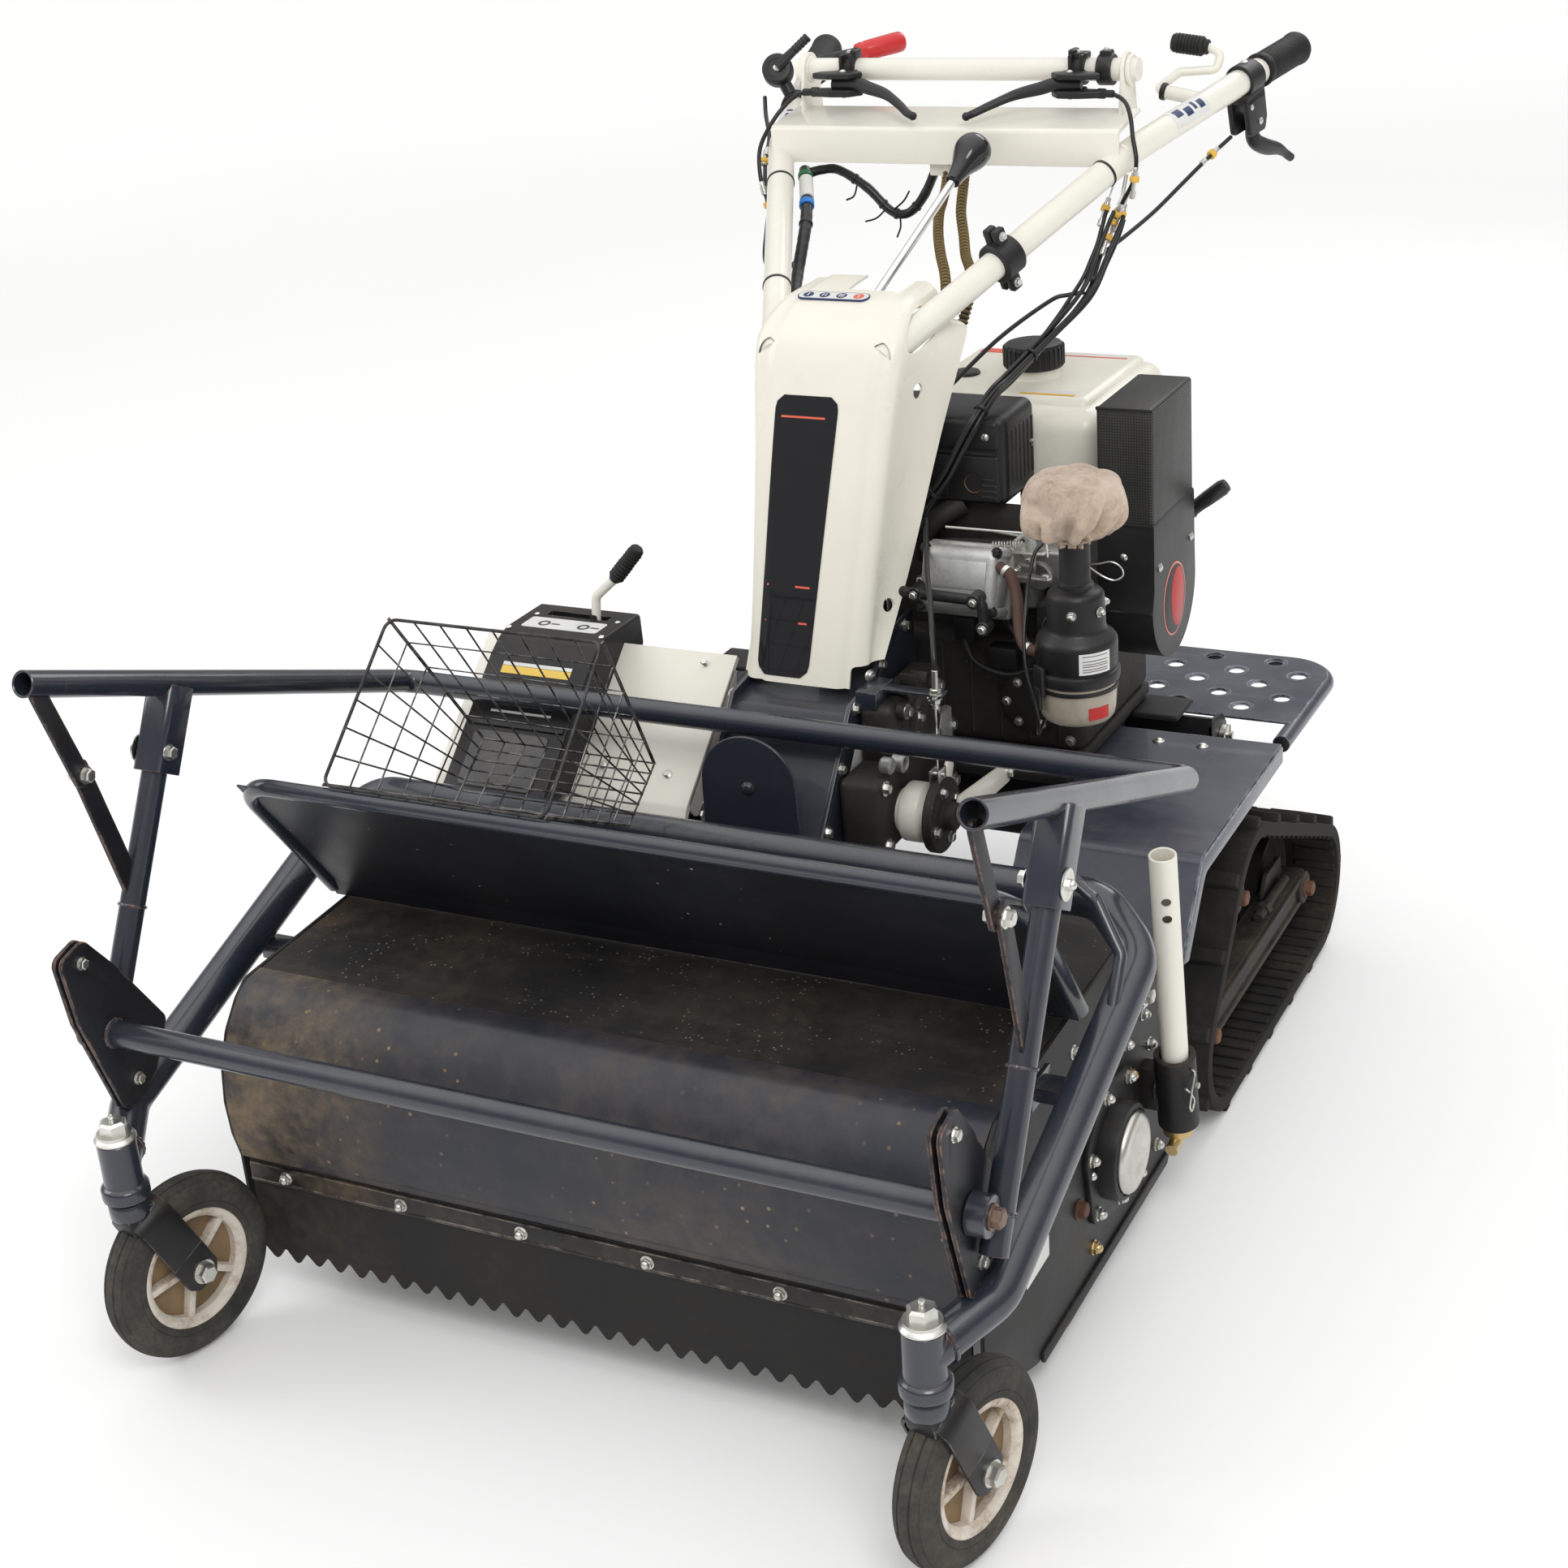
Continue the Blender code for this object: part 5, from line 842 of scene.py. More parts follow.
def bentSheet(line, low, high, thickness, columns=48, wave=0.0, seed=0.0):
    # a bent sheet between two x places, dented a little
    outline = sheetEdge(line, thickness)
    half = len(outline) // 2
    count = len(outline)
    points, faces = [], []
    for i in range(columns + 1):
        x = low + (high - low) * i / columns
        for k, (y, z) in enumerate(outline):
            j = min(k, count - 1 - k)
            across = Vector(outline[j]) - Vector(outline[count - 1 - j])
            lift = wave * noise.noise(Vector((x * 4 + seed, y * 9, z * 9))) * across.normalized()
            points.append((x, y + lift.x, z + lift.y))
    for i in range(columns):
        for k in range(count):
            a, b = i * count + k, i * count + (k + 1) % count
            faces.append((a, b, b + count, a + count))
    for end in (0, columns * count):
        for k in range(half - 1):
            faces.append((end + k, end + k + 1, end + count - 2 - k, end + count - 1 - k))
    return cleaned(meshFrom(points, faces))


def weld(centre, axis, radius, thick=0.0028, seed=0.0):
    # an uneven bead around a joint
    place, _ = frameAlong(centre, Vector(centre) + Vector(axis))
    points, faces = [], []
    turns, sides = 44, 8
    for i in range(turns):
        angle = 2 * math.pi * i / turns
        bead = thick * (0.85 + 0.3 * abs(math.sin(11 * angle)) + 0.25 * noise.noise(Vector((i * 0.7 + seed, 0, 0))))
        for k in range(sides):
            turn = 2 * math.pi * k / sides
            reach = radius + bead * math.cos(turn)
            points.append(place @ Vector((reach * math.cos(angle), reach * math.sin(angle), bead * math.sin(turn))))
    for i in range(turns):
        for k in range(sides):
            a, b = i * sides + k, i * sides + (k + 1) % sides
            c, d = ((i + 1) % turns) * sides + k, ((i + 1) % turns) * sides + (k + 1) % sides
            faces.append((a, b, d, c))
    return cleaned(meshFrom(points, faces))


def wrapPatch(start, end, radius, facing, halfAngle, thick=0.0004, steps=14):
    # a thin label lying on a round bar, turned to face a direction
    start, end, facing = Vector(start), Vector(end), Vector(facing)
    line = (end - start).normalized()
    out = (facing - line * facing.dot(line)).normalized()
    side = line.cross(out)
    points, faces = [], []
    for k in range(steps + 1):
        turn = math.radians(halfAngle) * (2 * k / steps - 1)
        arm = out * math.cos(turn) + side * math.sin(turn)
        points += [start + arm * radius, end + arm * radius, start + arm * (radius + thick),
                   end + arm * (radius + thick)]
    for k in range(steps):
        n = 4 * k
        faces += [(n + 2, n + 3, n + 7, n + 6), (n, n + 4, n + 5, n + 1), (n, n + 2, n + 6, n + 4),
                  (n + 1, n + 5, n + 7, n + 3)]
    last = 4 * steps
    faces += [(0, 1, 3, 2), (last, last + 2, last + 3, last + 1)]
    return cleaned(meshFrom(points, faces))


def turnAbout(point, axis, degrees):
    centre = Matrix.Translation(Vector(point))
    return centre @ turned(degrees, axis) @ centre.inverted()


# Deck: front cover, top plate, flap and its clamp strip

deck = {"half": 0.4277, "sheet": 0.0025,
        "front": [(0.158, 0.1735), (0.15, 0.205), (0.147, 0.245), (0.152, 0.285), (0.168, 0.322), (0.192, 0.35),
                  (0.213, 0.363)],
        "lip": [(0.213, 0.363), (0.236, 0.3648)],
        "top": [(0.2353, 0.3645), (0.415, 0.371), (0.605, 0.3765), (0.652, 0.33), (0.662, 0.25), (0.663, 0.11)],
        "bolts": (-0.37, -0.222, -0.074, 0.074, 0.222, 0.37), "teeth": 30, "tip": 0.047, "tooth": 0.014,
        "flapHalf": 0.42, "flapTop": 0.173, "clampHalf": 0.418}


def makeDeck(d):
    face = flowing(d["front"], 0.006)
    crease = [(0.1575, 0.1745), (0.156, 0.179), (0.1566, 0.1822), (0.154, 0.1865)]
    line = crease + [p for p in face if p[1] > 0.188] + d["lip"][1:]
    piece("deckFront", bentSheet(line, -d["half"], d["half"], d["sheet"], 64, 0.0007), deckPaint,
          replaces=("front_cover",))
    top = [(0.236, 0.3636), (0.29, 0.3665), (0.35, 0.3685), (0.415, 0.371), (0.52, 0.374)]
    top = top + rounded([(0.52, 0.374), (0.605, 0.3765), (0.652, 0.33), (0.662, 0.25), (0.663, 0.11)], 0.02, 5,
                        False)[1:]
    piece("deckTop", bentSheet(top, -d["half"], d["half"], d["sheet"], 64, 0.0011, 4.0), dustyTop,
          replaces=("top_plate",))
    half = d["flapHalf"]
    pitch = 2 * half / d["teeth"]
    line = [(-half, d["flapTop"]), (-half, d["tip"] + d["tooth"])]
    for tooth in range(d["teeth"]):
        left = -half + tooth * pitch
        tipZ = d["tip"] + 0.0022 * noise.noise(Vector((tooth * 1.7, 0, 0)))
        line += [(left + 0.38 * pitch, tipZ + 0.0016), (left + 0.5 * pitch, tipZ), (left + 0.62 * pitch, tipZ + 0.0016)]
        top = tipZ + d["tooth"] + 0.0014 * noise.noise(Vector((tooth * 0.9, 3, 0)))
        if tooth < d["teeth"] - 1:
            line += [(left + 0.93 * pitch, top - 0.001), (left + pitch, top), (left + 1.07 * pitch, top - 0.001)]
        else:
            line += [(left + pitch, top)]
    line += [(half, d["flapTop"])]
    flap = frontPlate(line, 0.1582, 0.1628, edge=0.0005, segments=1)
    piece("deckFlap", flap, flapRubber, replaces=("rubber_flap",))
    half = d["clampHalf"]
    clamp = block((-half, 0.1546, 0.15), (half, 0.1582, 0.1705), 0.001)
    lower = block((-half, 0.154, 0.148), (half, 0.1562, 0.151), 0.0009)
    piece("flapClamp", gathered(clamp, lower), stripPaint)
    piece("flapBolts", heads([((x, 0.1546, 0.16), (0, -1, 0), 0.0064) for x in d["bolts"]], "acorn"), zinc)


makeDeck(deck)
print("deck made")


# Caster frame

casterFrame = {"x": 0.487, "casterX": 0.446, "y": -0.002, "tube": 0.0205, "bossLow": 0.217, "bossHigh": 0.285}


def makeCasterFrame(c):
    x, cx = c["x"], c["casterX"]
    half = [(cx, c["y"], 0.256), (x, 0.07, 0.281), (x, 0.462, 0.42), (x - 0.052, 0.5, 0.456)]
    route = half + [(-a, b, e) for a, b, e in reversed(half)]
    line = rounded(route, [0.03, 0.05, 0.055, 0.05, 0.05, 0.055, 0.05, 0.03], 12, False)
    tubes = sweep(line, c["tube"], 36)
    high = c["bossHigh"] - c["bossLow"]
    profile = [(0.0105, 0.0), (0.0225, 0.0), (0.0243, 0.0012), (0.0248, 0.004), (0.0248, 0.0135), (0.0235, 0.0155),
               (0.0204, 0.0172), (0.0202, 0.03), (0.0202, high - 0.0015), (0.019, high), (0.0105, high)]
    boss = lathe(profile, (cx, c["y"], c["bossLow"]), (cx, c["y"], 1), 48)
    bead = weld((cx + 0.0105, c["y"] + 0.018, 0.2615), (0.5, 0.85, 0.17), 0.0206, 0.0024)
    hook = sweep(rounded([(0.4, 0.492, 0.471), (0.402, 0.47, 0.5), (0.452, 0.432, 0.492), (0.486, 0.408, 0.448),
                          (0.487, 0.376, 0.402)], 0.014, 8, False), 0.0065, 20)
    lug = block((0.4335, 0.3, 0.335), (0.478, 0.33, 0.352), 0.002)
    lugPad = block((0.4333, 0.29, 0.329), (0.4365, 0.34, 0.357), 0.001)
    mesh = gathered(tubes, bothSides(gathered(boss, bead, lug, lugPad)), hook)
    piece("casterTubes", mesh, navyTube, replaces=("caster_frame",))


makeCasterFrame(casterFrame)


# Casters

caster = {"x": 0.446, "y": -0.002, "trail": 0.055, "turn": 12.0, "radius": 0.102, "half": 0.019, "bottom": 0.217,
          "top": 0.285, "spokes": 5}


def forkPieces(c):
    hubY, hubZ = c["y"] + c["trail"], c["radius"]
    lean = math.degrees(math.atan2(c["trail"], c["bottom"] - hubZ))
    inner, outer = c["half"] + 0.0035, c["half"] + 0.0075
    low, high = c["radius"] + 0.0025, c["radius"] + 0.0065
    arch = rounded([(-inner, 0.03), (-inner, low), (inner, low), (inner, 0.03)], 0.016, 10, False)
    hoop = rounded([(-outer, 0.03), (-outer, high), (outer, high), (outer, 0.03)], 0.02, 10, False)
    strip = frontPlate(hoop + list(reversed(arch)), -0.024, 0.02, edge=0.0007)
    cheek = rounded([(-0.024, 0.0305), (-0.024, -0.004), (-0.015, -0.016), (0.011, -0.016), (0.02, -0.004),
                     (0.02, 0.0305)], [0.0004, 0.006, 0.006, 0.006, 0.006, 0.0004], 6)
    cheeks = bothSides(sidePlate(cheek, inner, outer, edge=0.0007))
    strip = placed(gathered(strip, cheeks), Matrix.Translation((0, hubY, hubZ)) @ turned(lean, "X"))
    collar = lathe([(0, 0.0), (0.0195, 0.0), (0.0208, 0.002), (0.0208, 0.0165), (0.0195, 0.0185), (0.012, 0.019),
                    (0.012, 0.0215), (0, 0.0215)], (0, c["y"], 0.195), (0, c["y"], 1), 40)
    gusset = placed(block((-0.0165, -0.02, 0.0), (0.0165, 0.018, 0.022), 0.004),
                    Matrix.Translation((0, c["y"] + 0.008, 0.18)) @ turned(lean * 0.5, "X"))
    washer = lathe([(0.004, 0.0), (0.0205, 0.0), (0.0216, 0.001), (0.0216, 0.0026), (0.0195, 0.0048), (0.0155, 0.0072),
                    (0.012, 0.0078), (0.004, 0.0078)], (0, c["y"], c["top"] + 0.0003), (0, c["y"], 1), 44)
    nut = heads([((0, c["y"], c["top"] + 0.0062), (0, 0, 1), 0.0146)], "hex")
    stem = rod((0, c["y"], 0.296), (0, c["y"], 0.3035), 0.0085, 28, 0.001)
    nipple = lathe([(0, 0), (0.0042, 0), (0.0042, 0.003), (0.0028, 0.0042), (0.0026, 0.0066), (0.0034, 0.008),
                    (0.0034, 0.0104), (0.002, 0.0125), (0, 0.0128)], (0, c["y"], 0.303), (0, c["y"], 1), 20)
    axle = rod((-outer - 0.008, hubY, hubZ), (outer + 0.008, hubY, hubZ), 0.0062, 24, 0.0012)
    nuts = bothSides(heads([((outer - 0.0002, hubY, hubZ), (1, 0, 0), 0.0108)], "hex"))
    return gathered(strip, gusset), collar, gathered(washer, nut, stem, nipple, axle, nuts)


def wheelPieces(c):
    half = [(0.0638, 0.0135), (0.0668, 0.0172), (0.0705, 0.0186), (0.0735, 0.0188), (0.0743, 0.018), (0.0753, 0.0189),
            (0.083, 0.019), (0.089, 0.0182), (0.094, 0.0162), (0.0955, 0.015), (0.0957, 0.0138), (0.0972, 0.0134),
            (0.1, 0.0098), (0.1008, 0.0072), (0.0996, 0.0066), (0.0996, 0.0056), (0.1014, 0.005), (0.102, 0.002)]
    profile = [(r, -x) for r, x in half] + [(r, x) for r, x in reversed(half)]
    tyre = lathe(profile, (0, 0, 0), (1, 0, 0), 96)
    edge = [(0.056, 0.011), (0.059, 0.0155), (0.0625, 0.0176), (0.0655, 0.0178), (0.0668, 0.0166), (0.0664, 0.014)]
    rimRing = lathe([(r, -x) for r, x in edge] + [(r, x) for r, x in reversed(edge)] + [(0.0562, 0.0)],
                    (0, 0, 0), (1, 0, 0), 72)
    hub = lathe([(0.0088, -0.0195), (0.0155, -0.0195), (0.0168, -0.0185), (0.018, -0.004), (0.018, 0.004),
                 (0.0168, 0.0185), (0.0155, 0.0195), (0.0088, 0.0195)], (0, 0, 0), (1, 0, 0), 36)
    web = lathe([(0.0175, -0.0022), (0.0575, -0.0022), (0.0575, 0.0022), (0.0175, 0.0022)], (0, 0, 0), (1, 0, 0), 60)
    spokes = []
    for i in range(c["spokes"]):
        arm = block((-0.0125, -0.0042, 0.015), (0.0125, 0.0042, 0.058), 0.0025, 2)
        spokes.append(placed(arm, Matrix.Rotation(2 * math.pi * (i + 0.3) / c["spokes"], 4, "X")))
    bush = pipe((-0.0198, 0, 0), (0.0198, 0, 0), 0.0105, 0.0088, 28)
    return tyre, gathered(rimRing, hub, *spokes), web, bush


def makeCasters(c):
    strip, collar, steel = forkPieces(c)
    tyre, rim, web, bush = wheelPieces(c)
    for side, sign in (("left", 1), ("right", -1)):
        place = turnAbout((sign * c["x"], c["y"], 0), "Z", -c["turn"]) @ Matrix.Translation((sign * c["x"], 0, 0))
        hub = place @ Matrix.Translation((0, c["y"] + c["trail"], c["radius"]))
        forkBody, tyreBody = "caster_" + side, "caster_tyre_" + side
        piece("forkStrip" + side.title(), placed(strip, place), blackPaint, forkBody, replaces=("caster_fork_" + side,))
        piece("forkCollar" + side.title(), placed(collar, place), navyTube, forkBody)
        piece("forkFasteners" + side.title(), placed(steel, place), zinc, forkBody)
        piece("tyre" + side.title(), placed(tyre, hub), tyreRubber, tyreBody, replaces=("caster_wheel_" + side,))
        piece("rim" + side.title(), placed(rim, hub), dirtyCream, tyreBody)
        piece("rimWeb" + side.title(), placed(web, hub), rimSoil, tyreBody)
        piece("rimBush" + side.title(), placed(bush, hub), rustyIron, tyreBody)


makeCasters(caster)
print("casters made")


# Bar across the front

bar = {"y": 0.042, "z": 0.382, "tube": 0.014, "plateX": 0.4625, "wall": 0.004, "space": 0.009,
       "outline": [(-0.012, 0.488), (0.025, 0.497), (0.06, 0.452), (0.12, 0.36), (0.092, 0.312), (0.06, 0.29),
                   (0.038, 0.292), (-0.002, 0.413)],
       "bolts": ((0.016, 0.475), (0.062, 0.318))}


def makeBar(b):
    rodMesh = sweep([(-b["plateX"] - 0.001, b["y"], b["z"]), (b["plateX"] + 0.001, b["y"], b["z"])], b["tube"], 36)
    holes = [ring(at, 0.0045, 20) for at in b["bolts"]]
    outline = rounded(b["outline"], 0.011, 7)
    frameRoute = rounded([(0.446, -0.002, 0.256), (0.487, 0.07, 0.281), (0.487, 0.462, 0.42), (0.435, 0.5, 0.456)],
                         [0.03, 0.05, 0.055, 0.05], 12, False)
    room = sweep(frameRoute, 0.0209, 36)
    plates = []
    for k in (0, b["space"]):
        sheet = sidePlate(outline, b["plateX"] + k, b["plateX"] + k + b["wall"], holes, 0.0005)
        plates.append(cutBy(sheet, room.copy()))
    beads = [weld((s * (b["plateX"] - 0.001), b["y"], b["z"]), (1, 0, 0), 0.0142, 0.0022, s * 3.0) for s in (-1, 1)]
    piece("barTube", gathered(rodMesh, *beads), navyTube, replaces=("front_bar",))
    piece("barPlates", bothSides(gathered(*plates)), bracketPaint)
    pin = rod((b["plateX"] + 0.0005, b["y"], b["z"]), (0.504, b["y"], b["z"]), 0.0085, 28, 0.0012)
    fasteners = heads([((b["plateX"] + lift, *at), (way, 0, 0), 0.0058) for at in b["bolts"]
                       for lift, way in ((-0.0002, -1), (0.0132, 1))])
    endNut = heads([((0.4968, b["y"], b["z"]), (1, 0, 0), 0.0098)], "hex")
    spacer = gathered(*[pipe((b["plateX"] + 0.0038, *at), (b["plateX"] + 0.0092, *at), 0.008, 0.004)
                        for at in b["bolts"]])
    piece("barPins", bothSides(gathered(pin, endNut)), wornEdge)
    piece("barBolts", bothSides(gathered(fasteners, spacer)), zinc)


makeBar(bar)


# Guard hoop

guard = {"front": (0.493, 0.044, 0.76), "rear": (0.48, 0.64, 0.535), "tube": 0.0138, "legLow": (0.492, 0.052, 0.335),
         "legHigh": (0.492, 0.245, 0.683), "joint": (0.096, 0.643), "bolt": (0.205, 0.624)}


def makeGuard(g):
    front, rear = Vector(g["front"]), Vector(g["rear"])
    line = (rear - front).normalized()
    start = front + line * 0.045
    route = [start, rear, rear * otherSide, start * otherSide]
    hoop = sweep(rounded(route, 0.019, 10, False), g["tube"], 36)
    openEnd = pipe(front, front + line * 0.048, g["tube"], g["tube"] - 0.0026, 40, 0.0008)
    leg = sweep([Vector(g["legLow"]), Vector(g["legHigh"])], g["tube"] - 0.0004, 32)
    place = Matrix.Translation((0.491, 0.221, 0.64)) @ turned(-29.0, "X")
    section = rounded([(-0.018, 0.0175), (-0.018, -0.0175), (0.018, -0.0175), (0.018, 0.0175), (0.0148, 0.0175),
                       (0.0148, -0.0143), (-0.0148, -0.0143), (-0.0148, 0.0175)],
                      [0.001, 0.007, 0.007, 0.001, 0.001, 0.004, 0.004, 0.001], 5)
    channel = placed(flatPlate(section, -0.044, 0.048, edge=0.0006), place)
    x, (jy, jz) = g["legLow"][0], g["joint"]
    upper = sidePlate(rounded([(0.043, 0.752), (0.066, 0.748), (jy + 0.012, jz - 0.012), (jy - 0.012, jz - 0.01)],
                              0.006, 5), x - 0.006, x - 0.0012)
    lower = sidePlate(rounded([(jy - 0.013, jz + 0.012), (jy + 0.01, jz + 0.014), (0.156, 0.482), (0.132, 0.476)],
                              0.006, 5), x - 0.0008, x + 0.004)
    sleeve = pipe((0.4765, 0.042, 0.382), (0.4965, 0.042, 0.382), 0.0198, 0.0094, 44, 0.001)
    legLine = Vector((0, 0.193, 0.348))
    beads = gathered(weld((0.492, 0.07, 0.368), legLine, 0.0136, 0.0022),
                     weld((0.492, 0.1319, 0.479), legLine, 0.0134, 0.0018, 2.0),
                     weld((0.4905, 0.244, 0.6815), legLine, 0.0136, 0.002, 5.0))
    half = gathered(openEnd, leg, channel, sleeve, beads)
    piece("guardTubes", gathered(hoop, bothSides(half)), navyTube, "guard", replaces=("guard",))
    piece("guardStruts", bothSides(gathered(upper, lower)), bracketPaint, "guard")
    capNut = heads([((x + 0.0178, *g["bolt"]), (1, 0, 0), 0.0058)], "acorn")
    disc = pipe((x + 0.0172, *g["bolt"]), (x + 0.0195, *g["bolt"]), 0.015, 0.004, 40)
    inside = heads([((x - 0.0192, *g["bolt"]), (-1, 0, 0), 0.007)])
    seat = heads([((x + 0.0042, jy, jz), (1, 0, 0), 0.0078), ((x - 0.0062, jy, jz), (-1, 0, 0), 0.0074)], "hex")
    piece("guardBolts", bothSides(gathered(capNut, disc, inside, seat)), zinc, "guard")


makeGuard(guard)
print("guard made")


# Deflector panel

deflector = {"half": 0.444, "tube": 0.0095, "sheet": 0.0022,
             "line": [(0.268, 0.565), (0.3, 0.5219), (0.33, 0.4815), (0.36, 0.4411), (0.384, 0.4088)],
             "foot": [(0.384, 0.4088), (0.392, 0.398), (0.404, 0.3728)],
             "route": [(0.444, 0.402, 0.384), (0.444, 0.268, 0.566)]}


def makeDeflector(d):
    line = d["line"] + rounded(d["foot"], 0.006, 5, False)[1:]
    sheet = bentSheet(line, -d["half"], d["half"], d["sheet"], 56, 0.001, 9.0)
    half = d["route"]
    route = half + [(-x, y, z) for x, y, z in reversed(half)]
    tubes = sweep(rounded(route, 0.045, 12, False), d["tube"], 28)
    piece("deflectorFrame", tubes, navyTube, replaces=("deflector_panel",))
    piece("deflectorSheet", sheet, panelPaint)


makeDeflector(deflector)


# Wire basket

basket = {"rim": [(-0.332, 0.268, 0.5786), (-0.062, 0.268, 0.5786), (-0.062, 0.408, 0.713), (-0.332, 0.418, 0.708)],
          "floor": [(-0.296, 0.446, 0.486), (-0.076, 0.446, 0.488), (-0.076, 0.51, 0.533), (-0.296, 0.514, 0.533)],
          "across": 8, "along": 6, "deep": 5, "wire": 0.00105, "edge": 0.00185}


def basketPoint(b, u, v, w):
    def blend(four):
        four = [Vector(p) for p in four]
        return four[0].lerp(four[1], u).lerp(four[3].lerp(four[2], u), v)
    return blend(b["rim"]).lerp(blend(b["floor"]), w)


def makeBasket(b):
    # wires lie in two layers, one a wire's width below the other
    points, edges, thick, thickEdges = [], [], [], []

    def wire(rows, store, lines):
        first = len(store)
        store.extend(rows)
        lines.extend((first + i, first + i + 1) for i in range(len(rows) - 1))

    for i in range(b["across"] + 1):
        u = i / b["across"]
        sag = 0.0012 * math.sin(3.1 * i)
        rows = [basketPoint(b, u, 0, w) for w in (0, 0.5, 1)] + [basketPoint(b, u, v, 1) for v in (0.5, 1)]
        rows += [basketPoint(b, u, 1, w) for w in (0.5, 0)]
        wire([p + Vector((sag, 0, 0)) for p in rows], points, edges)
    for j in range(b["along"] + 1):
        v = j / b["along"]
        rows = [basketPoint(b, 0, v, w) for w in (0, 0.5, 1)] + [basketPoint(b, u, v, 1) for u in (0.5, 1)]
        rows += [basketPoint(b, 1, v, w) for w in (0.5, 0)]
        wire([p + Vector((0, 0.0021, 0.0008)) for p in rows], points, edges)
    for k in range(1, b["deep"] + 1):
        w = k / b["deep"]
        loop = [basketPoint(b, u, v, w) for u, v in ((0, 0), (1, 0), (1, 1), (0, 1), (0, 0))]
        wire([p + Vector((0, 0, 0.002)) for p in loop], points, edges)
    rimLine = rounded([basketPoint(b, u, v, 0) for u, v in ((0, 0), (1, 0), (1, 1), (0, 1))], 0.012, 6)
    wire(rimLine + rimLine[:1], thick, thickEdges)
    fine = bpy.data.meshes.new("fine")
    fine.from_pydata([tuple(p) for p in points], edges, [])
    rim = bpy.data.meshes.new("rim")
    rim.from_pydata([tuple(p) for p in thick], thickEdges, [])
    wires = gathered(grown(fine, trees["wires"], {"Wire Radius": b["wire"], "Sides": 8}),
                     grown(rim, trees["wires"], {"Wire Radius": b["edge"], "Sides": 12}))
    piece("basketWires", wires, blackPaint, replaces=("wire_basket",))


makeBasket(basket)
print("panel and basket made")


# Switch column, belt cover, centre case

switchBox = {"profile": [(0.565, 0.425), (0.57, 0.44), (0.702, 0.556), (0.722, 0.569), (0.742, 0.576), (0.826, 0.576),
                         (0.828, 0.535), (0.79, 0.515), (0.785, 0.425)], "low": -0.403, "high": -0.264}


def onSlope(low, high, x, along, lift):
    # a place on the slope from low to high, lifted off it
    a, b = Vector((0, *low)), Vector((0, *high))
    line = (b - a).normalized()
    return Vector((x, 0, 0)) + a + line * along + Vector((0, -line.z, line.y)) * lift


def slopeFrame(low, high, x, along, lift=0.0):
    a, b = Vector((0, *low)), Vector((0, *high))
    line = (b - a).normalized()
    normal = Vector((0, -line.z, line.y))
    turn = Matrix((Vector((1, 0, 0)), line, normal)).transposed().to_4x4()
    return Matrix.Translation(onSlope(low, high, x, along, lift)) @ turn


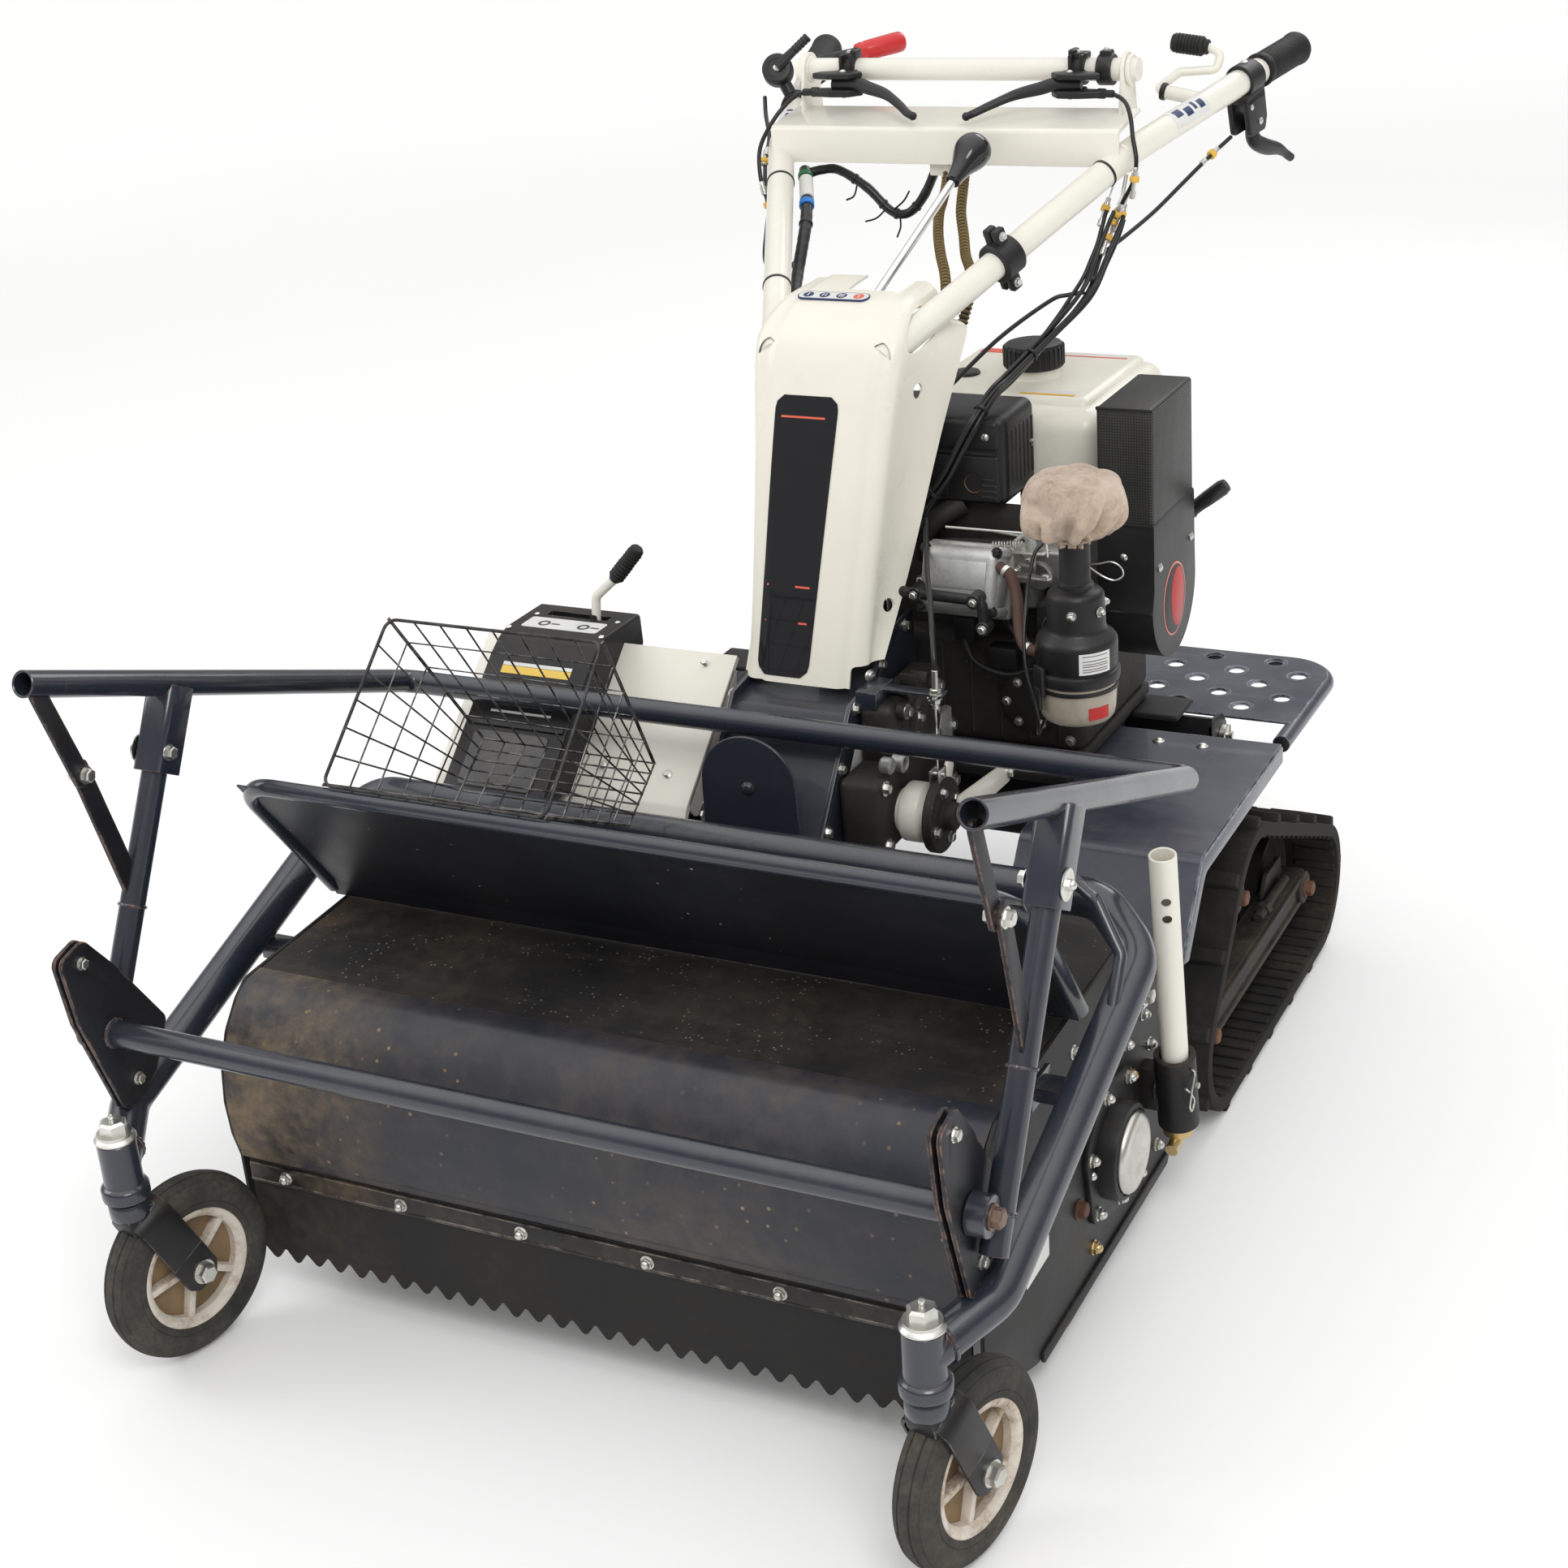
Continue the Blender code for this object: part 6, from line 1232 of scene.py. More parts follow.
def makeSwitchBox(s):
    low, high = s["low"], s["high"]
    body = sidePlate(rounded(s["profile"], 0.007, 5), low, high, edge=0.0035, segments=4)
    slot = block((-0.375, 0.7884, 0.545), (-0.29, 0.8024, 0.62), 0.0015)
    body = cutBy(body, slot)
    middle = (low + high) / 2
    a, b = (0.57, 0.44), (0.702, 0.556)
    slope = slopeFrame(a, b, middle, 0.088)
    door = placed(flatPlate(rounded(corners(-0.05, -0.084, 0.05, -0.012), 0.006, 5), -0.002, 0.0022, edge=0.001), slope)
    lip = placed(flatPlate(rounded(corners(-0.066, -0.006, 0.066, 0.002), 0.002, 3), -0.002, 0.0035, edge=0.001), slope)
    flat = placed(flatPlate(rounded(corners(-0.052, -0.016, 0.052, 0.016), 0.004, 5),
                            0, 0.0011, edge=0.0003, segments=1), Matrix.Translation((middle, 0.762, 0.5756)))
    screws = [((middle + x, y, z), (0, lean, 1), 0.0034) for x, y, z, lean in
              ((-0.052, 0.786, 0.5762, 0), (0.06, 0.786, 0.5762, 0),
               (-0.064, 0.74, 0.5752, -0.2), (0.064, 0.74, 0.5752, -0.2))]
    piece("switchColumn", body, blackPaint, replaces=("switch_box",))
    piece("switchDoor", door, greyDoor)
    piece("switchLip", lip, blackPlastic)
    piece("switchPlate", flat, bareWhite)
    strips = [("Yellow", bareYellow, -0.046, 0.048, 0.064, 0.074), ("White", bareWhite, -0.046, 0.048, 0.0745, 0.079),
              ("LowWhite", bareWhite, -0.04, 0.042, 0.013, 0.016)]
    for title, finish, x0, x1, v0, v1 in strips:
        flat = flatPlate(corners(x0, v0, x1, v1), 0, 0.0005, edge=0)
        piece("switchStrip" + title, placed(flat, slope), finish)
    ringMark = [placed(lathe([(0.0045, 0), (0.0078, 0), (0.0078, 0.0004), (0.0045, 0.0004)], (0, 0, 0), (0, 0, 1), 28),
                       Matrix.Translation((middle + x, 0.76, 0.5767))) for x in (-0.026, 0.028)]
    bars = [block((middle + x + 0.01, 0.7585, 0.5767), (middle + x + 0.021, 0.7615, 0.5771), 0)
            for x in (-0.026, 0.028)]
    piece("switchMarks", gathered(*ringMark, *bars), greyDoor)
    piece("switchScrews", heads(screws, "round"), zinc)
    lever = sweep(rounded([(-0.31, 0.795, 0.552), (-0.306, 0.796, 0.603), (-0.279, 0.799, 0.627)], 0.014, 8, False),
                  0.0056, 20)
    ribs = [(0.0, 0.0), (0.0068, 0.0), (0.0078, 0.002)]
    for i in range(9):
        ribs += [(0.0098 + 0.0004 * (i < 5), 0.006 + i * 0.005), (0.0089, 0.0078 + i * 0.005),
                 (0.0089, 0.0094 + i * 0.005)]
    ribs += [(0.0086, 0.0525), (0.0066, 0.055), (0.0, 0.0556)]
    grip = lathe(ribs, (-0.28, 0.799, 0.626), (-0.2435, 0.801, 0.668), 32)
    piece("switchRod", lever, creamPaint, "switch_lever", replaces=("switch_lever",))
    piece("switchGrip", grip, gripRubber, "switch_lever")
    boot = lathe([(0.0, 0.0), (0.0066, 0.0), (0.0066, 0.006), (0.006, 0.0072), (0.0, 0.0074)],
                 (-0.3098, 0.7952, 0.574), (-0.3094, 0.7952, 0.7), 28)
    piece("switchBoot", boot, gripRubber, "switch_lever")


makeSwitchBox(switchBox)

beltCover = {"slope": [(0.606, 0.378), (0.611, 0.378), (0.64, 0.42), (0.785, 0.548), (0.7805, 0.554), (0.632, 0.424)],
             "foot": [(0.606, 0.378), (0.611, 0.378), (0.638, 0.417), (0.631, 0.419)]}


def makeBeltCover(b):
    slope = rounded(b["slope"], [0.0005, 0.0005, 0.012, 0.0005, 0.0005, 0.017], 6)
    left = sidePlate(slope, -0.2637, -0.112, edge=0.001)
    right = sidePlate(slope, -0.452, -0.413, edge=0.001)
    foot = sidePlate(b["foot"], -0.43, -0.2, edge=0.001)
    flange = sidePlate(rounded([(0.636, 0.4235), (0.78, 0.5505), (0.77, 0.5), (0.655, 0.4)], 0.006, 4), -0.116,
                       -0.112, edge=0.0008)
    piece("beltCoverSheets", gathered(left, right, foot, flange), creamPaint, replaces=("belt_cover",))
    rows = [((x, y, z), (0, -0.66, 0.75), 0.0045) for x, y, z in
            ((-0.15, 0.66, 0.448), (-0.235, 0.66, 0.448), (-0.15, 0.77, 0.5445), (-0.432, 0.67, 0.457))]
    piece("beltCoverBolts", heads(rows, "flange"), zinc)


makeBeltCover(beltCover)

case = {"profile": [(0.586, 0.3766), (0.6, 0.42), (0.69, 0.537), (0.75, 0.545), (0.8, 0.58), (0.868, 0.59),
                    (0.868, 0.3865), (0.618, 0.3865), (0.609, 0.3768)], "half": 0.076}


def makeCase(c):
    body = sidePlate(rounded(c["profile"], [0.002, 0.008, 0.01, 0.01, 0.012, 0.006, 0.002, 0.002, 0.001], 5),
                     -c["half"], c["half"], edge=0.003, segments=4)
    mast = block((-0.045, 0.832, 0.57), (0.045, 0.866, 0.8717), 0.003, 3)
    piece("caseBody", gathered(body, mast), navySheet, replaces=("centre_case",))
    flange = sidePlate(rounded([(0.596, 0.424), (0.69, 0.548), (0.748, 0.556), (0.8, 0.591), (0.868, 0.601),
                                (0.868, 0.588), (0.804, 0.577), (0.752, 0.541), (0.694, 0.533), (0.604, 0.414)],
                               0.004, 4), 0.0705, 0.0758, edge=0.0008)
    piece("caseFlange", bothSides(flange), navyTube)
    rows = sideRows(((0.612, 0.428), (0.655, 0.486), (0.7, 0.541), (0.774, 0.566), (0.845, 0.588), (0.622, 0.395),
                     (0.85, 0.4)), 0.0758, 0.0056)
    piece("caseBolts", bothSides(heads(rows, "flange")), zinc)
    sticker = sidePlate(rounded([(0.655, 0.408), (0.706, 0.408), (0.742, 0.505), (0.702, 0.508), (0.66, 0.452)], 0.003,
                                4), 0.0758, 0.0763, edge=0)
    yellow = sidePlate([(0.655, 0.412), (0.664, 0.412), (0.668, 0.458), (0.661, 0.45)], 0.0762, 0.0766, edge=0)
    piece("casePanelWhite", sticker, bareWhite)
    piece("casePanelYellow", yellow, bareYellow)
    lobe = [(-0.06, 0.3763), (0.062, 0.3763)] + ring((0.001, 0.49), 0.058, 28, 0.0, 180.0)
    piece("caseShield", frontPlate(lobe, 0.5755, 0.5795, edge=0.0014, segments=3), navySheet, replaces=("front_plate",))
    piece("caseRivet", heads([((0.001, 0.5757, 0.488), (0, -1, 0), 0.0075)], "round"), navyTube)


makeCase(case)
print("switch column and case made")


# Gearbox and clutch drum

gear = {"drumY": 0.7, "drumZ": 0.425, "hubY": 0.77, "hubZ": 0.5,
        "bosses": ((0.655, 0.47), (0.655, 0.4), (0.845, 0.47), (0.845, 0.4), (0.75, 0.398), (0.812, 0.532),
                   (0.722, 0.535))}


def makeGearbox(g):
    low = block((0.0765, 0.64, 0.3865), (0.128, 0.86, 0.48), 0.01, 4)
    hubY, hubZ = g["hubY"], g["hubZ"]
    dome = lathe([(0, 0), (0.045, 0), (0.045, 0.038), (0.043, 0.042), (0.036, 0.046), (0.035, 0.053), (0.031, 0.0555),
                  (0, 0.056)], (0.078, hubY, hubZ), (1, hubY, hubZ), 56)
    upper = block((0.078, 0.7, 0.47), (0.12, 0.85, 0.545), 0.01, 4)
    ribs = [placed(block((0.1, -0.0025, 0.046), (0.1215, 0.0025, 0.06), 0.0012),
                   Matrix.Translation((0, hubY, hubZ)) @ turned(a, "X"))
            for a in range(-60, 90, 30)]
    boss = [rod((0.118, y, z), (0.1285, y, z), 0.0105, 24, 0.0015) for y, z in g["bosses"]]
    piece("gearboxCastings", gathered(low, dome, upper, *ribs, *boss), castDark, replaces=("gearbox",))
    rows = sideRows(g["bosses"], 0.1283, 0.0062) + sideRows(ring((hubY, hubZ), 0.0275, 6, 20.0), 0.1318, 0.0052)
    piece("gearboxBolts", heads(rows, "flange"), zinc)
    silver = gathered(pipe((0.119, 0.735, 0.492), (0.1355, 0.735, 0.492), 0.0135, 0.0075, 32, 0.0015),
                      pipe((0.119, 0.7, 0.482), (0.134, 0.7, 0.482), 0.011, 0.006, 32, 0.0015),
                      rod((0.119, 0.668, 0.492), (0.133, 0.668, 0.492), 0.0095, 28, 0.002),
                      block((0.12, 0.805, 0.455), (0.131, 0.842, 0.496), 0.003, 3))
    piece("gearboxSilver", silver, castSilver)
    y, z = g["drumY"], g["drumZ"]
    drum = lathe([(0.0, 0.0), (0.0255, 0.0), (0.0262, 0.0008), (0.0262, 0.004), (0.0332, 0.0072), (0.0342, 0.009),
                  (0.0342, 0.027), (0.033, 0.029), (0.0285, 0.033), (0.028, 0.036), (0.03, 0.0395),
                  (0.03, 0.041), (0.0, 0.0415)], (0.1283, y, z), (1, y, z), 64)
    flange = lathe([(0.0, 0.04), (0.0425, 0.04), (0.0432, 0.041), (0.0432, 0.05), (0.0422, 0.0512), (0.017, 0.052),
                    (0.016, 0.053), (0.016, 0.064), (0.0145, 0.0656), (0.009, 0.066), (0.0, 0.066)],
                   (0.1283, y, z), (1, y, z), 64)
    piece("clutchDrum", drum, creamPaint, replaces=("clutch_drum",))
    piece("clutchFlange", flange, castDark)
    bolts = sideRows(ring((y, z), 0.031, 4, 15.0), 0.1798, 0.0055)
    clevis = gathered(block((0.166, y - 0.011, z + 0.034), (0.1685, y + 0.011, z + 0.056), 0.0008),
                      block((0.1755, y - 0.011, z + 0.034), (0.178, y + 0.011, z + 0.056), 0.0008),
                      rod((0.163, y, z + 0.049), (0.181, y, z + 0.049), 0.003, 20))
    piece("clutchFasteners", gathered(heads(bolts, "hex"), clevis), zinc)
    wireX = 0.166
    rope = sweep(flowing([(0.172, y, z + 0.052), (0.17, 0.706, 0.52), (wireX, 0.716, 0.562)], 0.004), 0.0013, 10)
    piece("clutchWire", rope, chrome)
    bracket = gathered(block((0.1, 0.716, 0.558), (0.174, 0.734, 0.5615), 0.0008),
                       block((0.076, 0.7, 0.54), (0.102, 0.75, 0.5615), 0.002))
    piece("clutchBracket", bracket, navySheet)
    barrel = gathered(rod((wireX, 0.7165, 0.545), (wireX, 0.7185, 0.59), 0.0036, 20),
                      heads([((wireX, 0.7175, 0.5618), (0, 0, 1), 0.0062),
                             ((wireX, 0.7172, 0.5578), (0, 0, -1), 0.0062)]))
    piece("clutchAdjuster", barrel, zinc)
    sleeve = sweep(flowing([(wireX, 0.7185, 0.588), (0.164, 0.723, 0.602), (0.156, 0.74, 0.622), (0.14, 0.774, 0.646),
                            (0.122, 0.81, 0.668), (0.106, 0.848, 0.69), (0.094, 0.88, 0.705)], 0.006), 0.0032, 16)
    piece("clutchCable", sleeve, cableSleeve)
    link = gathered(sidePlate(rounded([(0.715, 0.405), (0.875, 0.395), (0.88, 0.42), (0.72, 0.44)], 0.01, 6), 0.184,
                              0.188, edge=0.0008),
                    sidePlate(rounded([(0.73, 0.395), (0.76, 0.3905), (0.79, 0.452), (0.772, 0.46)], 0.008, 6), 0.15,
                              0.154, edge=0.0008))
    piece("clutchArm", link, creamPaint)
    piece("clutchArmBolts", heads(sideRows(((0.728, 0.422), (0.868, 0.408)), 0.188, 0.0062)), zinc)


makeGearbox(gear)
print("gearbox made")


# Cowl: a lofted shell with a narrow head, flared sides and a dark panel

cowl = {"front": [(0.721, 0.553), (0.757, 0.675), (0.792, 0.793), (0.825, 0.898), (0.846, 0.93), (0.884, 0.952),
                  (0.925, 0.9575), (0.97, 0.96)],
        "rear": [(0.746, 0.553), (0.828, 0.665), (0.9, 0.793), (0.952, 0.885), (0.966, 0.905), (0.97, 0.912),
                 (0.97, 0.914), (0.97, 0.916)],
        "frontHalf": [0.066, 0.072, 0.078, 0.086, 0.084, 0.076, 0.074, 0.073],
        "rearHalf": [0.083, 0.093, 0.105, 0.116, 0.116, 0.108, 0.1, 0.094],
        "corner": 0.017, "crown": 0.0042, "wall": 0.0028, "cupHigh": (0.872, 0.857), "cupLow": (0.79, 0.632)}


def spread(rows, share):
    # the value at a share of the way through evenly numbered rows, eased between them
    at = min(max(share, 0.0), 0.99999) * (len(rows) - 1)
    i = int(at)
    t = at - i
    before, first = rows[max(0, i - 1)], rows[i]
    last, after = rows[i + 1], rows[min(len(rows) - 1, i + 2)]
    if isinstance(first, tuple):
        return tuple(spread([p, q, r, s], (1 + t) / 3) for p, q, r, s in zip(before, first, last, after))
    return 0.5 * (2 * first + (last - before) * t + (2 * before - 5 * first + 4 * last - after) * t * t
                  + (3 * first - before - 3 * last + after) * t * t * t)


def spreadFlat(rows, share):
    at = min(max(share, 0.0), 0.99999) * (len(rows) - 1)
    i = int(at)
    t = at - i
    if isinstance(rows[0], tuple):
        return tuple(a + (b - a) * t for a, b in zip(rows[i], rows[i + 1]))
    return rows[i] + (rows[i + 1] - rows[i]) * t


def cowlSection(c, share, count=14):
    # half a section, from the middle of the front to the rear edge of the side
    fy, fz = spreadFlat(smoothFront, share)
    ry, rz = spreadFlat(smoothRear, share)
    wf = spreadFlat(smoothFrontHalf, share)
    wr = spreadFlat(smoothRearHalf, share)
    front, rear = Vector((0, fy, fz)), Vector((0, ry, rz))
    back = (rear - front).normalized()
    corner = Vector((wf, 0, 0)) + front
    end = Vector((wr, 0, 0)) + rear
    side = end - corner
    r = min(c["corner"], side.length * 0.45)
    row = []
    for k in range(count + 1):
        x = (wf - r) * k / count
        ease = min(1.0, max(0.0, (x / wf - 0.66) / 0.16))
        crown = c["crown"] * (1 - ease ** 2 * (3 - 2 * ease))
        row.append(Vector((x, 0, 0)) + front - back * (crown - c["crown"] + 0.001 * (1 - (x / wf) ** 2)))
    base = Vector((wf - r, 0, 0)) + front + back * c["crown"]
    sideEnd = corner + side.normalized() * r
    for k in range(1, 9):
        t = k / 8
        row.append(base * (1 - t) ** 2 + corner * 2 * t * (1 - t) + sideEnd * t * t)
    steps = 10
    for k in range(1, steps + 1):
        t = k / steps
        row.append(sideEnd.lerp(end, t) - Vector((0.004 * math.sin(math.pi * t), 0, 0)))
    return row


stations = 60
smoothFront, smoothRear, smoothFrontHalf, smoothRearHalf = ([spread(cowl[key], i / stations)
                                                             for i in range(stations + 1)]
                                                            for key in ("front", "rear", "frontHalf", "rearHalf"))


def cowlFace(x, share, lift):
    # a place on the front face, lifted off it
    row = cowlSection(cowl, share)
    near = max(0, min(len(row) - 2, next((k for k in range(len(row) - 1) if row[k + 1].x >= abs(x)), 0)))
    a, b = row[near], row[near + 1]
    t = (abs(x) - a.x) / max(1e-6, b.x - a.x)
    p = a.lerp(b, t)
    step = Vector((0, *spreadFlat(smoothFront, share + 0.01))) - Vector((0, *spreadFlat(smoothFront, share - 0.01)))
    normal = Vector((0, -step.z, step.y)).normalized()
    return Vector((x, p.y, p.z)) + normal * lift


def frontShare(height):
    # the share of the way along the cowl's front where it reaches a height
    for i in range(stations):
        a, b = smoothFront[i][1], smoothFront[i + 1][1]
        if a <= height <= b:
            return (i + (height - a) / max(1e-9, b - a)) / stations
    return 1.0


def makeCowl(c):
    rows = []
    for i in range(stations + 1):
        half = cowlSection(c, i / stations)
        rows.append([Vector((-p.x, p.y, p.z)) for p in reversed(half[1:])] + half)
    width = len(rows[0])
    points = [p for row in rows for p in row]
    faces = [(i * width + k, i * width + k + 1, (i + 1) * width + k + 1, (i + 1) * width + k)
             for i in range(stations) for k in range(width - 1)]
    mesh = meshFrom(points, faces)
    mesh = withModifier(mesh, "SOLIDIFY", thickness=c["wall"], offset=-1.0)
    gate = block((-0.006, 0.916, 0.93), (0.056, 0.972, 0.99), 0.004)
    room = rod((0.0645, 0.839, 0.899), (0.229, 1.217, 1.060), 0.0185, 32)  # for the handlebar's side tube
    holes = [rod((0.07, *c["cupHigh"]), (0.16, *c["cupHigh"]), 0.0088, 32),
             rod((0.06, *c["cupLow"]), (0.16, *c["cupLow"]), 0.008, 32)]
    notch = block((0.058, 0.7, 0.54), (0.11, 0.8, 0.577), 0.006, 3)
    mesh = cutBy(mesh, gate, room, flipped(room), *holes, flipped(holes[0]), notch)
    piece("cowlShell", mesh, creamPlastic, replaces=("cowl",), angle=45)
    cups = [lathe([(0, 0), (0.0078, 0), (0.0078, 0.0015), (0, 0.0015)], (x, y, z), (x + 1, y, z), 28)
            for x, y, z in ((0.083, *c["cupHigh"]), (0.071, *c["cupLow"]))]
    piece("cowlCups", gathered(*cups), blackPlastic)
    screws = heads([((0.0845, *c["cupHigh"]), (1, 0, 0), 0.0048), ((0.0725, *c["cupLow"]), (1, 0, 0), 0.0044),
                    ((0.078, 0.738, 0.566), (0.9, -0.4, 0), 0.0072)], "round")
    piece("cowlScrews", screws, zinc)
    steps, across = 44, 16
    corner = 0.055
    grid, quads = [], []
    for i in range(steps + 1):
        t = i / steps
        inset = 0.0
        for edge in (t, 1 - t):
            if edge < corner:
                inset = 0.01 * (1 - math.sqrt(max(0.0, 1 - (1 - edge / corner) ** 2)))
        left = -0.058 + 0.006 * t + inset
        right = 0.008 + 0.018 * t - inset
        height = 0.56 + (0.862 - 0.56) * t
        share = frontShare(height)
        for k in range(across + 1):
            grid.append(cowlFace(left + (right - left) * k / across, share, 0.0007))
    for i in range(steps):
        for k in range(across):
            a = i * (across + 1) + k
            quads.append((a, a + 1, a + across + 2, a + across + 1))
    panel = withModifier(meshFrom(grid, quads), "SOLIDIFY", thickness=0.0014, offset=-1.0)
    piece("cowlPanel", panel, glossBlack, replaces=("cowl_panel",), angle=45)
    lines = []
    for height, left, right in ((0.657, -0.05, 0.004), (0.618, -0.05, 0.003), (0.838, -0.044, 0.01)):
        share, above = frontShare(height), frontShare(height + 0.0022)
        strip = [cowlFace(left, share, 0.0011), cowlFace(right, share, 0.0011), cowlFace(right, above, 0.0011),
                 cowlFace(left, above, 0.0011)]
        lines.append(meshFrom(strip, [(0, 1, 2, 3)]))
    piece("cowlPanelLines", gathered(*lines), bareRed)


makeCowl(cowl)
print("cowl made")


# Gear plate on the cowl

gearPlate = {"share": 0.742, "x": -0.012, "length": 0.088, "width": 0.019}


def makeGearPlate(g):
    at = cowlFace(g["x"], g["share"], 0.0004)
    ahead = (cowlFace(g["x"], g["share"] + 0.02, 0.0004) - at).normalized()
    side = Vector((1, 0, 0))
    place = Matrix.Translation(at) @ Matrix((side, ahead, side.cross(ahead))).transposed().to_4x4()
    half, w = g["length"] / 2, g["width"] / 2

    def oval(shrink, low, high):
        line = ring((half - w, 0), w - shrink, 16, -90, 180) + ring((-half + w, 0), w - shrink, 16, 90, 180)
        return placed(flatPlate(line, low, high, edge=0), place)

    piece("gearPlateEdge", oval(0.0, -0.001, 0.001), bandBlueDark)
    piece("gearPlateFace", oval(0.0014, 0.0, 0.0013), bareWhite)
    rows = [(-0.031, bandBlueDark, (0,)), (-0.011, bandBlueDark, (0.0018, -0.0018)),
            (0.01, bandBlueDark, (0, 0.0024, -0.0024)), (0.031, bareRed, (0,))]
    for i, (x, finish, shifts) in enumerate(rows):
        disc = lathe([(0, 0), (0.0062, 0), (0.0062, 0.0016), (0, 0.0016)], (x, 0, 0), (x, 0, 1), 28)
        piece("gearIcon" + str(i), placed(disc, place), finish)
        mark = block((x - 0.0006, -0.0034, 0.0016), (x + 0.0006, 0.0034, 0.0019), 0)
        marks = gathered(*[placed(mark, Matrix.Translation((shift, 0, 0))) for shift in shifts])
        piece("gearMark" + str(i), placed(marks, place), bareWhite)


makeGearPlate(gearPlate)


# Handlebar, its clamps, grips and levers

handle = {"low": (0.0645, 0.839, 0.899), "bend": (0.229, 1.217, 1.06), "grip": (0.298, 1.451, 1.106),
          "end": (0.3255, 1.563, 1.123), "tube": 0.0162, "crossY": 1.264, "crossZ": 1.144}
handleLow, handleBend = Vector(handle["low"]), Vector(handle["bend"])
tubeGrip, tubeEnd = Vector(handle["grip"]), Vector(handle["end"])
gripLine = (tubeEnd - tubeGrip).normalized()
crossY, crossZ = handle["crossY"], handle["crossZ"]
clampAt = {"x": 0.147, "y": crossY - 0.032, "z": crossZ - 0.012}
triggerTurn = gripLine.to_track_quat("Y", "Z").to_matrix()
triggerFrame = Matrix.Translation(tubeGrip - gripLine * 0.004) @ triggerTurn.to_4x4()


def makeHandlebar(h):
    tubes = sweep(rounded([handleLow, handleBend, tubeGrip, tubeEnd], 0.12, 14, False), h["tube"], 36)
    base = block((-0.062, 0.836, 0.872), (0.062, 0.88, 0.89), 0.002)
    profile = [(-0.037, -0.014), (-0.033, -0.014), (-0.033, 0.024), (0.045, 0.036), (0.045, 0.04), (-0.037, 0.029)]
    profile = [(handleBend.y + y, handleBend.z + z) for y, z in profile]
    channel = sidePlate(rounded(profile, [0.0004, 0.0004, 0.004, 0.0004, 0.0004, 0.007], 5), -0.224, 0.224, edge=0.0008)
    gripBar = sweep([(-0.2215, crossY, crossZ), (0.2215, crossY, crossZ)], 0.0134, 36)
    caps = lathe([(0, 0), (0.0172, 0), (0.018, 0.001), (0.018, 0.004), (0.0168, 0.0052), (0, 0.0052)],
                 (0.2095, crossY, crossZ), (1, crossY, crossZ), 36)
    foot = handleBend.z + 0.03
    ear = [(crossY - 0.029, foot), (crossY + 0.029, foot)] + ring((crossY, crossZ), 0.0205, 20, 0.0, 180.0)
    ears = gathered(sidePlate(ear, 0.2045, 0.209, edge=0.001), caps)
    beads = gathered(weld((0.22, 1.203, 1.053), handleBend - handleLow, 0.0164, 0.0026),
                     weld((0.204, crossY, crossZ), (1, 0, 0), 0.0136, 0.002, 4.0))
    sidePost = rod((0.272, 1.37, 1.09), (0.2187, 1.37, 1.10066), 0.0085, 28, 0.001)
    redPost = rod((-0.268, 1.36, 1.085), (-0.262, 1.375, 1.1245), 0.0085, 28, 0.001)
    gearSeat = block((0.0095, 0.865, 0.885), (0.0235, 0.8757, 0.928), 0.0015)
    mesh = gathered(bothSides(gathered(tubes, ears, beads)), base, channel, gripBar, sidePost, redPost, gearSeat)
    piece("handleTubes", mesh, creamPaint, replaces=("handlebar",))
    plugs = lathe([(0, 0), (0.0145, 0), (0.016, 0.001), (0.0165, 0.003), (0.015, 0.006), (0, 0.0075)],
                  tubeEnd - gripLine * 0.003, tubeEnd + gripLine, 32)
    piece("tubePlugs", bothSides(plugs), blackPlastic)


makeHandlebar(handle)


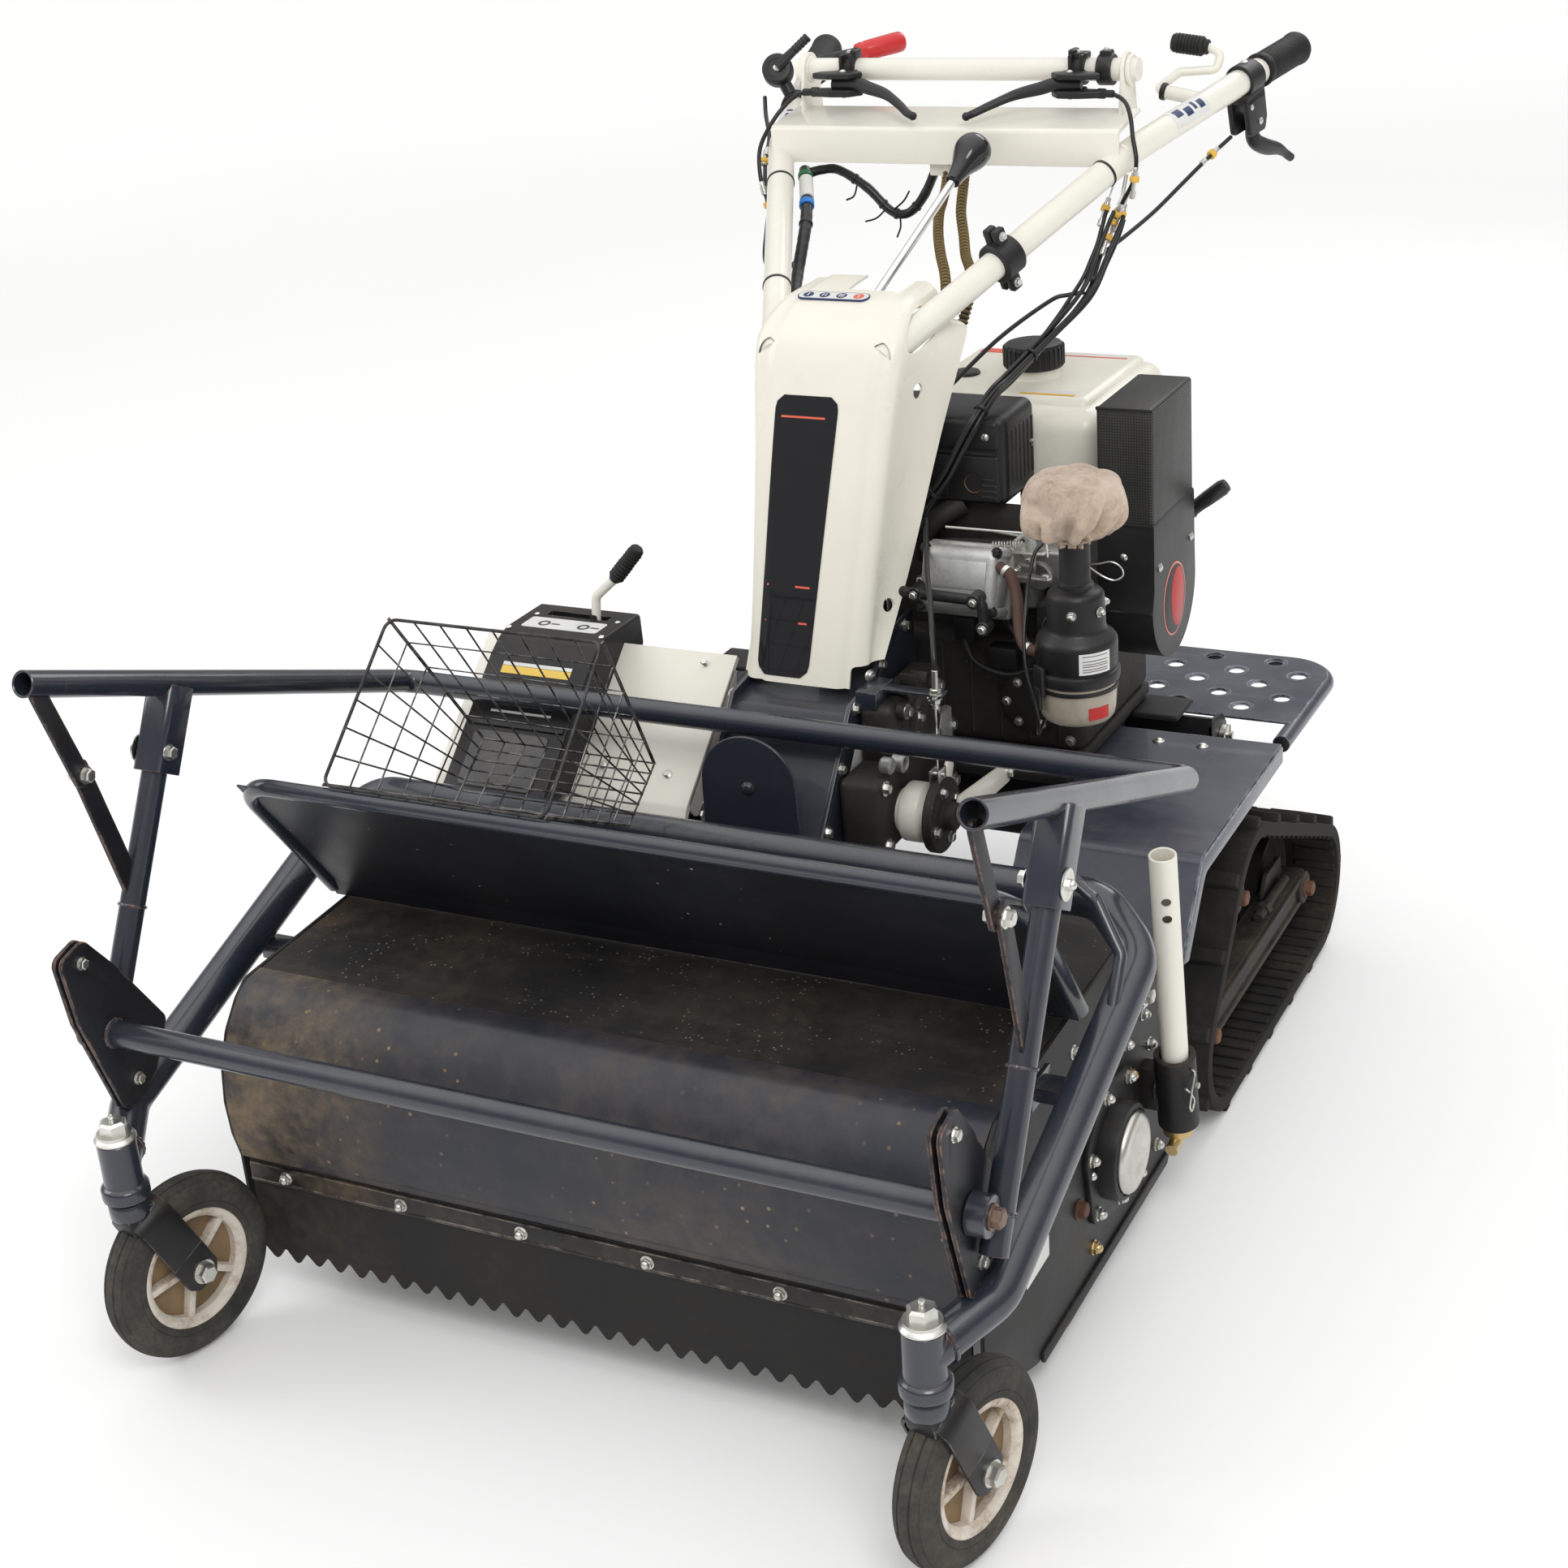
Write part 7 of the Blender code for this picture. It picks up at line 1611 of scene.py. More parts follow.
def makeClamps(c):
    x, y, z = c["x"], c["y"], c["z"]
    sleeve = lathe([(0.0138, -0.0075), (0.0172, -0.0075), (0.0178, -0.0065), (0.0178, 0.0065), (0.0172, 0.0075),
                    (0.0138, 0.0075)], (x + 0.002, crossY, crossZ), (x + 1, crossY, crossZ), 36)
    upright = gathered(block((x - 0.0085, crossY - 0.012, crossZ + 0.012), (x + 0.0125, crossY + 0.01, crossZ + 0.0205),
                             0.0025, 3),
                       block((x - 0.009, crossY - 0.013, crossZ + 0.014), (x - 0.0015, crossY + 0.008, crossZ + 0.0245),
                             0.0022, 3),
                       block((x - 0.0075, crossY - 0.019, crossZ - 0.006),
                             (x - 0.0025, crossY - 0.004, crossZ + 0.0195), 0.0018, 2),
                       block((x + 0.0065, crossY - 0.019, crossZ - 0.006),
                             (x + 0.0115, crossY - 0.004, crossZ + 0.0195), 0.0018, 2))
    bodyLine = [(x - 0.026, y + 0.004), (x - 0.012, y - 0.013), (x + 0.014, y - 0.0145), (x + 0.04, y - 0.0075),
                (x + 0.046, y + 0.001), (x + 0.04, y + 0.0075), (x + 0.016, y + 0.012), (x + 0.012, crossY - 0.004),
                (x - 0.01, crossY - 0.004), (x - 0.014, y + 0.0125)]
    low = flatPlate(rounded(bodyLine, 0.004, 4), z - 0.015, z - 0.0064, edge=0.0022, segments=3)
    top = flatPlate(rounded(bodyLine[:4] + [(x + 0.034, y + 0.006)] + bodyLine[6:], 0.004, 4), z + 0.0064, z + 0.0135,
                    edge=0.0022, segments=3)
    boss = lathe([(0, 0), (0.0052, 0), (0.006, 0.001), (0.006, 0.009), (0.0045, 0.01), (0.0045, 0.02), (0.0036, 0.021),
                  (0, 0.021)], (x + 0.034, y + 0.001, z - 0.0105), (x + 0.054, y - 0.002, z - 0.0105), 24)
    parts = gathered(sleeve, upright, low, top, boss)
    piece("leverClamps", bothSides(parts), blackPlastic)
    pins = gathered(heads([((x, y, z + 0.0134), (0, 0, 1), 0.0042), ((x, y, z - 0.0148), (0, 0, -1), 0.004)], "round"),
                    heads([((x + 0.002, crossY - 0.004, crossZ + 0.0205), (0, 0, 1), 0.0036)], "screw"))
    piece("leverPins", bothSides(pins), zinc)
    holder = gathered(lathe([(0.0138, -0.009), (0.0176, -0.009), (0.0182, -0.008), (0.0182, 0.008), (0.0176, 0.009),
                             (0.0138, 0.009)], (0.182, crossY, crossZ), (1, crossY, crossZ), 36),
                      block((0.175, crossY - 0.008, crossZ + 0.014), (0.189, crossY + 0.008, crossZ + 0.0225), 0.002,
                            2))
    piece("barHolder", holder, blackPlastic)
    piece("barHolderScrew", heads([((0.182, crossY, crossZ + 0.0224), (0, 0, 1), 0.0034)], "screw"), zinc)
    route = [(x + 0.014, y + 0.002, z), (x - 0.018, y - 0.001, z), (0.112, y - 0.006, z - 0.004),
             (0.084, y - 0.016, z - 0.01), (0.06, y - 0.032, z - 0.019), (0.044, y - 0.046, z - 0.026),
             (0.034, y - 0.05, z - 0.03)]
    line = flowing(route, 0.003)
    sizes = [1.32 + 0.25 * math.sin(math.pi * min(1.0, 1.6 * i / len(line))) - 0.55 * i / len(line)
             for i in range(len(line))]
    blade = sweep(line, 0.006, 24, sizes, 0.8)
    ball = lathe([(0, -0.0052), (0.0026, -0.0046), (0.0046, -0.0025), (0.0052, 0), (0.0046, 0.0025), (0.0026, 0.0046),
                  (0, 0.0052)], (0.0345, y - 0.0495, z - 0.0297), (0.0345, y - 0.0495, 2), 24)
    piece("squeezeLeft", gathered(blade, ball), blackPlastic, "steering_lever_left", replaces=("steering_lever_left",))
    piece("squeezeRight", flipped(gathered(blade, ball)), blackPlastic, "steering_lever_right",
          replaces=("steering_lever_right",))


makeClamps(clampAt)


def makeCollar():
    at = handleLow.lerp(handleBend, 0.47)
    line = (handleBend - handleLow).normalized()
    place = Matrix.Translation(at) @ line.to_track_quat("Y", "Z").to_matrix().to_4x4()
    sleeve = lathe([(0.0164, -0.015), (0.0225, -0.015), (0.0238, -0.0135), (0.0238, 0.0135), (0.0225, 0.015),
                    (0.0164, 0.015)], at, at + line, 40)
    ears = gathered(placed(block((-0.0115, -0.0075, -0.039), (-0.0015, 0.0075, 0.039), 0.0025, 3), place),
                    placed(block((0.0015, -0.0075, -0.039), (0.0115, 0.0075, 0.039), 0.0025, 3), place))
    piece("tubeCollar", gathered(sleeve, ears), blackPlastic)
    rows = [(place @ Vector((0.0114 * side, 0, end)), place.to_3x3() @ Vector((side, 0, 0)), 0.0042)
            for end in (-0.03, 0.03) for side in (-1, 1)]
    piece("tubeCollarScrews", heads(rows, "hex"), zinc)


makeCollar()


def makeGrips():
    profile = [(0.0, 0.0), (0.0175, 0.0), (0.02, 0.0005), (0.0212, 0.003), (0.0205, 0.008)]
    for i in range(14):
        h = 0.0125 + i * 0.005
        profile += [(0.0194 + 0.0006 * math.sin(i / 13 * math.pi), h), (0.02, h + 0.001), (0.02, h + 0.0028),
                    (0.0192, h + 0.0036)]
    profile += [(0.02, 0.084), (0.021, 0.09), (0.0211, 0.093), (0.0196, 0.0966), (0.015, 0.097), (0.0, 0.097)]
    start = tubeGrip + gripLine * 0.022
    grip = lathe(profile, start, start + gripLine, 44)
    other = flipped(grip)  # mirrored first, because piece moves its mesh
    piece("gripRubberLeft", grip, gripRubber, replaces=("grip_left",))
    piece("gripRubberRight", other, gripRubber, replaces=("grip_right",))


makeGrips()


def makeTrigger():
    sleeve = placed(lathe([(0.0165, -0.02), (0.0195, -0.02), (0.0203, -0.019), (0.0203, 0.01), (0.0195, 0.011),
                           (0.0165, 0.011)], (0, 0, 0), (0, 1, 0), 40), triggerFrame)
    cheek = rounded([(-0.03, -0.02), (-0.026, -0.066), (0.01, -0.066), (0.016, -0.05), (0.014, -0.014)], 0.006, 5)
    cheeks = gathered(sidePlate(cheek, -0.0142, -0.0072, edge=0.0016, segments=3),
                      sidePlate(cheek, 0.0082, 0.0152, edge=0.0016, segments=3),
                      sidePlate(rounded([(-0.03, -0.014), (-0.029, -0.027), (0.014, -0.026), (0.014, -0.012)], 0.004,
                                        4), -0.0142, 0.0152, edge=0.0016))
    body = gathered(sleeve, placed(cheeks, triggerFrame))
    piece("triggerBody", body, blackPlastic)
    pins = [(triggerFrame @ Vector(at), triggerFrame.to_3x3() @ Vector(aim), size) for at, aim, size in
            (((0.0152, -0.002, -0.052), (1, 0, 0), 0.0045), ((0.0152, -0.02, -0.03), (1, 0, 0), 0.0036),
             ((0.0, -0.005, 0.02), (0, 0, 1), 0.0045))]
    piece("triggerPins", heads(pins, "round"), zinc)
    line = flowing([(0, 0.01, -0.05), (0, 0.002, -0.062), (0, 0.006, -0.08), (0, 0.03, -0.096), (0, 0.062, -0.11),
                    (0, 0.09, -0.13)], 0.003)
    sizes = [1.0 + 0.75 * math.sin(min(1.0, i / len(line) * 1.2) * math.pi) - 0.1 * i / len(line)
             for i in range(len(line))]
    blade = placed(sweep(line, 0.006, 24, sizes), triggerFrame)
    piece("triggerBlade", blade, blackPlastic, "trigger", replaces=("trigger",))


makeTrigger()

throttleAt = Vector((-0.29, 1.34, 1.131))
throttleAxis = Vector((0.35, -0.85, 0.38)).normalized()


def makeThrottle():
    body = lathe([(0, -0.014), (0.0185, -0.014), (0.02, -0.0125), (0.02, 0.0045), (0.019, 0.006), (0, 0.006)],
                 throttleAt, throttleAt + throttleAxis, 44)
    strap = rod((-0.2655, 1.34, 1.0845), throttleAt - throttleAxis * 0.007, 0.0082, 24)
    sleeve = lathe([(0.0165, -0.008), (0.02, -0.008), (0.0208, -0.007), (0.0208, 0.007), (0.02, 0.008),
                    (0.0165, 0.008)], (-0.2655, 1.34, 1.0842), (-0.2655 - 0.069, 1.34 + 0.234, 1.0842 + 0.046), 36)
    piece("throttleBody", gathered(body, strap, sleeve), blackPlastic)
    face = throttleAt + throttleAxis * 0.0063
    disc = lathe([(0, 0), (0.0178, 0), (0.0185, 0.0008), (0.0185, 0.0046), (0.017, 0.006), (0.012, 0.0064),
                  (0.0115, 0.0052), (0, 0.0052)], face, face + throttleAxis, 44)
    tip = Vector((-0.247, 1.345, 1.174))
    tip += throttleAxis * (0.0065 + 0.004 - (tip - face).dot(throttleAxis))
    start = face + throttleAxis * 0.0065
    line = flowing([start, start.lerp(tip, 0.3), start.lerp(tip, 0.62), tip], 0.0025)
    count = len(line)
    sizes = [1.25 - 0.45 * i / count if i < count * 0.5 else 0.98 + 0.16 * (i % 2) for i in range(count)]
    arm = sweep(line, 0.006, 20, sizes, 0.8)
    piece("throttleArm", gathered(disc, arm), blackPlastic, "throttle_lever", replaces=("throttle_lever",))
    piece("throttleScrew", heads([(face + throttleAxis * 0.0056, throttleAxis, 0.0046)], "round"), zinc,
          "throttle_lever")


makeThrottle()


def makeSideLever():
    arm = sweep(rounded([(0.217, 1.37, 1.101), (0.208, 1.372, 1.104), (0.228, 1.395, 1.12), (0.268, 1.415, 1.12),
                         (0.272, 1.422, 1.138), (0.255, 1.421, 1.146)], 0.009, 7, False), 0.0052, 20)
    profile = [(0, 0), (0.0078, 0.0), (0.0092, 0.0015), (0.0092, 0.0055), (0.0104, 0.0062)]
    for i in range(8):
        h = 0.0085 + 0.0042 * i
        profile += [(0.0121, h), (0.0121, h + 0.002), (0.0111, h + 0.0027), (0.0111, h + 0.0036)]
    profile += [(0.0118, 0.043), (0.0095, 0.0466), (0, 0.047)]
    grip = lathe(profile, (0.257, 1.4212, 1.1455), (0.209, 1.42, 1.152), 36)
    piece("sideLeverRod", arm, creamPaint, "side_lever", replaces=("side_lever",))
    piece("sideLeverGrip", grip, gripRubber, "side_lever")
    hub = rod((0.2195, 1.37, 1.1005), (0.213, 1.37, 1.1018), 0.0105, 28, 0.001)
    piece("sideLeverHub", hub, blackPlastic, "side_lever")


makeSideLever()


def makeRedLever():
    arm = sweep(rounded([(-0.2619, 1.3753, 1.125), (-0.261, 1.378, 1.133), (-0.235, 1.395, 1.138),
                         (-0.212, 1.424, 1.14)], 0.008, 7, False), 0.0068, 20)
    hub = rod((-0.2619, 1.3753, 1.1252), (-0.26, 1.3801, 1.138), 0.011, 28, 0.0012)
    profile = [(0, 0), (0.0098, 0), (0.0112, 0.0012), (0.0125, 0.008), (0.0119, 0.01), (0.0119, 0.0125),
               (0.0127, 0.014), (0.0134, 0.056), (0.013, 0.064), (0.0105, 0.0676), (0, 0.068)]
    grip = lathe(profile, (-0.215, 1.42, 1.1395), (-0.172, 1.47, 1.147), 40)
    piece("redLeverArm", gathered(arm, hub), blackPlastic, "red_lever", replaces=("red_lever",))
    piece("redLeverGrip", grip, redPlastic, "red_lever")


makeRedLever()


def makeGearLever():
    foot, knob = Vector((0.0165, 0.88, 0.923)), Vector((0.06, 1.13, 1.068))
    line = (knob - foot).normalized()
    stem = rod(foot, knob - line * 0.04, 0.005, 28)
    ball = lathe([(0, 0), (0.0078, 0.0), (0.0088, 0.001), (0.0096, 0.008), (0.0106, 0.014), (0.0124, 0.023),
                  (0.015, 0.03), (0.0174, 0.036), (0.0196, 0.0415), (0.0213, 0.047), (0.0222, 0.0525), (0.0218, 0.0575),
                  (0.0203, 0.0625), (0.0176, 0.067), (0.013, 0.0706), (0.007, 0.0726), (0, 0.073)],
                 knob - line * 0.048, knob + line, 48)
    piece("gearRod", stem, chrome, "gear_lever", replaces=("gear_lever",))
    piece("gearKnob", ball, glossBlack, "gear_lever")


makeGearLever()
print("handlebar and levers made")


# Control cables, harness and conduits

cables = {"cable": 0.0026,
          "bundle": [(0.213, 1.196, 0.988), (0.205, 1.165, 0.945), (0.194, 1.14, 0.909), (0.168, 1.08, 0.869),
                     (0.152, 1.0, 0.842), (0.148, 0.952, 0.833), (0.138, 0.917, 0.806), (0.112, 0.902, 0.752),
                     (0.086, 0.892, 0.715), (0.07, 0.884, 0.676)]}


def strands(route, count, radius, around, turns, spacing=0.006):
    # cables lying beside one another along a route, apart at its start and close together further on
    line = flowing(route, spacing)
    result = []
    for k in range(count):
        row = []
        for i, p in enumerate(line):
            ahead = (line[min(i + 1, len(line) - 1)] - line[max(0, i - 1)]).normalized()
            side = ahead.orthogonal().normalized() if i == 0 else side
            side = (side - ahead * side.dot(ahead)).normalized()
            other = ahead.cross(side)
            share = i / (len(line) - 1)
            angle = 2 * math.pi * (k / count + turns * share) + 0.5 * noise.noise(Vector((share * 5, k * 3.1, 0)))
            loose = 1.0 + 1.5 * max(0.0, 1.0 - share / 0.34)
            reach = around * loose * (1 + 0.35 * noise.noise(Vector((share * 7, k * 5.7, 9))))
            row.append(p + (side * math.cos(angle) + other * math.sin(angle)) * reach)
        result.append(sweep(row, radius, 12))
    return gathered(*result)


def band(route, share, radius, length):
    # a short sleeve round a route at a share of its length
    line = flowing(route, 0.003)
    i = min(len(line) - 2, max(1, int(share * (len(line) - 1))))
    ahead = (line[i + 1] - line[i - 1]).normalized()
    return lathe([(0, 0), (radius - 0.0004, 0), (radius, 0.0005), (radius, length - 0.0005), (radius - 0.0004, length),
                  (0, length)], line[i] - ahead * length / 2, line[i] + ahead, 24)


def adjuster(at, toward, size=1.0):
    # a barrel adjuster: barrel, lock nut, thread and ferrule
    at, toward = Vector(at), Vector(toward)
    ahead = (toward - at).normalized()
    profile = [(0, 0), (0.003, 0), (0.0034, 0.0008), (0.0034, 0.007), (0.0046, 0.0074), (0.0046, 0.018),
               (0.004, 0.0188), (0.0026, 0.019), (0.0026, 0.03), (0.004, 0.0304), (0.004, 0.039), (0.003, 0.04),
               (0, 0.04)]
    return lathe([(r * size, h * size) for r, h in profile], at, at + ahead, 20)


bandProfile = [(0, 0), (0.0054, 0), (0.0054, 0.0066), (0, 0.0066)]  # a coloured band on an adjuster


def makeCables(c):
    bundle = strands(c["bundle"], 6, 0.0025, 0.0052, 0.35)
    trigger = [(0.287, 1.413, 1.04), (0.271, 1.37, 1.022), (0.254, 1.32, 1.0), (0.237, 1.27, 0.978),
               (0.222, 1.215, 0.962), (0.206, 1.168, 0.948)]
    squeeze = [(0.1938, 1.2309, 1.121), (0.206, 1.229, 1.1195), (0.219, 1.223, 1.112), (0.229, 1.21, 1.097),
               (0.236, 1.196, 1.078), (0.243, 1.187, 1.054), (0.24, 1.184, 1.03), (0.226, 1.188, 1.006),
               (0.2115, 1.192, 0.98)]
    engineRoute = [(0.194, 1.14, 0.909), (0.176, 1.131, 0.907), (0.158, 1.118, 0.902), (0.119, 1.05, 0.872),
                   (0.084, 0.97, 0.83), (0.074, 0.925, 0.818)]
    lines = [sweep(flowing(route, 0.005), c["cable"], 14) for route in (trigger, squeeze, engineRoute)]
    piece("controlCables", gathered(bundle, *lines), cableSleeve, replaces=("cable_bundle",))
    ties = [band(c["bundle"], share, 0.0088, 0.0042) for share in (0.16, 0.42, 0.66, 0.88)]
    piece("bundleTies", gathered(*ties), blackPlastic)
    steel, yellow = [], []
    for route, at in ((squeeze, 0.6), (squeeze, 0.86), (trigger, 0.1), (c["bundle"], 0.035)):
        line = flowing(route, 0.003)
        i = min(len(line) - 3, int(at * (len(line) - 1)))
        ahead = (line[i + 2] - line[i]).normalized()
        steel.append(adjuster(line[i], line[i] + ahead, 0.9))
        yellow.append(lathe([(0, 0), (0.0052, 0), (0.0056, 0.0006), (0.0056, 0.0064), (0.0052, 0.007), (0, 0.007)],
                            line[i] + ahead * 0.01, line[i] + ahead, 20))
    for k, (dx, dy) in enumerate(((-0.01, 0.002), (0.0095, 0.003), (0.0005, -0.006), (-0.003, 0.01))):
        top = Vector((0.213 + dx, 1.202 + dy, 1.006 - 0.007 * k))
        steel.append(adjuster(top, top + Vector((-0.15, -0.55, -0.82)), 0.9))
        yellow.append(lathe(bandProfile, top + Vector((-0.0015, -0.0055, -0.0082)),
                            top + Vector((-0.15, -0.55, -0.82)), 20))
        steel.append(sweep(flowing([top, top + Vector((0.004, 0.012, 0.02)), top + Vector((0.008, 0.016, 0.044))],
                                   0.004), 0.0012, 8))
    piece("cableAdjusters", gathered(*steel), zinc)
    piece("cableBands", gathered(*yellow), boltYellow)


makeCables(cables)


# Wiring harness

harness = {"trunk": [(-0.187, 1.192, 1.034), (-0.166, 1.15, 1.014), (-0.149, 1.11, 0.991), (-0.14, 1.08, 0.972),
                     (-0.13, 1.04, 0.943), (-0.116, 1.0, 0.923), (-0.098, 0.98, 0.903), (-0.074, 0.952, 0.872),
                     (-0.056, 0.915, 0.838)],
           "loop": [(-0.184, 1.188, 1.03), (-0.165, 1.196, 1.034), (-0.144, 1.2, 1.033), (-0.108, 1.2, 1.013),
                    (-0.08, 1.2, 0.987), (-0.062, 1.2, 0.981), (-0.046, 1.2, 0.988), (-0.03, 1.201, 1.008),
                    (-0.014, 1.202, 1.04)],
           "conduits": [[(0.0, 1.201, 1.036), (0.005, 1.182, 1.019), (0.011, 1.155, 1.007), (0.017, 1.13, 0.998),
                         (0.03, 1.095, 0.982), (0.047, 1.06, 0.966), (0.064, 1.03, 0.952), (0.076, 1.003, 0.936),
                         (0.078, 0.985, 0.916), (0.076, 0.97, 0.895)],
                        [(0.022, 1.204, 1.038), (0.027, 1.184, 1.021), (0.034, 1.16, 1.008), (0.041, 1.14, 0.996),
                         (0.056, 1.11, 0.978), (0.07, 1.08, 0.962), (0.085, 1.055, 0.953), (0.098, 1.03, 0.943),
                         (0.101, 1.008, 0.925), (0.099, 0.99, 0.9)]]}


def ribbed(route, radius, pitch):
    line = flowing(route, pitch / 6)
    sizes = [(1.0, 1.0, 0.97, 0.7, 0.68, 0.7)[i % 6] for i in range(len(line))]
    return sweep(line, radius, 20, sizes)


def wrapped(route, radius, seed):
    # a taped bundle: its thickness steps a little at each turn of the tape
    line = flowing(route, 0.0025)
    sizes = [1.0 + 0.05 * ((i % 5) / 5) + 0.08 * noise.noise(Vector((i * 0.13, seed, 0))) for i in range(len(line))]
    return sweep(line, radius, 20, sizes)


def makeHarness(h):
    trunk = wrapped(h["trunk"], 0.0073, 1.0)
    loop = wrapped(h["loop"], 0.0056, 5.0)
    rightSqueeze = [(-0.1938, 1.2309, 1.121), (-0.206, 1.229, 1.1195), (-0.22, 1.222, 1.11), (-0.234, 1.206, 1.09),
                    (-0.246, 1.19, 1.06), (-0.242, 1.178, 1.026), (-0.23, 1.17, 0.994), (-0.224, 1.15, 0.97),
                    (-0.214, 1.12, 0.946), (-0.2, 1.098, 0.936), (-0.175, 1.078, 0.934), (-0.152, 1.064, 0.944),
                    (-0.136, 1.06, 0.957)]
    throttle = [(-0.3, 1.318, 1.1), (-0.286, 1.29, 1.083), (-0.268, 1.26, 1.06), (-0.257, 1.225, 1.042),
                (-0.246, 1.198, 1.024), (-0.236, 1.176, 1.006)]
    lines = [sweep(flowing(route, 0.005), 0.0027, 14) for route in (rightSqueeze, throttle)]
    tails = [sweep(flowing(row, 0.003), 0.0012, 8) for row in
             ([(-0.08, 1.198, 0.99), (-0.092, 1.19, 0.978), (-0.106, 1.186, 0.974)],
              [(-0.066, 1.2, 0.984), (-0.066, 1.202, 0.966), (-0.072, 1.203, 0.952)],
              [(-0.072, 1.198, 0.987), (-0.056, 1.192, 0.999), (-0.046, 1.188, 1.012)],
              [(-0.12, 1.2, 1.019), (-0.124, 1.196, 1.003), (-0.134, 1.194, 0.998)])]
    piece("wiringHarness", gathered(trunk, loop, *lines, *tails), cableSleeve, replaces=("harness",))
    ties = [band(h["loop"], share, 0.0068, 0.0035) for share in (0.3, 0.52, 0.62, 0.75)]
    ties += [band(h["trunk"], share, 0.0086, 0.0038) for share in (0.3, 0.62, 0.86)]
    piece("harnessTies", gathered(*ties), blackPlastic)
    piece("harnessSleeve", band(h["trunk"], 0.115, 0.0088, 0.04), bareWhite)
    piece("harnessGreen", band(h["trunk"], 0.045, 0.0092, 0.008), bandGreen)
    piece("harnessBlue", band(h["trunk"], 0.2, 0.0093, 0.0085), bandBlue)
    plug = gathered(block((-0.026, 1.188, 1.046), (0.034, 1.216, 1.0835), 0.003, 3),
                    block((-0.02, 1.192, 1.03), (0.006, 1.212, 1.048), 0.002, 2),
                    block((0.01, 1.192, 1.032), (0.03, 1.212, 1.048), 0.002, 2))
    piece("connectorBlock", plug, creamPlastic)
    piece("conduitRibs", gathered(*[ribbed(route, 0.0064, 0.0058) for route in h["conduits"]]), conduitGold)
    # a black tube inside the ribbed conduits shows through their grooves: painted shade in the grooves
    piece("conduitCore", gathered(*[sweep(flowing(route, 0.004), 0.005, 18) for route in h["conduits"]]), soilBlack)
    steel, yellow = [], []
    for route, at in ((rightSqueeze, 0.4), (throttle, 0.55)):
        line = flowing(route, 0.003)
        i = int(at * (len(line) - 1))
        ahead = (line[i + 2] - line[i]).normalized()
        steel.append(adjuster(line[i], line[i] + ahead, 0.9))
        yellow.append(lathe(bandProfile, line[i] + ahead * 0.026, line[i] + ahead, 20))
    piece("harnessAdjusters", gathered(*steel), zinc)
    piece("harnessBands", gathered(*yellow), boltYellow)
    tubeTies = []
    for share, twin in ((0.3, otherSide), (0.8, otherSide), (0.88, Vector((1, 1, 1)))):
        at = handleLow.lerp(handleBend, share) * twin
        ahead = (handleBend - handleLow).normalized() * twin
        tubeTies.append(lathe([(0.016, -0.0015), (0.0172, -0.0015), (0.0172, 0.0015), (0.016, 0.0015)], at, at + ahead,
                              40))
    piece("tubeTies", gathered(*tubeTies), blackPlastic)

    def onTube(share, twin=Vector((1, 1, 1))):
        return handleBend.lerp(tubeGrip, share) * twin

    label = wrapPatch(onTube(0.28), onTube(0.56), 0.0162, (0.5, -0.6, 0.7), 52)
    other = wrapPatch(onTube(0.1, otherSide), onTube(0.34, otherSide), 0.0162, (0.3, -0.6, 0.7), 50)
    piece("tubeLabels", gathered(label, other), bareWhite)
    marks = [wrapPatch(onTube(first), onTube(last), 0.01655, (0.5 + turn, -0.6, 0.7), 20, 0.0003, 8)
             for first, last, turn in ((0.31, 0.36, -0.2), (0.38, 0.43, 0.15), (0.45, 0.47, -0.1), (0.49, 0.53, 0.1))]
    marks += [wrapPatch(onTube(first, otherSide), onTube(last, otherSide), 0.01655, (0.3, -0.6, 0.7), 20, 0.0003, 8)
              for first, last in ((0.13, 0.18), (0.21, 0.26), (0.29, 0.31))]
    piece("tubeLabelMarks", gathered(*marks), bandBlueDark)


makeHarness(harness)
print("cables made")


# Engine: block, rocker cover, muffler cover, tank, fan cover and starter

engine = {"headFace": (0.15, 0.875, 0.64), "tilt": -18.0, "fins": 16,
          "tankLow": (-0.02, 1.037, 0.6855), "tankHigh": (0.244, 1.298, 0.8), "cap": (0.12, 1.16),
          "coverX": 0.205, "coverZ": 0.485}
headPlace = Matrix.Translation(engine["headFace"]) @ turned(engine["tilt"], "X")


def flatFin(at, halfWide, halfTall):
    outline = rounded(corners(-halfWide, -halfTall, halfWide, halfTall), 0.014, 4)
    return frontPlate(outline, at, at + 0.0024, edge=0.0005, segments=1)


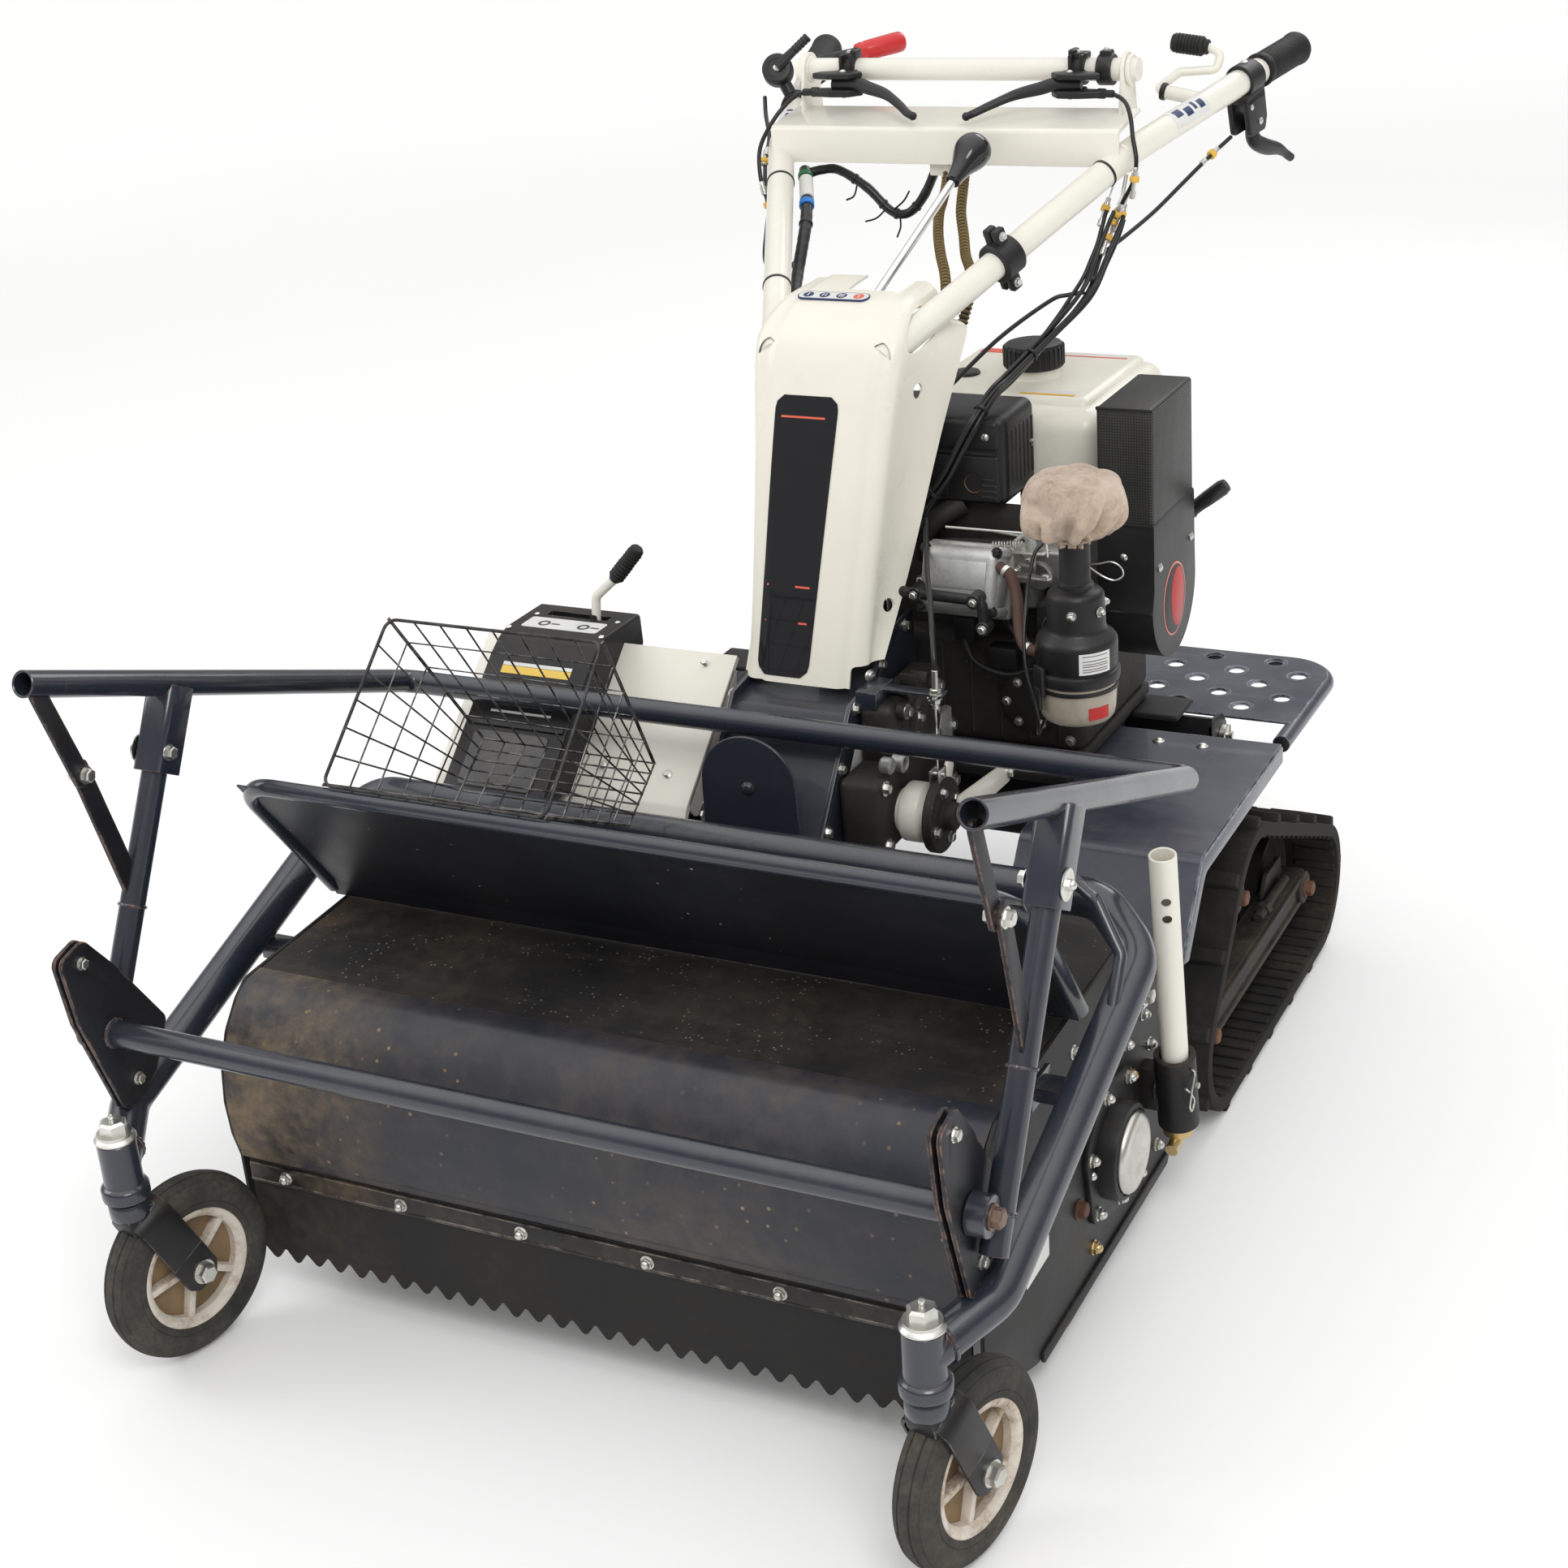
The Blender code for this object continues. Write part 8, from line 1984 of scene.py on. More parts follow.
def makeEngineBlock(e):
    low = block((-0.02, 0.905, 0.424), (0.268, 1.14, 0.56), 0.014, 4)
    foot = block((-0.02, 0.905, 0.4105), (0.268, 1.14, 0.426), 0.003, 2)
    top = block((0.01, 0.93, 0.54), (0.268, 1.13, 0.64), 0.012, 4)
    box = block((0.23, 0.86, 0.576), (0.266, 0.96, 0.624), 0.005, 3)
    stay = block((0.13, 1.075, 0.63), (0.17, 1.115, 0.6852), 0.002, 2)
    barrel = placed(rod((0, 0, 0), (0, 0.13, 0), 0.04, 40), headPlace)
    reaches = [0.047 - 0.004 * (i % 2) for i in range(e["fins"])]
    fins = [placed(flatFin(0.006 + 0.0074 * i, reach, reach * 0.94), headPlace) for i, reach in enumerate(reaches)]
    ribs = [block((0.02 + 0.036 * i, 0.9035, 0.436), (0.0235 + 0.036 * i, 0.912, 0.548), 0.0012, 1) for i in range(7)]
    x, z = e["coverX"], e["coverZ"]
    lid = lathe([(0, 0), (0.034, 0), (0.036, 0.002), (0.036, 0.006), (0.03, 0.009), (0, 0.009)], (x, 0.9052, z),
                (x, 0, z), 36)
    plug = rod((0.045, 0.906, 0.455), (0.045, 0.894, 0.452), 0.011, 28, 0.0015)
    piece("engineCase", gathered(low, foot, top, box, stay, barrel, *fins, *ribs, lid, plug), castDark,
          replaces=("engine_block",))
    rows = [((u, 0.8965, v), (0, -1, 0), 0.004) for u, v in ring((x, z), 0.028, 6)]
    rows += [((x, 0.9045, z), (0, -1, 0), 0.0046)
             for x, z in ((0.002, 0.45), (0.002, 0.53), (0.252, 0.545), (0.252, 0.44))]
    rows += [((x, y, 0.4262), (0, 0, 1), 0.0062) for x, y in ((-0.008, 0.918), (-0.008, 1.125))]
    rows += [((0.06 + 0.05 * i, 0.9297, 0.612), (0, -1, 0), 0.0042) for i in range(4)]
    piece("engineCaseBolts", heads(rows, "flange"), zinc)


def makeRockerCover():
    low = placed(block((-0.052, -0.012, -0.042), (0.052, -0.0006, 0.042), 0.0035, 3), headPlace)
    crown = placed(block((-0.0475, -0.049, -0.0375), (0.0475, -0.008, 0.0375), 0.0125, 6), headPlace)
    field = placed(block((-0.03, -0.0502, -0.01), (0.034, -0.047, 0.022), 0.001, 2), headPlace)
    spots = [(x, z) for x in (-0.043, 0.043) for z in (-0.033, 0.033)]
    boss = [placed(lathe([(0, 0), (0.0068, 0), (0.0068, 0.04), (0.0058, 0.042), (0, 0.042)], (x, -0.002, z), (x, -1, z),
                         24), headPlace) for x, z in spots]
    piece("rockerShell", gathered(low, crown, field, *boss), castSilver, replaces=("rocker_cover",))
    rows = [(headPlace @ Vector((x, -0.044, z)), headPlace.to_3x3() @ Vector((0, -1, 0)), 0.0046) for x, z in spots]
    piece("rockerBolts", heads(rows, "flange"), blackPlastic)
    bosses = (((0.1885, 0.6085), 0.8205, 0.803, 0.0082, 0.0044), ((0.178, 0.639), 0.826, 0.804, 0.0086, 0.004),
              ((0.106, 0.641), 0.83, 0.805, 0.0086, 0.004))
    route = rounded([(0.078, 0.8125, 0.6415), (0.186, 0.8115, 0.639), (0.1885, 0.8105, 0.604)], 0.01, 7, False)
    bow = gathered(sweep(route, 0.0064, 24), *[rod((x, rear, z), (x, front, z), radius, 24, 0.001)
                                               for (x, z), rear, front, radius, _ in bosses])
    piece("rockerBar", bow, blackPlastic)
    rows = [((x, front - 0.0001, z), (0, -1, 0), size) for (x, z), _, front, _, size in bosses]
    piece("rockerBarBolts", heads(rows), zinc)
    hose = flowing([(0.195, 0.843, 0.67), (0.212, 0.836, 0.662), (0.224, 0.822, 0.64), (0.232, 0.806, 0.612),
                    (0.244, 0.792, 0.598), (0.26, 0.788, 0.596)], 0.003)
    piece("breatherHose", sweep(hose, 0.0066, 20), hoseBrown)
    clips = [lathe([(0.0062, 0), (0.0074, 0), (0.0074, 0.005), (0.0062, 0.005)], hose[i], hose[i + 2], 24)
             for i in (3, len(hose) - 6)]
    piece("breatherClips", gathered(*clips), zinc)


def makeMufflerCover():
    shell = block((-0.08, 0.938, 0.7055), (0.168, 1.0365, 0.812), 0.012, 5)
    face = block((-0.074, 0.9352, 0.772), (0.16, 0.95, 0.806), 0.0045, 3)
    lower = block((-0.074, 0.936, 0.71), (0.16, 0.95, 0.766), 0.0035, 3)
    holeX, holeZ = 0.129, 0.733
    hole = rod((holeX, 0.915, holeZ), (holeX, 0.942, holeZ), 0.0135, 32)
    lower = cutBy(lower, hole)
    slots = [block((0.14, 0.9349, 0.716 + 0.0068 * i), (0.157, 0.9372, 0.7186 + 0.0068 * i), 0.0006, 1)
             for i in range(4)]
    louvres = [block((-0.06 + 0.022 * i, 0.9349, 0.718), (-0.0565 + 0.022 * i, 0.938, 0.756), 0.0012, 2)
               for i in range(8)]
    ends = [block((0.1672, 0.95 + 0.012 * i, 0.725), (0.1688, 0.9545 + 0.012 * i, 0.792), 0.0006, 1) for i in range(7)]
    ridge = block((-0.07, 0.935, 0.7672), (0.158, 0.94, 0.7705), 0.001, 2)
    piece("mufflerShell", gathered(shell, face, lower, ridge, *louvres, *slots, *ends), blackPlastic,
          replaces=("muffler_cover",))
    plug = lathe([(0, 0), (0.007, 0), (0.0105, -0.001), (0.0118, -0.003), (0.0118, 0.004), (0, 0.004)],
                 (holeX, 0.9395, holeZ), (holeX, 1, holeZ), 32)
    piece("mufflerPlug", plug, rustyIron)
    rows = [((-0.06, 0.9352, 0.789), (0, -1, 0), 0.0044), ((0.146, 0.9352, 0.789), (0, -1, 0), 0.0044),
            ((0.168, 1.022, 0.76), (1, 0, 0), 0.0044)]
    piece("mufflerScrews", heads(rows, "round"), zinc)
    shield = gathered(frontPlate(rounded([(0.0, 0.636), (0.256, 0.636), (0.256, 0.684), (0.18, 0.705), (0.0, 0.705)],
                                         0.006, 4), 0.956, 0.9578, edge=0.0006),
                      sweep(flowing([(0.06, 0.94, 0.64), (0.066, 0.93, 0.668), (0.086, 0.935, 0.69),
                                     (0.11, 0.95, 0.704)], 0.004), 0.0125, 24),
                      block((0.02, 0.938, 0.64), (0.052, 0.956, 0.672), 0.003),
                      block((0.13, 0.94, 0.64), (0.172, 0.956, 0.664), 0.003))
    piece("heatShield", shield, castDark)


def makeTank(e):
    (x0, y0, z0), (x1, y1, z1) = e["tankLow"], e["tankHigh"]
    capX, capY = e["cap"]
    capFoot = 0.8123
    body = block((x0, y0, z0), (x1, y1, z1 - 0.008), 0.026, 8)
    crown = block((x0 + 0.018, y0 + 0.03, z1 - 0.034), (x1 - 0.022, y1 - 0.016, z1), 0.012, 6)
    neck = lathe([(0, 0), (0.0385, 0), (0.037, 0.006), (0.032, 0.01), (0.0305, 0.0125), (0.0305, 0.022), (0, 0.022)],
                 (capX, capY, 0.79), (capX, capY, 1), 48)
    stay = block((0.128, 1.075, 0.6855), (0.172, 1.115, 0.69), 0.001)
    piece("fuelTankShell", gathered(body, crown, neck, stay), creamPlastic, replaces=("fuel_tank",))
    piece("tankGauge", lathe([(0, 0), (0.0165, 0), (0.0165, 0.003), (0.015, 0.0046), (0.008, 0.005), (0, 0.0046)],
                             (0.036, 1.15, 0.7995), (0.036, 1.15, 1), 36), blackPlastic)
    profile = [(0, 0), (0.0355, 0), (0.0365, 0.002), (0.036, 0.0235), (0.0335, 0.028), (0.024, 0.0305), (0.01, 0.031),
               (0, 0.031)]
    cap = lathe(profile, (capX, capY, capFoot), (capX, capY, 1), 72)
    rib = block((0.035, -0.0019, 0.002), (0.0374, 0.0019, 0.0255), 0.0008, 1)
    ribs = [placed(placed(rib, Matrix.Rotation(2 * math.pi * i / 30, 4, "Z")),
                   Matrix.Translation((capX, capY, capFoot))) for i in range(30)]
    piece("fuelCapShell", gathered(cap, *ribs), blackPlastic, "fuel_cap", replaces=("fuel_cap",))
    piece("tankLabelFront", block((0.132, 1.0795, 0.7996), (0.2, 1.1, 0.8004), 0.0002, 1), bareWhite)
    piece("tankBandFront", block((0.132, 1.0795, 0.7998), (0.2, 1.0855, 0.8006), 0.0002, 1), boltYellow)
    piece("tankLabelBack", block((0.012, 1.252, 0.7996), (0.205, 1.269, 0.8004), 0.0002, 1), bareWhite)
    piece("tankBandBack", gathered(block((0.012, 1.252, 0.7998), (0.052, 1.269, 0.8006), 0.0002, 1),
                                   block((0.052, 1.252, 0.7998), (0.205, 1.2555, 0.8006), 0.0002, 1)), bareRed)


def fanProfile(zLow, zHigh):
    line = [(0.962, 0.825), (0.962, 0.61), (0.955, 0.585)] + ring((1.034, 0.59), 0.079, 36, 182.0, 176.0)
    line += [(1.11, 0.64), (1.107, 0.825)]
    if zHigh < 0.82:
        return [(0.962, zHigh)] + line[1:-1] + [(1.109, zHigh)]
    return [(0.962, 0.825), (0.962, zLow), (1.109, zLow), (1.107, 0.825)]


def ringOval(middle, halfY, halfZ, count=56):
    return [(middle[0] + halfY * math.cos(2 * math.pi * i / count),
             middle[1] + halfZ * math.sin(2 * math.pi * i / count)) for i in range(count)]


def makeFanCover():
    face = 0.3358
    lower = sidePlate(fanProfile(0.0, 0.688), 0.2685, 0.336, edge=0.0065, segments=4)
    piece("fanShell", lower, blackPlastic, replaces=("fan_cover",))
    upper = sidePlate(fanProfile(0.686, 0.825), 0.269, 0.335, edge=0.0045, segments=3)
    piece("fanScreen", upper, screenBlack)
    hem = gathered(sidePlate(corners(0.9612, 0.686, 1.1092, 0.6905), 0.269, face, edge=0.001),
                   sidePlate(corners(0.9612, 0.821, 0.965, 0.825), 0.269, face, edge=0.0008))
    piece("fanHem", hem, blackPlastic)
    piece("fanScrews", heads([((face, 0.98, 0.635), (1, 0, 0), 0.0055), ((face, 1.095, 0.635), (1, 0, 0), 0.005),
                              ((0.3, 0.9617, 0.65), (0, -1, 0), 0.0046)], "round"), zinc)
    piece("emblemRim", sidePlate(ringOval((1.033, 0.579), 0.04, 0.044), 0.3355, 0.3366, edge=0.0004), pinkTint)
    piece("emblemBlack", sidePlate(ringOval((1.033, 0.579), 0.0375, 0.0415), 0.336, 0.3369, edge=0.0003), blackPlastic)
    piece("emblemRed", sidePlate(ringOval((1.043, 0.579), 0.0235, 0.036), 0.3362, 0.3372, edge=0.0003), emblemRed)


def makeStarter():
    eye = Vector((0.318, 1.1155, 0.64))
    line = Vector((0.3, 0.8, 0.52)).normalized()
    neck = eye + line * 0.02
    low, high = neck + Vector((-0.004, 0.004, 0.0)), neck + Vector((0.042, 0.01, 0.036))
    grip = lathe([(0, 0), (0.0075, 0), (0.0098, 0.0016), (0.0088, 0.01), (0.0086, 0.018), (0.0094, 0.03),
                  (0.0098, 0.052), (0.0078, 0.058), (0, 0.0586)], low, high, 36)
    stem = lathe([(0, 0), (0.0078, 0), (0.008, 0.002), (0.0062, 0.006), (0.0062, 0.014), (0.0085, 0.022), (0, 0.024)],
                 eye, eye + line, 32)
    piece("starterHandle", gathered(grip, stem), starterBlack, "starter_grip", replaces=("starter_grip",))
    piece("starterCord", rod(eye - line * 0.3, eye + line * 0.004, 0.0014, 12), cableSleeve, "starter_grip")
    piece("starterEye", heads([(low + Vector((-0.001, -0.0085, 0.001)), (0, -1, 0), 0.005)], "round"), zinc,
          "starter_grip")


makeEngineBlock(engine)
makeRockerCover()
makeMufflerCover()
makeTank(engine)
makeFanCover()
makeStarter()


# Carburettor, linkage and small fittings in the gap between case and air cleaner

def springAlong(start, end, radius, wire, turns):
    place, length = frameAlong(start, end)
    count = turns * 14
    line = [place @ Vector((radius * math.cos(i / 14 * 2 * math.pi), radius * math.sin(i / 14 * 2 * math.pi),
                            length * i / count)) for i in range(count + 1)]
    return sweep(line, wire, 8)


def makeLinkage():
    carb = gathered(rod((0.218, 0.962, 0.64), (0.218, 0.9, 0.64), 0.017, 32, 0.002),
                    lathe([(0, 0), (0.0165, 0), (0.019, 0.003), (0.019, 0.024), (0.017, 0.028), (0, 0.028)],
                          (0.203, 0.925, 0.598), (0.203, 0.925, 1), 32),
                    block((0.188, 0.908, 0.624), (0.248, 0.945, 0.668), 0.004, 3))
    piece("carburettor", carb, castSilver)
    thin = gathered(flatPlate(rounded([(0.17, 0.868), (0.236, 0.872), (0.24, 0.892), (0.205, 0.905), (0.17, 0.896)],
                                      0.005, 4), 0.676, 0.6776,
                              holes=(ring((0.186, 0.882), 0.0035, 16), ring((0.222, 0.884), 0.004, 16)), edge=0.0003),
                    frontPlate(rounded([(0.196, 0.64), (0.224, 0.642), (0.228, 0.69), (0.212, 0.702), (0.198, 0.688)],
                                       0.005, 4), 0.876, 0.8776, holes=(ring((0.211, 0.69), 0.003, 14),), edge=0.0003),
                    flatPlate(rounded([(0.184, 0.852), (0.25, 0.846), (0.254, 0.858), (0.19, 0.872)], 0.004, 4), 0.656,
                              0.6574, edge=0.0003),
                    block((0.148, 0.884, 0.656), (0.176, 0.904, 0.6576), 0.0004, 1),
                    block((0.148, 0.884, 0.64), (0.1496, 0.904, 0.6576), 0.0004, 1))
    piece("linkagePlates", thin, zinc)
    rods = gathered(sweep(rounded([(0.168, 0.9, 0.69), (0.238, 0.88, 0.692), (0.244, 0.868, 0.676)], 0.006, 5, False),
                          0.0014, 10),
                    sweep(rounded([(0.12, 0.872, 0.701), (0.226, 0.878, 0.699)], 0.006, 5, False), 0.0015, 10),
                    springAlong((0.176, 0.874, 0.684), (0.214, 0.874, 0.688), 0.0034, 0.0006, 11))
    piece("linkageRods", rods, zinc)
    rows = [((0.186, 0.874, 0.6778), (0, 0, 1), 0.0046), ((0.205, 0.893, 0.6778), (0, 0, 1), 0.0042),
            ((0.218, 0.8755, 0.668), (0, -1, 0), 0.004), ((0.203, 0.8755, 0.654), (0, -1, 0), 0.004),
            ((0.246, 0.852, 0.6576), (0, 0, 1), 0.004), ((0.222, 0.9075, 0.646), (0, -1, 0), 0.004)]
    piece("linkageBolts", heads(rows, "hex"), zinc)
    black = gathered(block((0.12, 0.88, 0.56), (0.146, 0.906, 0.59), 0.003),
                     block((0.16, 0.882, 0.53), (0.196, 0.906, 0.556), 0.003),
                     rod((0.226, 0.905, 0.54), (0.226, 0.88, 0.54), 0.011, 24, 0.001),
                     sweep(flowing([(0.132, 0.884, 0.562), (0.15, 0.872, 0.54), (0.19, 0.868, 0.53),
                                    (0.226, 0.876, 0.54)], 0.004), 0.0035, 14),
                     sweep(flowing([(0.18, 0.884, 0.6), (0.196, 0.868, 0.588), (0.224, 0.862, 0.56),
                                    (0.246, 0.872, 0.52), (0.25, 0.895, 0.49)], 0.004), 0.003, 14))
    piece("engineSmallParts", black, blackPlastic)


makeLinkage()
print("engine made")


# Air cleaner, its bowl and the gathered cloth cover

air = {"x": 0.301, "y": 0.8, "low": 0.5653}


def makeAirCleaner(a):
    foot, top = (a["x"], a["y"], a["low"]), (a["x"], a["y"], 1.0)
    profile = [(0, 0), (0.0438, 0), (0.0468, 0.002), (0.0473, 0.0045), (0.0473, 0.0125), (0.0462, 0.0145),
               (0.044, 0.0155), (0.044, 0.0175), (0.0449, 0.019), (0.0452, 0.044), (0.0446, 0.048), (0.042, 0.052),
               (0.035, 0.0575), (0.0333, 0.06), (0.0325, 0.064), (0.0316, 0.096), (0.0305, 0.1), (0.027, 0.1035),
               (0.0222, 0.105), (0.02, 0.1062), (0.02, 0.111), (0.0178, 0.1122), (0.017, 0.114), (0.017, 0.1647),
               (0, 0.1647)]
    body = lathe(profile, foot, top, 72)
    x, y = a["x"], a["y"]
    elbow = sweep(flowing([(x - 0.018, y + 0.024, 0.59), (x - 0.028, y + 0.036, 0.597), (x - 0.0385, y + 0.046, 0.6),
                           (x - 0.039, 0.8597, 0.6)], 0.003), 0.018, 32)
    clamp = lathe([(0.0178, 0), (0.0198, 0), (0.0198, 0.007), (0.0178, 0.007)], (x - 0.039, 0.848, 0.6),
                  (x - 0.039, 1, 0.6), 36)
    piece("airCleanerShell", gathered(body, elbow), blackPlastic, replaces=("air_cleaner",))
    piece("elbowClamp", clamp, zinc)
    clip = gathered(block((-0.009, -0.0515, -0.004), (0.009, -0.0455, 0.03), 0.0015, 2),
                    block((-0.006, -0.053, -0.02), (0.006, -0.048, 0.006), 0.0015, 2))
    piece("airBand", placed(clip, Matrix.Translation((x, y, a["low"] - 0.006)) @ turned(-38, "Z")), blackPlastic)
    label = wrapPatch((x, y, a["low"] + 0.0195), (x, y, a["low"] + 0.0435), 0.0451, (0.73, -0.68, 0), 24)
    piece("airLabel", label, bareWhite)
    lines = [wrapPatch((x, y, a["low"] + h), (x, y, a["low"] + h + 0.0008), 0.0455, (0.73, -0.68, 0), 19, 0.0002)
             for h in (0.0225, 0.025, 0.0285, 0.031, 0.0345, 0.04)]
    piece("airLabelLines", gathered(*lines), greyDoor)
    rows = []
    for angle in (-78, -18, 42):
        t = math.radians(angle)
        rows.append(((x + 0.0322 * math.cos(t), y + 0.0322 * math.sin(t), a["low"] + 0.083),
                     (math.cos(t), math.sin(t), 0), 0.0048))
    piece("airScrews", heads(rows, "acorn"), zinc)
    ringLine = [(x + 0.018, y - 0.002, 0.699), (x + 0.03, y - 0.006, 0.702), (x + 0.044, y - 0.008, 0.706),
                (x + 0.0545, y - 0.006, 0.7), (x + 0.0555, y - 0.004, 0.69), (x + 0.0465, y - 0.004, 0.684),
                (x + 0.034, y - 0.006, 0.688), (x + 0.018, y - 0.002, 0.695)]
    piece("airWireRing", sweep(flowing(ringLine, 0.0015), 0.001, 10), zinc)
    cable = flowing([(0.236, 0.872, 0.69), (0.237, 0.846, 0.688), (0.244, 0.812, 0.676), (0.249, 0.786, 0.65),
                     (0.253, 0.766, 0.618), (0.26, 0.752, 0.588), (0.27, 0.7445, 0.56), (0.274, 0.747, 0.534),
                     (0.269, 0.76, 0.512), (0.26, 0.786, 0.5), (0.25, 0.822, 0.494), (0.244, 0.862, 0.494),
                     (0.242, 0.905, 0.5)], 0.0035)
    piece("airCable", sweep(cable, 0.0021, 14), cableSleeve)


def makeBowl(a):
    place, top = (a["x"], a["y"], 0.518), (a["x"], a["y"], 1.0)
    profile = [(0, 0), (0.02, 0.0), (0.03, 0.0008), (0.037, 0.0034), (0.0405, 0.008), (0.0422, 0.016), (0.0432, 0.03),
               (0.0435, 0.04), (0.0435, 0.047), (0, 0.047)]
    piece("dustBowlShell", lathe(profile, place, top, 72), bowlPlastic, replaces=("dust_bowl",))
    rim = lathe([(0.043, 0), (0.0452, 0.0005), (0.0452, 0.0045), (0.043, 0.005)], (a["x"], a["y"], 0.5575), top, 72)
    piece("bowlRim", rim, blackPlastic)
    mark = wrapPatch((a["x"], a["y"], 0.53), (a["x"], a["y"], 0.544), 0.043, (0.8, -0.6, 0), 17)
    piece("bowlRedMark", mark, emblemRed)


makeAirCleaner(air)
makeBowl(air)


# The cover is a round cloth drawn together at its hem; its flat radius is the length from the crown to the hem
cover = {"columns": 192, "rows": 52, "bottom": 0.73, "frames": 10, "flatRadius": 0.124, "reach": 0.004,
         "cloth": {"quality": 6, "mass": 0.12, "tension_stiffness": 25.0, "compression_stiffness": 25.0,
                   "shear_stiffness": 8.0, "bending_stiffness": 0.15, "vertex_group_mass": "held",
                   "use_pressure": True, "uniform_pressure_force": 0.05}}
coverProfile = [(0.0, 0.0728), (0.024, 0.073), (0.038, 0.0712), (0.0475, 0.0655), (0.053, 0.056), (0.055, 0.044),
                (0.0545, 0.031), (0.0515, 0.019), (0.044, 0.009), (0.031, 0.003), (0.0215, 0.0005), (0.019, -0.004),
                (0.0195, -0.009)]


def settled(mesh, c):
    # the cloth settles for a few frames with a little air in it, held at its hem
    item = linked("coverWork", mesh)
    held = item.vertex_groups.new(name="held")
    start = [Vector(v.co) for v in mesh.vertices]
    held.add([i for i, p in enumerate(start) if p.z < c["bottom"] + 0.004], 1.0, "REPLACE")
    change = item.modifiers.new("settle", "CLOTH")
    for key, value in c["cloth"].items():
        setattr(change.settings, key, value)
    change.settings.effector_weights.gravity = 0.35
    change.collision_settings.use_collision = False
    change.collision_settings.use_self_collision = False
    scene = bpy.context.scene
    change.point_cache.frame_start = 1
    change.point_cache.frame_end = c["frames"]
    for step in range(1, c["frames"] + 1):
        scene.frame_set(step)
    done = bpy.data.meshes.new_from_object(item.evaluated_get(bpy.context.evaluated_depsgraph_get()))
    for i, v in enumerate(done.vertices):
        move = v.co - start[i]
        if move.length > c["reach"]:
            v.co = start[i] + move.normalized() * c["reach"]
    bpy.data.objects.remove(item, do_unlink=True)
    scene.frame_set(1)
    return done


def makeCover(c, a):
    line = flowing([(r, 0, z) for r, z in coverProfile], 0.0008)
    length = [0.0]
    for p, q in zip(line, line[1:]):
        length.append(length[-1] + (q - p).length)
    points, faces = [(0.0, 0.0, line[0].z)], []
    for i in range(1, c["rows"] + 1):
        share = i / c["rows"]
        k = min(len(line) - 1, next(n for n, reach in enumerate(length) if reach >= share * length[-1] - 1e-9))
        radius, z = line[k].x, line[k].z
        flat = c["flatRadius"] * share
        excess = max(0.0, flat / max(radius, 0.004) - 1.0)
        gather = max(0.0, min(1.0, (share - 0.26) / 0.42))
        for n in range(c["columns"]):
            angle = 2 * math.pi * n / c["columns"]
            east, north = math.cos(angle), math.sin(angle)
            drift = 0.55 * noise.noise(Vector((east * 1.3, north * 1.3, share * 1.6)))
            wave = math.sin(9 * (angle + 0.8 * drift + 0.8 * share)) + 0.5 * math.sin(16 * angle + 5 * drift + 1.3)
            fold = -abs(wave) ** 0.65 if wave < 0 else 0.45 * wave
            slack = min(1.0, (radius - 0.012) / 0.02)
            depth = gather * (0.0068 + 0.005 * min(1.0, excess)) * slack
            crease = 0.0075 * min(1.0, share * 1.6) * min(0.0, math.sin(5 * angle + 8 * drift - 8 * share) + 0.35)
            lump = 0.006 * noise.noise(Vector((east * 1.6, north * 1.6, z * 26))) * min(1.0, share * 2.2)
            reach = radius + depth * fold + crease * slack + lump
            sway = 0.005 * noise.noise(Vector((east * 1.3 + 5, north * 1.3, z * 14)))
            points.append((reach * east, reach * north, z + sway * (1 - gather) * min(1.0, share * 3)))
    count = c["columns"]
    for n in range(count):
        faces.append((0, 1 + n, 1 + (n + 1) % count))
    for i in range(c["rows"] - 1):
        for n in range(count):
            p, q = 1 + i * count + n, 1 + i * count + (n + 1) % count
            faces.append((p, p + count, q + count, q))
    mesh = meshFrom(points, faces)
    mesh.transform(Matrix.Translation((a["x"], a["y"], c["bottom"])))
    mesh = cleaned(mesh, 0.000002)
    mesh = settled(mesh, c)
    mesh = withModifier(mesh, "SUBSURF", levels=1, render_levels=1)
    mesh = withModifier(mesh, "SOLIDIFY", thickness=0.0005, offset=-1.0)
    item = piece("coverCloth", mesh, clothBeige, replaces=("cloth_cover",), angle=80.0)
    cord = lathe([(0.019, 0), (0.0222, 0.0006), (0.0226, 0.002), (0.0222, 0.0034), (0.019, 0.004)],
                 (a["x"], a["y"], c["bottom"] - 0.0045), (a["x"], a["y"], 1), 48)
    piece("coverTie", cord, clothBeige)
    return item


makeCover(cover, air)
print("air cleaner and cover made")


# Side plates with the rotor's bearing housings, and the marker pipe in its socket

deckHalf, plateThick = 0.428, 0.005
plateTop = deckHalf + plateThick
rotorY, rotorZ = 0.505, 0.163
sideOutline = [(0.16, 0.1), (0.159, 0.1735), (0.151, 0.205), (0.148, 0.245), (0.153, 0.285), (0.169, 0.322),
               (0.193, 0.35), (0.213, 0.364), (0.415, 0.372), (0.608, 0.3775), (0.654, 0.331), (0.668, 0.28),
               (0.722, 0.12), (0.722, 0.046), (0.7, 0.028), (0.38, 0.022), (0.29, 0.036), (0.2, 0.07)]
sideCorners = [0.012, 0.004, 0.02, 0.03, 0.03, 0.03, 0.03, 0.02, 0.05, 0.02, 0.025, 0.03, 0.018, 0.014, 0.012, 0.05,
               0.05, 0.03]
socketY, socketX = 0.622, plateTop + 0.037


